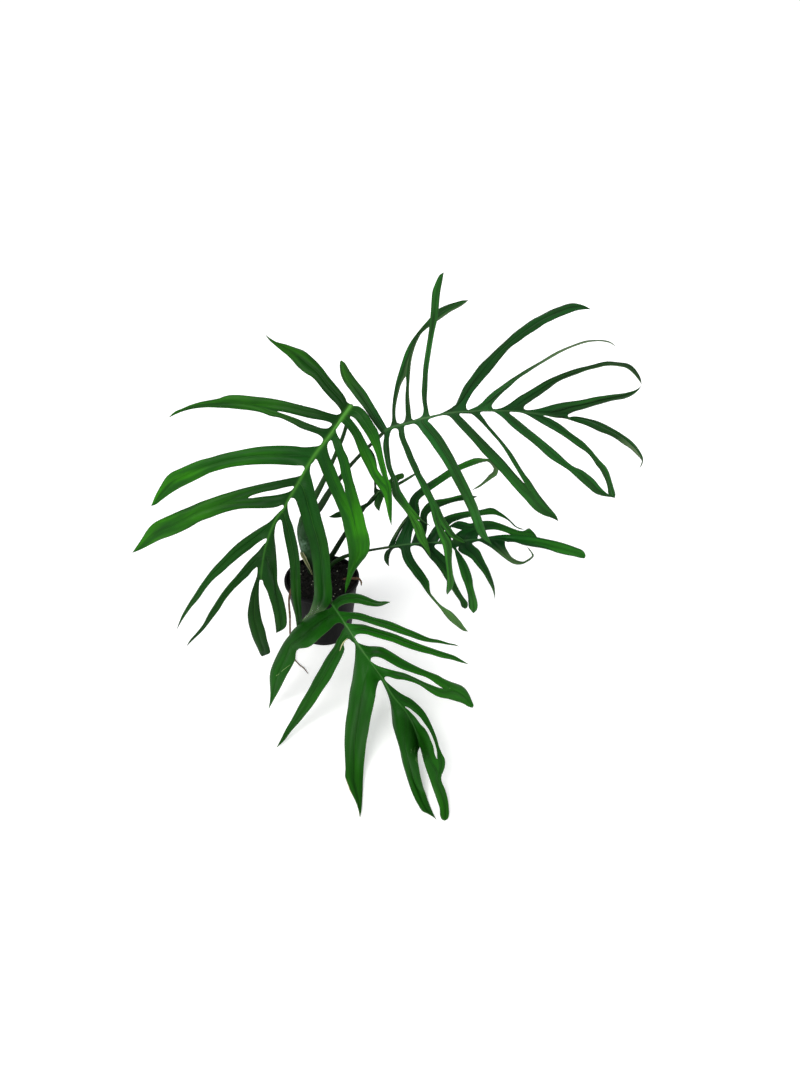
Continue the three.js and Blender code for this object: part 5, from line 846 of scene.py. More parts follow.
class Build:
    """gathers vertices and faces with a material number, two texture places and a tone per vertex"""

    def __init__(self):
        self.v, self.f, self.m, self.uv, self.uw, self.sharp = [], [], [], [], [], []
        self.at = {"tone": [], "pale": [], "near": [], "edge": [], "wan": [], "far": []}
        self.n = 0

    def add(self, V_, F_, mat, uv=None, uw=None, tone=0.0, sharp=None, pale=0.0, near=0.0, edge=0.01, wan=0.0, far=1.0):
        o = self.n
        V_ = np.asarray(V_, float)
        self.v.append(V_)
        self.n += len(V_)
        self.f += [[i + o for i in f] for f in F_]
        self.m += [mat] * len(F_) if np.isscalar(mat) else list(mat)
        self.uv += uv if uv is not None else [[(0.0, 0.0)] * len(f) for f in F_]
        self.uw += uw if uw is not None else (uv if uv is not None else [[(0.0, 0.0)] * len(f) for f in F_])
        for k_, x in (("tone", tone), ("pale", pale), ("near", near), ("edge", edge), ("wan", wan), ("far", far)):
            self.at[k_].append(np.full(len(V_), float(x)) if np.isscalar(x) else np.asarray(x, float))
        if sharp:
            self.sharp += [(a + o, b + o) for a, b in sharp]
        return o

    def make(self, name, mats, node=None, smooth=True):
        V_ = np.vstack(self.v)
        me = bpy.data.meshes.new(name)
        me.from_pydata([tuple(p) for p in V_], [], self.f)
        me.update()
        for m in mats:
            me.materials.append(m)
        me.polygons.foreach_set("material_index", np.array(self.m, np.int32))
        me.polygons.foreach_set("use_smooth", np.full(len(self.f), bool(smooth)))
        for lname, data in (("vein", self.uv), ("metric", self.uw)):
            lay = me.uv_layers.new(name=lname)
            flat = np.array([c for f in data for c in f], np.float32).ravel()
            lay.data.foreach_set("uv", flat)
        for k_, x in self.at.items():
            me.attributes.new(k_, "FLOAT", "POINT").data.foreach_set("value", np.concatenate(x).astype(np.float32))
        if self.sharp:
            S = {(min(a_, b_), max(a_, b_)) for a_, b_ in self.sharp}
            ev = np.zeros(len(me.edges) * 2, np.int32)
            me.edges.foreach_get("vertices", ev)
            ev = np.sort(ev.reshape(-1, 2), 1)
            fl = np.array([(int(x), int(y)) in S for x, y in ev], bool)
            at = me.attributes.get("sharp_edge") or me.attributes.new("sharp_edge", "BOOLEAN", "EDGE")
            at.data.foreach_set("value", fl)
        me.update()
        ob = bpy.data.objects.new(name, me)
        bpy.context.scene.collection.objects.link(ob)
        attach(ob, "root")
        if node:
            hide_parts(*([node] if isinstance(node, str) else node))
        return ob


# ------------------------------------------------------------------ materials
def lin(r, g, b):
    """display colour 0-255 to linear"""
    f = lambda c: (c / 255 / 12.92) if c / 255 <= 0.04045 else ((c / 255 + 0.055) / 1.055) ** 2.4
    return (f(r), f(g), f(b), 1.0)


class Mat:
    def __init__(self, name, rough=0.5, spec=0.5):
        self.m = bpy.data.materials.new(name)
        self.m.use_nodes = True
        self.t = self.m.node_tree
        self.t.nodes.clear()
        self.out = self.t.nodes.new("ShaderNodeOutputMaterial")
        self.b = self.t.nodes.new("ShaderNodeBsdfPrincipled")
        self.t.links.new(self.b.outputs[0], self.out.inputs[0])
        self.b.inputs["Roughness"].default_value = rough
        self.b.inputs["Specular IOR Level"].default_value = spec

    def node(self, kind, **props):
        n = self.t.nodes.new(kind)
        ins = props.pop("ins", {})
        for k, v_ in props.items():
            setattr(n, k, v_)
        for k, v_ in ins.items():
            s = n.inputs[k]
            if isinstance(v_, bpy.types.NodeSocket):
                self.t.links.new(v_, s)
            else:
                s.default_value = v_
        return n

    def link(self, a, b):
        self.t.links.new(a, b)

    def math(self, op, a, b=None, c=None, clamp=False):
        n = self.t.nodes.new("ShaderNodeMath")
        n.operation = op
        n.use_clamp = clamp
        for i, x in enumerate((a, b, c)):
            if x is None:
                continue
            if isinstance(x, bpy.types.NodeSocket):
                self.t.links.new(x, n.inputs[i])
            else:
                n.inputs[i].default_value = x
        return n.outputs[0]

    def mix(self, fac, a, b, blend="MIX"):
        n = self.t.nodes.new("ShaderNodeMix")
        n.data_type = "RGBA"
        n.blend_type = blend
        for s, x in ((n.inputs[0], fac), (n.inputs[6], a), (n.inputs[7], b)):
            if isinstance(x, bpy.types.NodeSocket):
                self.t.links.new(x, s)
            else:
                s.default_value = x
        return n.outputs[2]

    def ramp(self, fac, stops, interp="LINEAR"):
        n = self.t.nodes.new("ShaderNodeValToRGB")
        n.color_ramp.interpolation = interp
        e = n.color_ramp.elements
        while len(e) < len(stops):
            e.new(0.5)
        for x, (pos, col) in zip(e, stops):
            x.position = pos
            x.color = col if len(col) == 4 else (*col, 1)
        if isinstance(fac, bpy.types.NodeSocket):
            self.t.links.new(fac, n.inputs[0])
        return n.outputs[0]

    def noise(self, vec, scale, detail=3.0, rough=0.5, dist=0.0):
        n = self.t.nodes.new("ShaderNodeTexNoise")
        n.inputs["Scale"].default_value = scale
        n.inputs["Detail"].default_value = detail
        n.inputs["Roughness"].default_value = rough
        n.inputs["Distortion"].default_value = dist
        if vec is not None:
            self.t.links.new(vec, n.inputs["Vector"])
        return n.outputs["Fac"]

    def uvs(self, name):
        n = self.node("ShaderNodeUVMap", uv_map=name)
        s = self.node("ShaderNodeSeparateXYZ", ins={0: n.outputs[0]})
        return s.outputs[0], s.outputs[1], n.outputs[0]

    def vec(self, x, y, z=0.0):
        n = self.t.nodes.new("ShaderNodeCombineXYZ")
        for s, a in zip(n.inputs, (x, y, z)):
            if isinstance(a, bpy.types.NodeSocket):
                self.t.links.new(a, s)
            else:
                s.default_value = a
        return n.outputs[0]

    def obj(self):
        return self.node("ShaderNodeTexCoord").outputs["Object"]

    def attr(self, name):
        return self.node("ShaderNodeAttribute", attribute_name=name).outputs["Fac"]

    def bump(self, height, strength, dist):
        n = self.t.nodes.new("ShaderNodeBump")
        n.inputs["Strength"].default_value = strength
        n.inputs["Distance"].default_value = dist
        self.t.links.new(height, n.inputs["Height"])
        self.t.links.new(n.outputs[0], self.b.inputs["Normal"])

    def color(self, c):
        self.t.links.new(c, self.b.inputs["Base Color"])

    def rough(self, lo, hi, fac):
        n = self.node("ShaderNodeMapRange", ins={0: fac, 3: lo, 4: hi})
        self.t.links.new(n.outputs[0], self.b.inputs["Roughness"])


def blade_top(name, base, outer, band_shade_col, vein, rimc, patch=0.16, rough=0.40, spec=0.13, rib_reach=0.85, line=(0.62, 0.66, 0.6), wanc=lin(100, 122, 84), tipc=lin(56, 124, 26)):
    m = Mat(name, rough, spec)
    q, v, _ = m.uvs("vein")
    x, y, metric = m.uvs("metric")
    tone, pale, near, wan = m.attr("tone"), m.attr("pale"), m.attr("near"), m.attr("wan")
    off = m.math("MULTIPLY", tone, 17.0)
    mr = lambda f, a, b, c, d, k="SMOOTHSTEP": m.node("ShaderNodeMapRange", interpolation_type=k, ins={0: f, 1: a, 2: b, 3: c, 4: d}).outputs[0]
    aq, ax = m.math("ABSOLUTE", q), m.math("ABSOLUTE", x)
    # painted shade: darker where the lobe springs from the midrib, brighter along its outer half
    col = m.mix(m.math("MULTIPLY", mr(v, 0.02, 0.70, 0.0, 1.0), m.attr("far")), base, outer)
    # a few lobes turn yellow green towards their tips
    col = m.mix(m.math("MULTIPLY", mr(v, 0.5, 0.8, 0.0, 1.0), mr(m.attr("far"), 1.0, 2.0, 0.0, 1.0, "LINEAR")), col, tipc)
    # painted shade: broad bands that run with the lobe, one side of the vein darker than the other, as the folds of the
    # blade would shade it; they mix towards the darker band colour
    shade_band = m.noise(m.vec(m.math("MULTIPLY_ADD", q, 1.15, off), m.math("MULTIPLY", y, 9.0), off), 1.0, 2.0, 0.5)
    col = m.mix(mr(shade_band, 0.36, 0.66, 0.75, 0.0), col, band_shade_col)
    fine = m.noise(m.vec(m.math("MULTIPLY_ADD", q, 9.0, off), m.math("MULTIPLY", y, 16.0), off), 1.0, 3.0, 0.55)
    hair = m.noise(m.vec(m.math("MULTIPLY", x, 2300.0), m.math("MULTIPLY", y, 45.0), off), 1.0, 2.0, 0.5)
    big = m.noise(m.obj(), 13.0, 3.0, 0.55)
    gain = m.math("MULTIPLY", mr(fine, 0.25, 0.75, 0.86, 1.13, "LINEAR"), mr(hair, 0.25, 0.75, 0.95, 1.05, "LINEAR"))
    gain = m.math("MULTIPLY", gain, mr(big, 0.3, 0.7, 1.0 - patch, 1.0 + patch, "LINEAR"))
    # the lobe's tone scales its brightness: partly its own tone, partly painted light and shade for how the lobe lies
    # to the light
    gain = m.math("MULTIPLY", gain, mr(tone, -1.0, 1.0, 0.4, 1.6, "LINEAR"))
    hsv = m.node("ShaderNodeHueSaturation", ins={"Color": col, "Value": gain})
    col = hsv.outputs[0]
    # faint slanting side veins
    slant = m.math("SUBTRACT", y, m.math("MULTIPLY", ax, 1.35))
    sv = m.math("SINE", m.math("MULTIPLY_ADD", m.noise(metric, 60.0, 1.0), 2.2, m.math("MULTIPLY", slant, 1100.0)))
    svf = m.math("MULTIPLY", m.math("POWER", m.math("MULTIPLY_ADD", sv, 0.5, 0.5), 10.0), 0.04)
    col = m.mix(svf, col, vein)
    # the lobe's own vein: painted shade as a dark line along the sunk vein, with a thin pale thread painted as a
    # highlight where the light catches it
    dark = m.mix(1.0, col, (*line, 1), "MULTIPLY")
    side = m.math("SUBTRACT", ax, 0.0013)
    col = m.mix(mr(m.math("ABSOLUTE", side), 0.0001, 0.0011, 0.85, 0.0), col, dark)
    col = m.mix(m.math("MULTIPLY", mr(ax, 0.0002, 0.0008, 0.55, 0.0), m.math("MULTIPLY", pale, mr(v, 0.3, 0.85, 1.0, 0.1))), col, vein)
    # pale round the midrib
    col = m.mix(m.math("MULTIPLY", m.math("POWER", near, 1.6), rib_reach), col, vein)
    # parts of a few lobes are pale and dull
    col = m.mix(m.math("MULTIPLY", wan, mr(fine, 0.2, 0.8, 0.75, 1.0, "LINEAR")), col, wanc)
    # thin rim
    rim = m.attr("edge")
    col = m.mix(m.math("MULTIPLY", mr(rim, 0.0002, 0.0009, 0.8, 0.0), mr(v, 0.0, 0.05, 0.0, 1.0)), col, rimc)
    m.color(col)
    pores = m.noise(metric, 1900.0, 2.0, 0.6)
    h = m.math("ADD", m.math("MULTIPLY", fine, 0.7), m.math("ADD", m.math("MULTIPLY", sv, 0.10), m.math("MULTIPLY", pores, 0.07)))
    h = m.math("ADD", h, m.math("MULTIPLY", hair, 0.16))
    m.bump(h, 0.4, 0.0007)
    m.rough(rough - 0.07, rough + 0.13, m.noise(m.obj(), 55.0, 3.0, 0.6))
    return m.m


def blade_under(name, col_a, col_b, vein, rough=0.58, spec=0.16):
    m = Mat(name, rough, spec)
    q, v, _ = m.uvs("vein")
    x, y, metric = m.uvs("metric")
    tone = m.attr("tone")
    off = m.math("MULTIPLY", tone, 17.0)
    mr = lambda f, a, b, c, d, k="SMOOTHSTEP": m.node("ShaderNodeMapRange", interpolation_type=k, ins={0: f, 1: a, 2: b, 3: c, 4: d}).outputs[0]
    ax = m.math("ABSOLUTE", x)
    n1 = m.noise(m.vec(m.math("MULTIPLY_ADD", q, 2.0, off), m.math("MULTIPLY", y, 12.0), off), 1.0, 2.0)
    col = m.mix(mr(n1, 0.3, 0.7, 0.0, 1.0), col_a, col_b)
    slant = m.math("SUBTRACT", y, m.math("MULTIPLY", ax, 1.35))
    sv = m.math("SINE", m.math("MULTIPLY_ADD", m.noise(metric, 60.0, 1.0), 2.2, m.math("MULTIPLY", slant, 1100.0)))
    col = m.mix(m.math("MULTIPLY", m.math("POWER", m.math("MULTIPLY_ADD", sv, 0.5, 0.5), 8.0), 0.16), col, vein)
    col = m.mix(mr(ax, 0.0006, 0.0022, 0.85, 0.0), col, vein)
    col = m.mix(m.math("MULTIPLY", m.math("POWER", m.attr("near"), 1.6), 0.8), col, vein)
    hsv = m.node("ShaderNodeHueSaturation", ins={"Color": col, "Value": mr(m.noise(m.obj(), 24.0, 3.0, 0.55), 0.3, 0.7, 0.88, 1.12, "LINEAR")})
    m.color(hsv.outputs[0])
    m.bump(m.math("ADD", m.math("MULTIPLY", sv, 0.3), m.noise(metric, 1500.0, 2.0)), 0.4, 0.0005)
    m.rough(rough - 0.06, rough + 0.1, n1)
    return m.m


def stalk_mat(name, col_a, col_b, pale, rough=0.45, spec=0.4, streaks=26.0):
    m = Mat(name, rough, spec)
    u, run, uv = m.uvs("vein")
    st = m.noise(m.vec(m.math("MULTIPLY", u, streaks), m.math("MULTIPLY", run, 14.0), 0.0), 1.0, 3.0, 0.55)
    col = m.mix(m.node("ShaderNodeMapRange", ins={0: st, 1: 0.35, 2: 0.68}).outputs[0], col_a, col_b)
    fl = m.noise(m.obj(), 420.0, 2.0, 0.6)
    flf = m.node("ShaderNodeMapRange", ins={0: fl, 1: 0.66, 2: 0.74, 3: 0.0, 4: 0.5}).outputs[0]
    col = m.mix(flf, col, pale)
    tn = m.node("ShaderNodeMapRange", ins={0: m.attr("tone"), 1: 0.0, 2: 1.0, 3: 0.0, 4: 0.8}).outputs[0]
    col = m.mix(tn, col, pale)
    m.color(col)
    m.bump(m.math("ADD", st, m.math("MULTIPLY", fl, 0.3)), 0.35, 0.0008)
    m.rough(rough - 0.06, rough + 0.14, fl)
    return m.m


M = {}
M["top_left"] = blade_top("blade_bright_top", lin(14, 58, 10), lin(38, 106, 8), lin(16, 62, 16), lin(76, 138, 48), lin(18, 42, 14), spec=0.07, line=(0.74, 0.78, 0.72))
M["top_right"] = blade_top("blade_bluegreen_top", lin(17, 63, 22), lin(28, 78, 24), lin(22, 49, 18), lin(76, 112, 68), lin(18, 34, 16), spec=0.07)
M["top_front"] = blade_top("blade_midgreen_top", lin(18, 75, 8), lin(23, 79, 7), lin(17, 63, 10), lin(78, 126, 64), lin(66, 88, 54), patch=0.1, spec=0.07)
M["top_low_right"] = blade_top("blade_dark_top", lin(4, 45, 10), lin(22, 74, 12), lin(4, 34, 8), lin(60, 104, 54), lin(16, 40, 18), spec=0.07)
M["top_young"] = blade_top("blade_young_top", lin(14, 56, 12), lin(36, 78, 24), lin(12, 42, 10), lin(74, 112, 62), lin(36, 62, 32), spec=0.08)
for k, a, b, c in (
    ("left", (58, 100, 46), (44, 84, 38), (98, 140, 76)),
    ("right", (66, 98, 56), (48, 80, 44), (104, 132, 86)),
    ("front", (64, 102, 50), (48, 86, 42), (104, 138, 80)),
    ("low_right", (60, 96, 48), (42, 76, 38), (96, 128, 72)),
    ("young", (56, 88, 46), (42, 72, 38), (88, 120, 70)),
):
    M["under_" + k] = blade_under("blade_under_" + k, lin(*a), lin(*b), lin(*c))
M["rib_left"] = stalk_mat("midrib_left", lin(74, 140, 48), lin(48, 106, 34), lin(112, 164, 78), 0.42, 0.16)
M["rib_right"] = stalk_mat("midrib_right", lin(38, 84, 34), lin(30, 70, 30), lin(84, 118, 72), 0.46, 0.1)
M["rib_front"] = stalk_mat("midrib_front", lin(36, 98, 30), lin(26, 80, 22), lin(84, 132, 66), 0.44, 0.12)
M["rib_low_right"] = stalk_mat("midrib_low_right", lin(40, 82, 36), lin(28, 64, 28), lin(78, 112, 64), 0.44, 0.2)
M["rib_young"] = stalk_mat("midrib_young", lin(50, 92, 42), lin(38, 76, 34), lin(84, 118, 70), 0.44, 0.2)


# ------------------------------------------------------------------ blades
def make_blade(key, node, rows, nc, seed, camber, groove, thick, ribr, reach=0.006):
    g = blade_grid(LEAVES[key], rows, nc)
    pos, att, faces = g["pos"], g["att"], g["faces"]
    nr = vertex_normals(pos, faces)
    if (nr @ SIGHT).mean() > 0:  # the upper side faces the viewer
        faces = [f[::-1] for f in faces]
        g["uv"], g["uw"] = [u[::-1] for u in g["uv"]], [u[::-1] for u in g["uw"]]
        nr = -nr
    nr = relax_normals(nr, faces, pos, 2)
    kind, q, hw, v, run, lobe, s = att.T
    rng = np.random.default_rng(seed)
    nl = len(g["lobes"])
    tone_l = rng.uniform(-0.7, 0.7, nl)
    tone_l = 0.16 * tone_l
    pale_l, far_l = np.zeros(nl), np.ones(nl)
    for i, lb in enumerate(g["lobes"]):
        tn = TONES[key].get(lb["l"]["n"], (0, 0.15))
        tone_l[i] += tn[0]
        pale_l[i] = tn[1]
        far_l[i] = tn[2] if len(tn) > 2 else 1.0
    ph, amp, wl = rng.uniform(0, 6.28, (nl, 2)), rng.uniform(0.5, 1.0, nl), rng.uniform(0.045, 0.075, nl)
    li = np.clip(lobe, 0, None).astype(int)
    W = ease(v / 0.13) * (1 - ease((v - 0.93) / 0.07)) * (kind == 0)
    aq = np.abs(q)
    hwc = np.minimum(hw, 0.03)
    up = W * (camber * hwc * np.sin(np.pi * aq**0.85) - 0.05 * hwc * aq**4)
    up -= W * groove * np.minimum(1, hwc / 0.006) * bump(q * hwc, 0.0016)
    rip = np.sin(2 * np.pi * run / wl[li] + ph[li, 0] + (q > 0) * ph[li, 1])
    up += W * 0.0006 * amp[li] * rip * aq**2 * np.minimum(1, hwc / 0.008)
    away = closest3(pos[kind == 1][np.argsort(s[kind == 1])], pos)
    order = np.argsort(s[kind == 1])
    along = closest_s(pos[kind == 1][order], s[kind == 1][order], pos)
    near = np.exp(-((away / (reach * (1 - 0.72 * along))) ** 2)) * (1 - 0.6 * along)
    up += (kind == 0) * 0.0010 * near * ribr[0] / 0.0034
    up += (kind == 1) * 0.0007 * ribr[0] / 0.0034
    rim = rim_edges(faces)
    onrim = np.zeros(len(pos), bool)
    for a, b in rim:
        onrim[[a, b]] = True
    edge = rim_distance(pos, rim)
    # thin towards the rims, thicker along the veins below
    t = np.full(len(pos), thick)
    t[onrim] = thick * 0.55
    ridge = W * 0.0009 * np.minimum(1, hwc / 0.006) * (1 - 0.7 * v) * bump(q * hwc, 0.0018) * (~onrim)
    top = pos + nr * (up + t / 2)[:, None]
    low = pos + nr * (up - t / 2 - ridge)[:, None]
    floor = 0.0006
    low[:, 2] = np.maximum(low[:, 2], floor)
    top[:, 2] = np.maximum(top[:, 2], floor + 0.0003)
    B = Build()
    tone_v = np.where(kind == 1, 0.0, tone_l[li])
    sharp = [(a, b) for a, b in rim]
    pale_v = np.where(kind == 1, 0.0, pale_l[li] * s)
    wan = np.zeros(len(pos))
    for i, lb in enumerate(g["lobes"]):
        for v0, v1, amount, where in WAN.get(key, {}).get(lb["l"]["n"], ()):
            w_ = amount * ease((v - v0) / (v1 - v0)) * (1.0 if where == 0 else ease((q * where - 0.1) / 0.5))
            wan = np.where((lobe == i) & (kind == 0), np.maximum(wan, w_), wan)
    o1 = B.add(top, faces, 0, g["uv"], g["uw"], tone_v, sharp, pale_v, near, edge, wan, np.where(kind == 1, 0.0, far_l[li]))
    o2 = B.add(low, [f[::-1] for f in faces], 1, [u[::-1] for u in g["uv"]], [u[::-1] for u in g["uw"]], tone_v, sharp, pale_v, near, edge)
    # rim strip between the two sides, using their own vertices
    B.f += [[a + o1, a + o2, b + o2, b + o1] for a, b in rim]
    B.m += [0] * len(rim)
    B.uv += [[(1.0, 0.5)] * 4 for _ in rim]
    B.uw += [[(0.01, 0.05)] * 4 for _ in rim]
    # midrib: a tapered rib that stands a little above the blade and more below it
    ss = g["mids"]
    mn = nr[[i for i in range(len(pos)) if kind[i] == 1][: len(ss)]]
    order = [i for i in range(len(pos)) if kind[i] == 1]
    mp_, mn = pos[order], nr[order]
    mn = np.array([mn[max(0, i - 2) : i + 3].mean(0) for i in range(len(mn))])
    mn /= np.linalg.norm(mn, axis=1)[:, None]
    for _ in range(2):
        mp_[1:-1] = 0.25 * mp_[:-2] + 0.5 * mp_[1:-1] + 0.25 * mp_[2:]
    r = ribr[1] + (ribr[0] - ribr[1]) * (1 - ss) ** 1.5
    T = np.gradient(mp_, axis=0)
    T /= np.linalg.norm(T, axis=1)[:, None]
    side = np.cross(mn, T)
    side /= np.linalg.norm(side, axis=1)[:, None]
    K = 12
    ang = np.linspace(0, 2 * np.pi, K, endpoint=False)
    ca, sa_ = np.cos(ang), np.sin(ang)
    hgt = np.where(sa_ > 0, 0.42, 1.15) * sa_
    V_ = (mp_[:, None, :] + r[:, None, None] * (ca[None, :, None] * side[:, None, :] + hgt[None, :, None] * mn[:, None, :])).reshape(-1, 3)
    V_[:, 2] = np.maximum(V_[:, 2], floor)
    F_, uv = [], []
    rn = arclen(mp_)
    N = len(mp_)
    for k in range(N - 1):
        for j in range(K):
            j2 = (j + 1) % K
            F_.append([k * K + j, (k + 1) * K + j, (k + 1) * K + j2, k * K + j2])
            uv.append([(j / K, rn[k]), (j / K, rn[k + 1]), ((j + 1) / K, rn[k + 1]), ((j + 1) / K, rn[k])])
    F_.append(list(range(K)))
    uv.append([(0.5, 0.0)] * K)
    F_.append([(N - 1) * K + j for j in range(K)][::-1])
    uv.append([(0.5, rn[-1])] * K)
    B.add(V_, F_, 2, uv, uv, np.repeat(0.12 * (1 - ss), K))
    ob = B.make("blade_" + key, [M["top_" + key], M["under_" + key], M["rib_" + key]], node)
    return ob, g


# how much lighter or darker a lobe is than its leaf (partly its own tone, partly painted light and shade for how the
# lobe lies to the light), how strongly the pale thread of its vein shows (a painted highlight), and how far its outer
# half turns from the painted shade at its base to the bright colour (over 1: a yellow-green tip)
TONES = {
    "left": dict(L1=(-0.6, 0.1), L2=(-0.5, 0.1), L3=(0.1, 0.0), L4=(-0.25, 0.0), L5=(0.0, 0.15, 0.1), L6=(-0.7, 0.15, 0.2), L7=(-0.75, 0.2, 0.2), R1=(0.25, 0.3), R3=(-0.05, 0.15, 1.05), R5=(0.05, 0.35, 0.3), R6=(-0.3, 0.35, 0.3), R7=(-0.45, 0.3, 0.2)),
    "right": dict(U0=(0.0, 0.3, 1.5), U1=(0.0, 0.2), U2=(0.6, 0.2), U3=(0.0, 0.1, 0.2), U4=(0.9, 0.1), U5=(-0.4, 0.1), T1=(-0.2, 0.1), D1=(0.5, 0.2, 1.7), D2=(0.15, 0.3, 1.25), D3=(0.55, 0.5), D4=(0.15, 0.3), D5=(0.35, 0.2, 0.5), D6=(0.0, 0.2), T2=(-0.4, 0.1)),
    "front": dict(CL1=(-0.15, 0.2, 0.4), CL2=(-0.3, 0.3, 0.6), CL3=(-0.1, 0.15), CT1=(-0.2, 0.15, 0.5), CR1=(0.35, 0.1), CR2=(0.2, 0.2), CR3=(0.9, 0.2), CR4=(0.5, 0.3), CR6=(0.0, 0.2)),
    "low_right": dict(DU0=(0.15, 0.1), DU3=(1.0, 0.2), DU4=(0.05, 0.2), DU5=(0.2, 0.2), DU7=(0.35, 0.3), DT=(0.8, 0.2, 0.9), DD1=(-0.35, 0.1), DD2=(0.3, 0.3, 1.35), DD3=(-0.35, 0.1), DD4=(0.7, 0.2), DD5=(0.0, 0.1), DD6=(0.15, 0.1)),
    "young": dict(EU1=(-0.55, 0.1, 0.3), EU3=(0.9, 0.1), EL1=(-0.1, 0.1, 0.4), ED1=(1.0, 0.1), ER2=(0.2, 0.1)),
}
# where a lobe turns pale: from v, to v, how much, and 0 for its whole width or the sign of the side
WAN = {
    "left": dict(R5=((0.80, 0.90, 0.55, 0),), L1=((0.90, 1.0, 0.5, 0),)),
    "right": dict(U4=((0.35, 0.7, 0.75, 0),), U5=((0.45, 0.6, 0.55, 1),), T2=((0.6, 0.8, 0.6, -1),), U1=((0.05, 0.2, 0.35, 1),)),
    "low_right": dict(DU3=((0.62, 0.8, 0.45, 0),), DD2=((0.4, 0.65, 0.35, 0),), DD6=((0.1, 0.4, 0.3, 0),), DU0=((0.1, 0.3, 0.5, -1),)),
}
rows = 64
nc = 7
BL = {}
BL["left"] = make_blade("left", "leaf_left", rows, nc, 11, 0.16, 0.0008, 0.0007, (0.0037, 0.0009), 0.0052)
BL["right"] = make_blade("right", "leaf_right", rows, nc, 12, 0.16, 0.0008, 0.0007, (0.0030, 0.0009), 0.0026)
BL["front"] = make_blade("front", "leaf_front", rows, nc, 13, 0.15, 0.0008, 0.0007, (0.0021, 0.0006), 0.0018)
BL["low_right"] = make_blade("low_right", "leaf_low_right", rows, nc, 14, 0.16, 0.0006, 0.0006, (0.0019, 0.0006), 0.0020)
BL["young"] = make_blade("young", "leaf_young", max(20, rows // 2), 3, 15, 0.12, 0.0004, 0.0005, (0.0016, 0.0005), 0.0022)


# ------------------------------------------------------------------ marks on the blades
from mathutils.bvhtree import BVHTree

TREES = {}
for k_, (ob_, _) in BL.items():
    me_ = ob_.data
    TREES[k_] = BVHTree.FromPolygons([v_.co[:] for v_ in me_.vertices], [p_.vertices[:] for p_ in me_.polygons])


def on_blade(key, px, py, guess=None):
    """point of a blade's upper side under a place of the sighting plane, and its normal towards the viewer"""
    d = unproj(px, py, 1.0) - EYE
    hit, n_, _, _ = TREES[key].ray_cast(Vector(EYE), Vector(d).normalized())
    if hit is None:
        q_ = unproj(px, py, guess if guess else 1.5)
        hit, n_, _, _ = TREES[key].find_nearest(Vector(q_))
    hit, n_ = np.array(hit), np.array(n_)
    return hit, n_ if n_ @ d < 0 else -n_


def mark(B, mat, key, spots, radii, lift=0.0002, sides=6, flat=0.5):
    pts, last = [], None
    for px, py in spots:
        h_, n_ = on_blade(key, px, py, last)
        last = float((h_ - EYE) @ SIGHT)
        pts.append(h_ + n_ * lift)
    n_seg = max(10, 5 * len(spots))
    path = catmull(np.array(pts), n_seg)
    rad = np.interp(np.linspace(0, len(radii) - 1, n_seg + 1), np.arange(len(radii)), radii) / 1000
    V_, F_, uv = tube(path, rad, sides)
    B.add(V_, F_, mat, uv, uv)


M["scar"] = stalk_mat("scar_cream", lin(168, 166, 118), lin(196, 192, 150), lin(214, 208, 172), 0.7, 0.15)
M["scratch"] = stalk_mat("scratch_pale", lin(96, 134, 70), lin(122, 152, 92), lin(140, 164, 108), 0.6, 0.15)
m = Mat("water_drop", 0.04, 0.5)
m.b.inputs["Base Color"].default_value = (0.9, 0.95, 0.9, 1)
m.b.inputs["Transmission Weight"].default_value = 0.75
m.b.inputs["IOR"].default_value = 1.33
M["drop"] = m.m
B = Build()
mark(B, 1, "front", [(270.2, 679), (278.4, 674.4), (283.8, 669.5), (290.3, 664.6)], [0.35, 0.5, 0.5, 0.3])
mark(B, 0, "front", [(339.9, 650.6), (341.4, 646.4), (343.2, 643), (345.6, 640.2), (347.6, 638.2)], [0.5, 1.1, 1.3, 1.0, 0.4])
mark(B, 0, "front", [(346, 779), (348.4, 790), (351.6, 801), (355.6, 811), (359.4, 818)], [0.3, 0.6, 0.7, 0.7, 0.6])
mark(B, 0, "front", [(358.8, 817), (358.6, 820), (357.2, 821.6), (356.2, 820.6)], [0.6, 0.6, 0.5, 0.3])
rng = np.random.default_rng(3)
for i in range(26):
    t_ = rng.uniform(0, 1)
    px, py = 320.5 - 16 * t_ + rng.uniform(-2.2, 2.2), 606.5 + 10.5 * t_ + rng.uniform(-2.4, 2.4)
    d = unproj(px, py, 1.0) - EYE
    hit, n_, _, _ = TREES["left"].ray_cast(Vector(EYE), Vector(d).normalized())
    if hit is None:
        continue
    hit, n_ = np.array(hit), np.array(n_)
    n_ = n_ if n_ @ d < 0 else -n_
    r_ = rng.uniform(0.0005, 0.0013)
    bm = bmesh.new()
    bmesh.ops.create_icosphere(bm, subdivisions=2, radius=1.0)
    vs = np.array([v_.co for v_ in bm.verts])
    fs = [[v_.index for v_ in f_.verts] for f_ in bm.faces]
    bm.free()
    vs = vs * r_
    vs = vs - np.outer(vs @ n_, n_) * 0.45
    B.add(vs + hit + n_ * r_ * 0.25, fs, 2)
hit, n_ = on_blade("right", 392.5, 480.8, 1.6)
bm = bmesh.new()
bmesh.ops.create_icosphere(bm, subdivisions=2, radius=0.0013)
B.add(np.array([v_.co for v_ in bm.verts]) + hit + n_ * 0.0005, [[v_.index for v_ in f_.verts] for f_ in bm.faces], 2)
bm.free()
B.make("blade_marks", [M["scar"], M["scratch"], M["drop"]])


# ------------------------------------------------------------------ stalks and stem
def radius_along(radii, n):
    return np.interp(np.linspace(0, len(radii) - 1, n + 1), np.arange(len(radii)), radii)


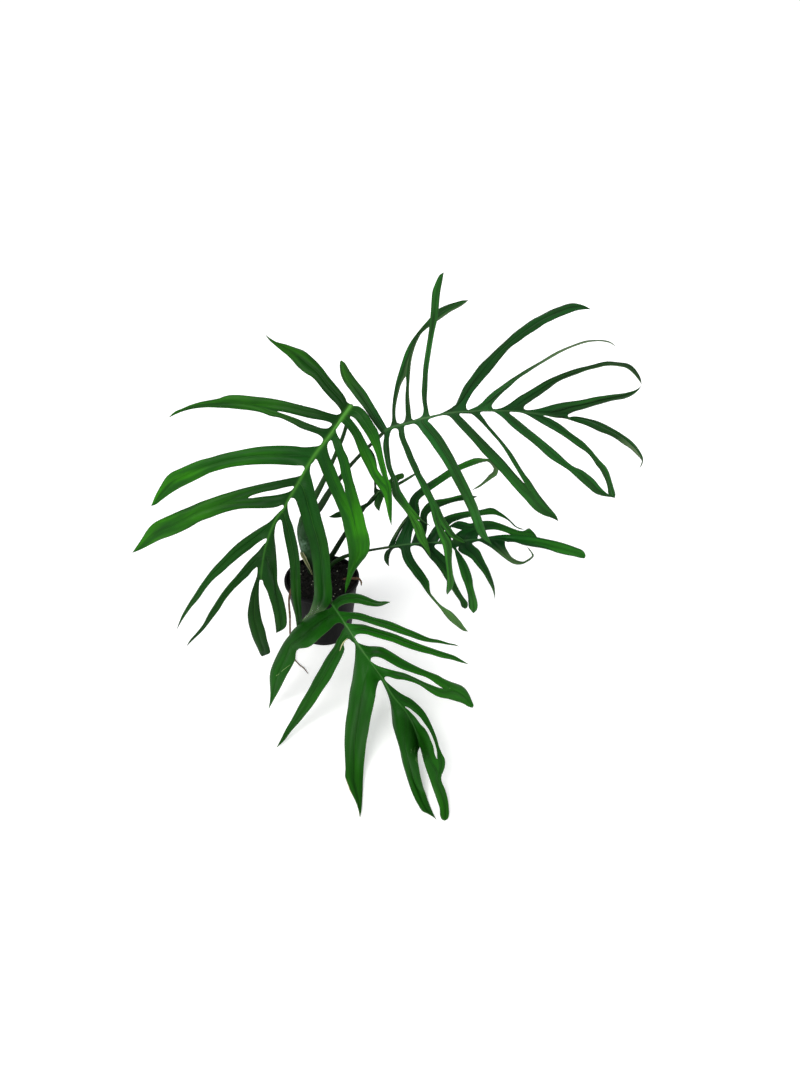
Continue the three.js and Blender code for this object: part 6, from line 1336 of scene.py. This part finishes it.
STEM_PTS = via("317,590,1.812 315,578,1.785 311,562,1.755 305.5,545,1.722 303.3,532,1.701 304.5,524,1.687")
STEM_R = np.array([9, 12.5, 13.5, 14, 14.2, 14.5]) / 1000
S_TOP = STEM_PTS[-1]
S_DIR = STEM_PTS[-1] - STEM_PTS[-2]
S_DIR = S_DIR / np.linalg.norm(S_DIR)
S_SIDE = np.cross(SIGHT, S_DIR)
S_SIDE = S_SIDE / np.linalg.norm(S_SIDE)
out = lambda side, up: S_TOP + S_DIR * up / 1000 + S_SIDE * side / 1000
STALKS = {
    "petiole_left": (np.vstack([out(-5.4, -26), out(-7.0, 2.2), out(-7.1, 9), via("309.5,506,1.650 315.9,495,1.629 324.2,479,1.598 333.4,459.5,1.564 343.6,434.8,1.526 349,415,1.497 351.55,405.75,1.4818"), via("350.0,405.8,1.4800")]), [5.8, 7.2, 7.2, 7.3, 7.1, 6.0, 4.8, 4.1, 3.7, 3.4, 2.9]),
    "petiole_right": (np.vstack([out(5.4, -26), out(7.3, 2.2), out(8.1, 8), via("313.6,515,1.668 319.6,507.5,1.652 329.7,491.5,1.622 339.3,479,1.600 349,467,1.585 361,454,1.560 372,443.5,1.530 381.45,434.55,1.5018 384.5,431.8,1.4985")]), [5.8, 7.2, 7.5, 7.9, 8.0, 7.3, 5.4, 4.3, 3.9, 3.5, 3.3, 2.6]),
    "petiole_front": (via("326,581,1.795 323,573.5,1.757 321.5,565,1.715 322.5,566,1.670 325.5,576,1.632 328.5,590,1.607 330.65,601.3,1.5862 332.3,604.3,1.5820"), [6, 6, 5.6, 5, 4.4, 4, 3.4, 2.6]),
    "petiole_low_right": (via("329.2,577.5,1.8150 328.6,570,1.7799 333,563.4,1.762 344,556.9,1.736 357,552.9,1.706 372,549.9,1.672 387.3,547.4,1.6415 392,546.6,1.6395"), [5.2, 5.4, 5.4, 4.8, 3.7, 3.0, 2.5, 2.2]),
    "petiole_young": (via("322,574,1.8227 325.5,565,1.7939 333,553.6,1.755 344.8,534.6,1.702 356,519,1.668 366,506,1.634 374.0,495.9,1.6075 376.5,492.8,1.6050"), [6.2, 6.4, 6.4, 5.8, 4.5, 3.3, 2.4, 1.8]),
}
M["stalk"] = stalk_mat("stalk_green", lin(12, 48, 8), lin(22, 62, 16), lin(92, 116, 72), 0.5, 0.12)
# the next two are darker copies of the stalk colour: painted shade for the petioles that run behind and under the
# leaves
M["stalk_dark"] = stalk_mat("stalk_dark", lin(8, 32, 6), lin(16, 46, 11), lin(76, 98, 60), 0.5, 0.12)
M["stalk_night"] = stalk_mat("stalk_night", lin(4, 18, 3), lin(9, 28, 6), lin(46, 64, 36), 0.55, 0.08)
for nm, (pts, rad) in STALKS.items():
    n = 90
    path = catmull(pts, n)
    r = radius_along(rad, n) / 1000
    run = arclen(path)
    L = run[-1]
    nz = grid_noise(hash_seed := sum(map(ord, nm)))
    r = r * (1 + 0.035 * nz(run / 0.022))
    knee = bump(run - (L - 0.016), 0.010)  # the joint just under the blade is a little swollen
    r = r * (1 + 0.16 * knee)
    V_, F_, uv = tube(path, r, 16, flat=(1.0, 0.94))
    ang = np.linspace(0, 2 * np.pi, 16, endpoint=False)
    tone = np.r_[np.repeat(0.55 * knee + 0.05, 16), 0.0, 0.3]
    B = Build()
    B.add(V_, F_, 0, uv, uv, tone)
    B.make(nm + "_stalk", [M[{"petiole_right": "stalk_dark", "petiole_young": "stalk_night", "petiole_low_right": "stalk_dark"}.get(nm, "stalk")]], nm)

# main stem: leaf sheaths wrapped round each other, with a bluish bloom
m = Mat("stem_bloom", 0.5, 0.12)
u, run_, uv_ = m.uvs("vein")
st = m.noise(m.vec(m.math("MULTIPLY", u, 34.0), m.math("MULTIPLY", run_, 16.0), 0.0), 1.0, 3.0, 0.6)
col = m.mix(m.node("ShaderNodeMapRange", ins={0: st, 1: 0.3, 2: 0.7}).outputs[0], lin(14, 42, 14), lin(30, 66, 30))
bl = m.noise(m.obj(), 70.0, 3.0, 0.6)
blf = m.math("MULTIPLY", m.node("ShaderNodeMapRange", ins={0: bl, 1: 0.40, 2: 0.66}).outputs[0], m.attr("tone"))
col = m.mix(m.math("MULTIPLY", blf, 0.5), col, lin(116, 146, 124))
col = m.mix(m.math("SUBTRACT", 1.0, m.attr("pale")), col, lin(16, 20, 12))
m.color(col)
m.bump(m.math("ADD", st, m.math("MULTIPLY", bl, 0.4)), 0.4, 0.001)
m.rough(0.4, 0.65, bl)
M["stem"] = m.m
n = 110
path = catmull(np.vstack([STEM_PTS, out(0.6, 18)]), n)
r = radius_along(np.r_[STEM_R, 0.0115], n)
run = arclen(path)
V_, F_, uv = tube(path, r, 40)
# rings left by old leaves, and the wrapped sheath edges as long shallow steps
c = np.repeat(np.arange(n + 1), 40)
a = np.tile(np.linspace(0, 2 * np.pi, 40, endpoint=False), n + 1)
rr = np.ones(len(c))
t_ = run[c] / run[-1]
for a0, tw, dep in ((0.6, 2.2, 0.07), (3.6, -1.6, 0.06)):
    d_ = (a - a0 - tw * t_ + np.pi) % (2 * np.pi) - np.pi
    rr -= dep * np.clip(1 - np.abs(d_) / 0.9, 0, 1) * (d_ > 0) * ease(t_ / 0.3)
for zr in (0.16, 0.30, 0.43):
    rr += 0.05 * bump(t_ - zr, 0.012) - 0.035 * bump(t_ - zr - 0.03, 0.02)
rr *= 1 - 0.55 * ease((t_ - 0.88) / 0.12) ** 2
V2 = V_.copy()
V2[:-2] = path[c] + (V_[:-2] - path[c]) * rr[:, None]
tone = np.r_[0.12 + 0.88 * bump(t_ - 0.70, 0.075), 0.3, 0.3]
B = Build()
B.add(V2, F_, 0, uv, uv, tone, pale=np.r_[0.25 + 0.75 * ease((t_ - 0.40) / 0.135), 0.3, 0.9])
B.make("main_stem_sheath", [M["stem"]], "main_stem")

# dry sheath edge: a thin crinkled strip
m = Mat("dry_papery", 0.75, 0.2)
u, run_, uv_ = m.uvs("vein")
st = m.noise(m.vec(m.math("MULTIPLY", u, 60.0), m.math("MULTIPLY", run_, 40.0), 0.0), 1.0, 4.0, 0.6)
mid_ = m.node("ShaderNodeMapRange", ins={0: m.math("ABSOLUTE", m.math("SUBTRACT", u, 0.55)), 1: 0.06, 2: 0.36}).outputs[0]
pap = m.ramp(st, [(0.25, lin(88, 92, 58)), (0.5, lin(134, 136, 100)), (0.75, lin(180, 178, 142))])
m.color(m.mix(mid_, m.ramp(st, [(0.3, lin(40, 54, 26)), (0.7, lin(96, 104, 66))]), pap))
m.bump(st, 0.6, 0.0012)
M["dry"] = m.m
pts = via("312.8,574.5,1.7594 310.2,568.5,1.7482 307.2,562.5,1.7370 304.4,557,1.7270 301.9,552,1.7190")
n, w_ = 60, 14
path = catmull(pts, n)
T = np.gradient(path, axis=0)
T /= np.linalg.norm(T, axis=1)[:, None]
ac = np.array([-0.928, 0.28, -0.119])
ac /= np.linalg.norm(ac)
nz1, nz2 = grid_noise(5), grid_noise(6)
V_, F_, uv = [], [], []
for k in range(n + 1):
    u_ = k / n
    nn = np.cross(T[k], ac)
    nn /= np.linalg.norm(nn)
    wd = 0.0112 * (0.12 + 0.88 * math.sin(math.pi / 2 * min(1, u_ / 0.75))) * (1 + 0.12 * nz1(k / 5.0))
    for j in range(w_ + 1):
        x = j / w_ * 2 - 1
        ragged = T[k] * 0.004 * nz1(j / 1.7 + 30) * ease((u_ - 0.8) / 0.2)
        V_.append(path[k] + ragged + ac * x * wd / 2 + nn * (0.0022 * abs(x) ** 1.5 + 0.0004 * nz2(k / 4.0 + j / 2.3) + 0.0004))
V_ = np.array(V_)
top_n = len(V_)
V_ = np.vstack([V_, V_ - np.repeat([np.cross(T[k], ac) for k in range(n + 1)], w_ + 1, axis=0) * 0.0006])
g_ = lambda k, j, s: s * top_n + k * (w_ + 1) + j
for k in range(n):
    for j in range(w_):
        F_.append([g_(k, j, 0), g_(k, j + 1, 0), g_(k + 1, j + 1, 0), g_(k + 1, j, 0)])
        F_.append([g_(k, j, 1), g_(k + 1, j, 1), g_(k + 1, j + 1, 1), g_(k, j + 1, 1)])
for k in range(n):
    for j in (0, w_):
        F_.append([g_(k, j, 0), g_(k + 1, j, 0), g_(k + 1, j, 1), g_(k, j, 1)][:: 1 if j == 0 else -1])
for j in range(w_):
    for k in (0, n):
        F_.append([g_(k, j, 0), g_(k, j, 1), g_(k, j + 1, 1), g_(k, j + 1, 0)][:: 1 if k == 0 else -1])
uv = [[((i % top_n) % (w_ + 1) / w_, (i % top_n) // (w_ + 1) / n * 0.06) for i in f] for f in F_]
B = Build()
B.add(V_, F_, 0, uv, uv)
B.make("dry_sheath_edge", [M["dry"]], "dry_sheath")

# roots
m = Mat("root_brown", 0.85, 0.2)
u, run_, uv_ = m.uvs("vein")
st = m.noise(m.vec(m.math("MULTIPLY", u, 14.0), m.math("MULTIPLY", run_, 90.0), 0.0), 1.0, 4.0, 0.65)
m.color(m.ramp(st, [(0.2, lin(40, 28, 20)), (0.5, lin(84, 62, 44)), (0.8, lin(128, 104, 78))]))
m.bump(st, 0.6, 0.0012)
M["root"] = m.m
ROOTS = {
    "aerial_root": ([[-48, -12, 138], [-58, -34, 153], [-62.5, -55, 162.5], [-65.5, -75, 152], [-66, -84, 110], [-69, -88, 60], [-68, -94, 22], [-62, -107, 4.5], [-50, -124, 3.2], [-38, -136, 3.2], [-27, -152, 2.6]], [2.6, 2.6, 2.6, 2.4, 2.2, 2, 1.8, 1.6, 1.4, 1.2, 0.9]),
    "surface_root": ([[40, 8, 136], [58, -2, 152], [74, -10, 158.5], [84, -13, 160.8], [90, -18, 156], [90.5, -23, 149]], [3.2, 3.2, 3, 2.6, 2.2, 1.4]),
}
for nm, (pts, rad) in ROOTS.items():
    n = 130 if nm == "aerial_root" else 60
    path = catmull(np.array(pts) / 1000, n)
    r = radius_along(rad, n) / 1000
    run = arclen(path)
    nz = grid_noise(len(nm))
    r = r * (1 + 0.10 * nz(run / 0.006) + 0.06 * nz(run / 0.0021 + 40))
    V_, F_, uv = tube(path, r, 10)
    V_[:, 2] = np.maximum(V_[:, 2], 0.0004)
    B = Build()
    B.add(V_, F_, 0, uv, uv)
    B.make(nm + "_fine", [M["root"]], nm)


# ------------------------------------------------------------------ pot
m = Mat("pot_black_plastic", 0.5, 0.07)
n1 = m.noise(m.obj(), 900.0, 2.0, 0.6)
n2 = m.noise(m.obj(), 22.0, 4.0, 0.65)
n3 = m.noise(m.obj(), 160.0, 3.0, 0.7)
col = m.mix(m.node("ShaderNodeMapRange", ins={0: n2, 1: 0.45, 2: 0.75}).outputs[0], lin(4, 4, 5), lin(10, 10, 10))
col = m.mix(m.node("ShaderNodeMapRange", ins={0: n3, 1: 0.64, 2: 0.74, 3: 0.0, 4: 0.25}).outputs[0], col, lin(52, 48, 40))
m.color(col)
m.bump(m.math("ADD", m.math("MULTIPLY", n1, 0.5), n3), 0.25, 0.0006)
m.rough(0.42, 0.62, n2)
M["pot"] = m.m
RW = lambda z: 61 + 20 * z / 146.0
PROFILE = [(0, 0.9), (26, 0.9), (28, 0.0), (57, 0.0), (60, 0.6), (61, 3), (RW(12), 12), (RW(14), 14), (RW(40), 40), (RW(80), 80), (RW(120), 120), (RW(144.5), 144.5), (81.2, 145.9), (84.0, 146.1), (84.7, 146.8), (85, 148), (85, 152.6), (84.4, 154.2), (83.2, 155),
           (81.2, 155), (79.9, 154.4), (79.4, 152.8), (79.4, 143), (RW(120) - 1.6, 120), (RW(60) - 1.6, 60), (RW(6) - 1.7, 6), (57.5, 2.6), (55, 2.0), (0, 2.0)]


def lathe(profile, seg, mod=None):
    V_, F_, uv = [], [], []
    idx = []
    for x, z in profile:
        if x == 0:
            idx.append([len(V_)] * seg)
            V_.append((0, 0, z))
        else:
            row = []
            for s in range(seg):
                a = 2 * math.pi * s / seg
                xx = x if mod is None else x + mod(x, z, a)
                row.append(len(V_))
                V_.append((xx * math.cos(a), xx * math.sin(a), z))
            idx.append(row)
    run = arclen(np.array(profile, float))
    for k in range(len(profile) - 1):
        for s in range(seg):
            t = (s + 1) % seg
            f = [idx[k][s], idx[k][t], idx[k + 1][t], idx[k + 1][s]]
            f = [f[i] for i in range(4) if f[i] != f[i - 1]]
            F_.append(f)
            uv.append([(0, 0)] * len(f))
    return np.array(V_) / 1000, F_, uv


def pot_mod(x, z, a):
    if 14 < z < 60 and x > RW(z) - 0.5:  # low stacking ribs round the foot
        return 0.35 * max(0, math.cos(24 * a)) ** 6 * math.sin(math.pi * (z - 14) / 46)
    return 0.0


prof = []
for (x0, z0), (x1, z1) in zip(PROFILE, PROFILE[1:]):
    k = max(1, int(math.hypot(x1 - x0, z1 - z0) / 6))
    prof += [(x0 + (x1 - x0) * i / k, z0 + (z1 - z0) * i / k) for i in range(k)]
prof.append(PROFILE[-1])
V_, F_, uv = lathe(prof, 144, pot_mod)
B = Build()
B.add(V_, F_, 0, uv, uv)
pot = B.make("pot_body", [M["pot"]], "nursery_pot")
cut = bmesh.new()
for i in range(6):
    a = 2 * math.pi * (i + 0.5) / 6
    bmesh.ops.create_cone(cut, cap_ends=True, segments=28, radius1=0.005, radius2=0.005, depth=0.012)
    bmesh.ops.translate(cut, verts=cut.verts[-56:], vec=(0.044 * math.cos(a), 0.044 * math.sin(a), 0.001))
cme = bpy.data.meshes.new("cutter")
cut.to_mesh(cme)
cut.free()
cob = bpy.data.objects.new("cutter", cme)
bpy.context.scene.collection.objects.link(cob)
bm_ = pot.modifiers.new("holes", "BOOLEAN")
bm_.object = cob
bm_.solver = "EXACT"
bpy.context.view_layer.update()
dg = bpy.context.evaluated_depsgraph_get()
new = bpy.data.meshes.new_from_object(pot.evaluated_get(dg))
pot.modifiers.clear()
old = pot.data
pot.data = new
bpy.data.objects.remove(cob)
bpy.data.meshes.remove(old)
pot.data.polygons.foreach_set("use_smooth", np.ones(len(pot.data.polygons), bool))
try:
    pot.data.set_sharp_from_angle(angle=math.radians(35))
except Exception:
    pass

# ------------------------------------------------------------------ potting mix
m = Mat("mix_soil", 0.95, 0.15)
n1 = m.noise(m.obj(), 260.0, 4.0, 0.7)
n2 = m.noise(m.obj(), 60.0, 3.0, 0.6)
col = m.ramp(n1, [(0.3, lin(4, 4, 3)), (0.55, lin(9, 9, 7)), (0.8, lin(24, 22, 17))])
col = m.mix(m.node("ShaderNodeMapRange", ins={0: n2, 1: 0.55, 2: 0.7, 3: 0.0, 4: 0.5}).outputs[0], col, lin(16, 15, 11))
m.color(col)
m.bump(m.math("ADD", n1, n2), 0.8, 0.002)
M["soil"] = m.m
m = Mat("mix_bark", 0.85, 0.2)
n1 = m.noise(m.obj(), 180.0, 4.0, 0.7, 0.6)
t_ = m.attr("tone")
col = m.ramp(n1, [(0.3, lin(7, 6, 5)), (0.6, lin(20, 17, 13)), (0.85, lin(46, 38, 29))])
col = m.mix(m.math("MULTIPLY", t_, 0.7), col, lin(6, 7, 5))
m.color(col)
m.bump(n1, 0.7, 0.0015)
M["bark"] = m.m
m = Mat("mix_perlite", 0.8, 0.3)
n1 = m.noise(m.obj(), 500.0, 3.0, 0.6)
m.color(m.ramp(n1, [(0.3, lin(110, 112, 96)), (0.7, lin(196, 198, 178))]))
m.bump(n1, 0.5, 0.0008)
M["perlite"] = m.m

rng = np.random.default_rng(77)
B = Build()
SEG, RN = 120, 34
R_TOP = 0.0785
nzs = [(rng.uniform(60, 420), rng.uniform(0, 6.28), rng.uniform(0, 2 * math.pi), rng.uniform(0.0002, 0.0007)) for _ in range(26)]


def mix_h(x, y):
    h = 0.1438 + 0.0032 * np.clip(1 - np.hypot(x, y) / 0.07, 0, 1)
    for fq, ph_, dr, am in nzs:
        h = h + am * np.sin(fq * (x * math.cos(dr) + y * math.sin(dr)) + ph_)
    return h


V_, F_ = [(0.0, 0.0, float(mix_h(0.0, 0.0)))], []
for k in range(1, RN + 1):
    rr_ = R_TOP * k / RN
    for s in range(SEG):
        a = 2 * math.pi * s / SEG
        x, y = rr_ * math.cos(a), rr_ * math.sin(a)
        V_.append((x, y, float(mix_h(x, y)) - (0.001 if k == RN else 0)))
for z, rr_ in ((0.12, 0.0758), (0.06, 0.0675), (0.008, 0.0595), (0.0026, 0.0545)):
    for s in range(SEG):
        a = 2 * math.pi * s / SEG
        V_.append((rr_ * math.cos(a), rr_ * math.sin(a), z))
V_.append((0, 0, 0.0026))
for s in range(SEG):
    F_.append([0, 1 + s, 1 + (s + 1) % SEG])
for k in range(RN + 3):
    for s in range(SEG):
        a, b = 1 + k * SEG + s, 1 + k * SEG + (s + 1) % SEG
        F_.append([a, a + SEG, b + SEG, b])
last = 1 + (RN + 3) * SEG
for s in range(SEG):
    F_.append([last + SEG, last + (s + 1) % SEG, last + s])
B.add(V_, F_, 0)


def chunk(centre, size, rng, sub=1):
    bm = bmesh.new()
    bmesh.ops.create_icosphere(bm, subdivisions=sub, radius=1.0)
    vs = np.array([v.co for v in bm.verts])
    fs = [[v.index for v in f.verts] for f in bm.faces]
    bm.free()
    k = rng.normal(size=(5, 3))
    k /= np.linalg.norm(k, axis=1)[:, None]
    for d in k:  # flat broken faces
        c = rng.uniform(0.45, 0.8)
        t = vs @ d
        vs = vs - np.clip(t - c, 0, None)[:, None] * d
    vs *= 1 + rng.uniform(-0.06, 0.06, (len(vs), 1))
    q = rng.normal(size=4)
    q /= np.linalg.norm(q)
    w, x, y, z = q
    Rm = np.array([[1 - 2 * (y * y + z * z), 2 * (x * y - z * w), 2 * (x * z + y * w)], [2 * (x * y + z * w), 1 - 2 * (x * x + z * z), 2 * (y * z - x * w)], [2 * (x * z - y * w), 2 * (y * z + x * w), 1 - 2 * (x * x + y * y)]])
    return (vs * size) @ Rm.T + centre, fs


n_bark, n_perl = ((440, 42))
for i in range(n_bark + n_perl):
    rr_, a = 0.0745 * math.sqrt(rng.uniform(0.0, 1)), rng.uniform(0, 2 * math.pi)
    x, y = rr_ * math.cos(a), rr_ * math.sin(a)
    if i < n_bark:
        sz = np.array([rng.uniform(0.003, 0.0085), rng.uniform(0.002, 0.005), rng.uniform(0.0012, 0.003)])
        V_, F_ = chunk(np.array([x, y, float(mix_h(x, y)) + 0.0006]), sz, rng, 1)
        B.add(V_, F_, 1, tone=rng.uniform(0, 1))
    else:
        sz = np.full(3, rng.uniform(0.0008, 0.0019)) * rng.uniform(0.8, 1.2, 3)
        V_, F_ = chunk(np.array([x, y, float(mix_h(x, y)) + 0.0012]), sz, rng, 2)
        B.add(V_, F_, 2)
# fine root hairs lying in the mix
for i in range(26):
    a, rr_ = rng.uniform(0, 2 * math.pi), rng.uniform(0.02, 0.065)
    p = np.array([rr_ * math.cos(a), rr_ * math.sin(a)])
    h_ = rng.uniform(0, 2 * math.pi)
    pts = []
    for k in range(5):
        pts.append((p[0], p[1], float(mix_h(p[0], p[1])) + rng.uniform(0.0004, 0.0022)))
        h_ += rng.uniform(-0.8, 0.8)
        p = p + 0.006 * np.array([math.cos(h_), math.sin(h_)])
        if np.hypot(*p) > 0.074:
            p *= 0.074 / np.hypot(*p)
    pth = catmull(np.array(pts), 12)
    V_, F_, uv = tube(pth, np.linspace(0.0007, 0.0003, 13), 6)
    B.add(V_, F_, 1, tone=0.1)
soil = B.make("mix_surface", [M["soil"], M["bark"], M["perlite"]], "potting_mix")
fl = np.array([mi == 0 for mi in B.m])
soil.data.polygons.foreach_set("use_smooth", fl | (np.array(B.m) == 2))


# ------------------------------------------------------------------ floor, light, camera
fm = Mat("floor_pale", 0.9, 0.1)
# the floor glows a little: painted light that brightens it past the lamps and fades the shadows cast on it
fm.b.inputs["Emission Color"].default_value = (1, 1, 1, 1)
fm.b.inputs["Emission Strength"].default_value = 0.3
fn = fm.noise(fm.obj(), 1.3, 2.0, 0.5)
fm.color(fm.ramp(fn, [(0.3, (0.86, 0.86, 0.86, 1)), (0.7, (0.88, 0.88, 0.88, 1))]))
V_, F_ = [(0.0, 0.0, 0.0)], []
prof = [(r_, 0.0) for r_ in (0.4, 0.8, 1.4, 2.2, 3.4, 5, 8, 13, 21, 34, 55, 90)]
SG = 96
for x, z in prof:
    for s in range(SG):
        a = 2 * math.pi * s / SG
        V_.append((x * math.cos(a), x * math.sin(a), z))
for s in range(SG):
    F_.append([0, 1 + s, 1 + (s + 1) % SG])
for k in range(len(prof) - 1):
    for s in range(SG):
        a, b = 1 + k * SG + s, 1 + k * SG + (s + 1) % SG
        F_.append([a, a + SG, b + SG, b])
me = bpy.data.meshes.new("floor")
me.from_pydata(V_, [], F_)
me.materials.append(fm.m)
me.polygons.foreach_set("use_smooth", np.ones(len(F_), bool))
flo = bpy.data.objects.new("floor", me)
bpy.context.scene.collection.objects.link(flo)

# white surround: bright low down like a lit backdrop, softer overhead
world = bpy.data.worlds.new("studio")
world.use_nodes = True
wt = world.node_tree
bg = wt.nodes["Background"]
tc = wt.nodes.new("ShaderNodeTexCoord")
sx = wt.nodes.new("ShaderNodeSeparateXYZ")
wt.links.new(tc.outputs["Generated"], sx.inputs[0])
rp = wt.nodes.new("ShaderNodeValToRGB")
rp.color_ramp.interpolation = "EASE"
e = rp.color_ramp.elements
e[0].position, e[0].color = 0.10, (1.05, 1.05, 1.05, 1)
e[1].position, e[1].color = 0.42, (0.42, 0.42, 0.43, 1)
wt.links.new(sx.outputs[2], rp.inputs[0])
wt.links.new(rp.outputs[0], bg.inputs[0])
bg.inputs[1].default_value = 1.0
bpy.context.scene.world = world


def lamp(name, kind, loc, target, power, col=(1, 1, 1), size=(1.5, 1.5), angle=0.0):
    l = bpy.data.lights.new(name, kind)
    l.energy = power
    l.color = col
    if kind == "AREA":
        l.shape = "RECTANGLE"
        l.size, l.size_y = size
    else:
        l.angle = angle
    o = bpy.data.objects.new(name, l)
    o.location = loc
    o.rotation_mode = "QUATERNION"
    o.rotation_quaternion = (Vector(target) - Vector(loc)).to_track_quat("-Z", "Y")
    bpy.context.scene.collection.objects.link(o)
    return o


lamp("key", "SUN", (-2.2, -3.2, 4.2), (0.1, 0.0, 0.3), 2.6, (1.0, 0.99, 0.97), angle=math.radians(40))
lamp("fill", "SUN", (2.6, -1.6, 2.6), (0.1, 0.0, 0.3), 0.7, (0.97, 0.99, 1.0), angle=math.radians(60))
lamp("back", "AREA", (0.3, 2.4, 2.4), (0.1, 0.0, 0.4), 14, size=(2.0, 1.4))

cam = bpy.data.cameras.new("photo_view")
cam.lens = 26.0
cam.sensor_width = 36.0
cam.sensor_fit = "AUTO"
cam.clip_start, cam.clip_end = 0.05, 60
co = bpy.data.objects.new("photo_view", cam)
co.location = tuple(EYE)
co.rotation_euler = (math.radians(55), 0, 0)
bpy.context.scene.collection.objects.link(co)
bpy.context.scene.camera = co
bpy.context.scene.view_settings.view_transform = "Standard"

bpy.context.view_layer.update()
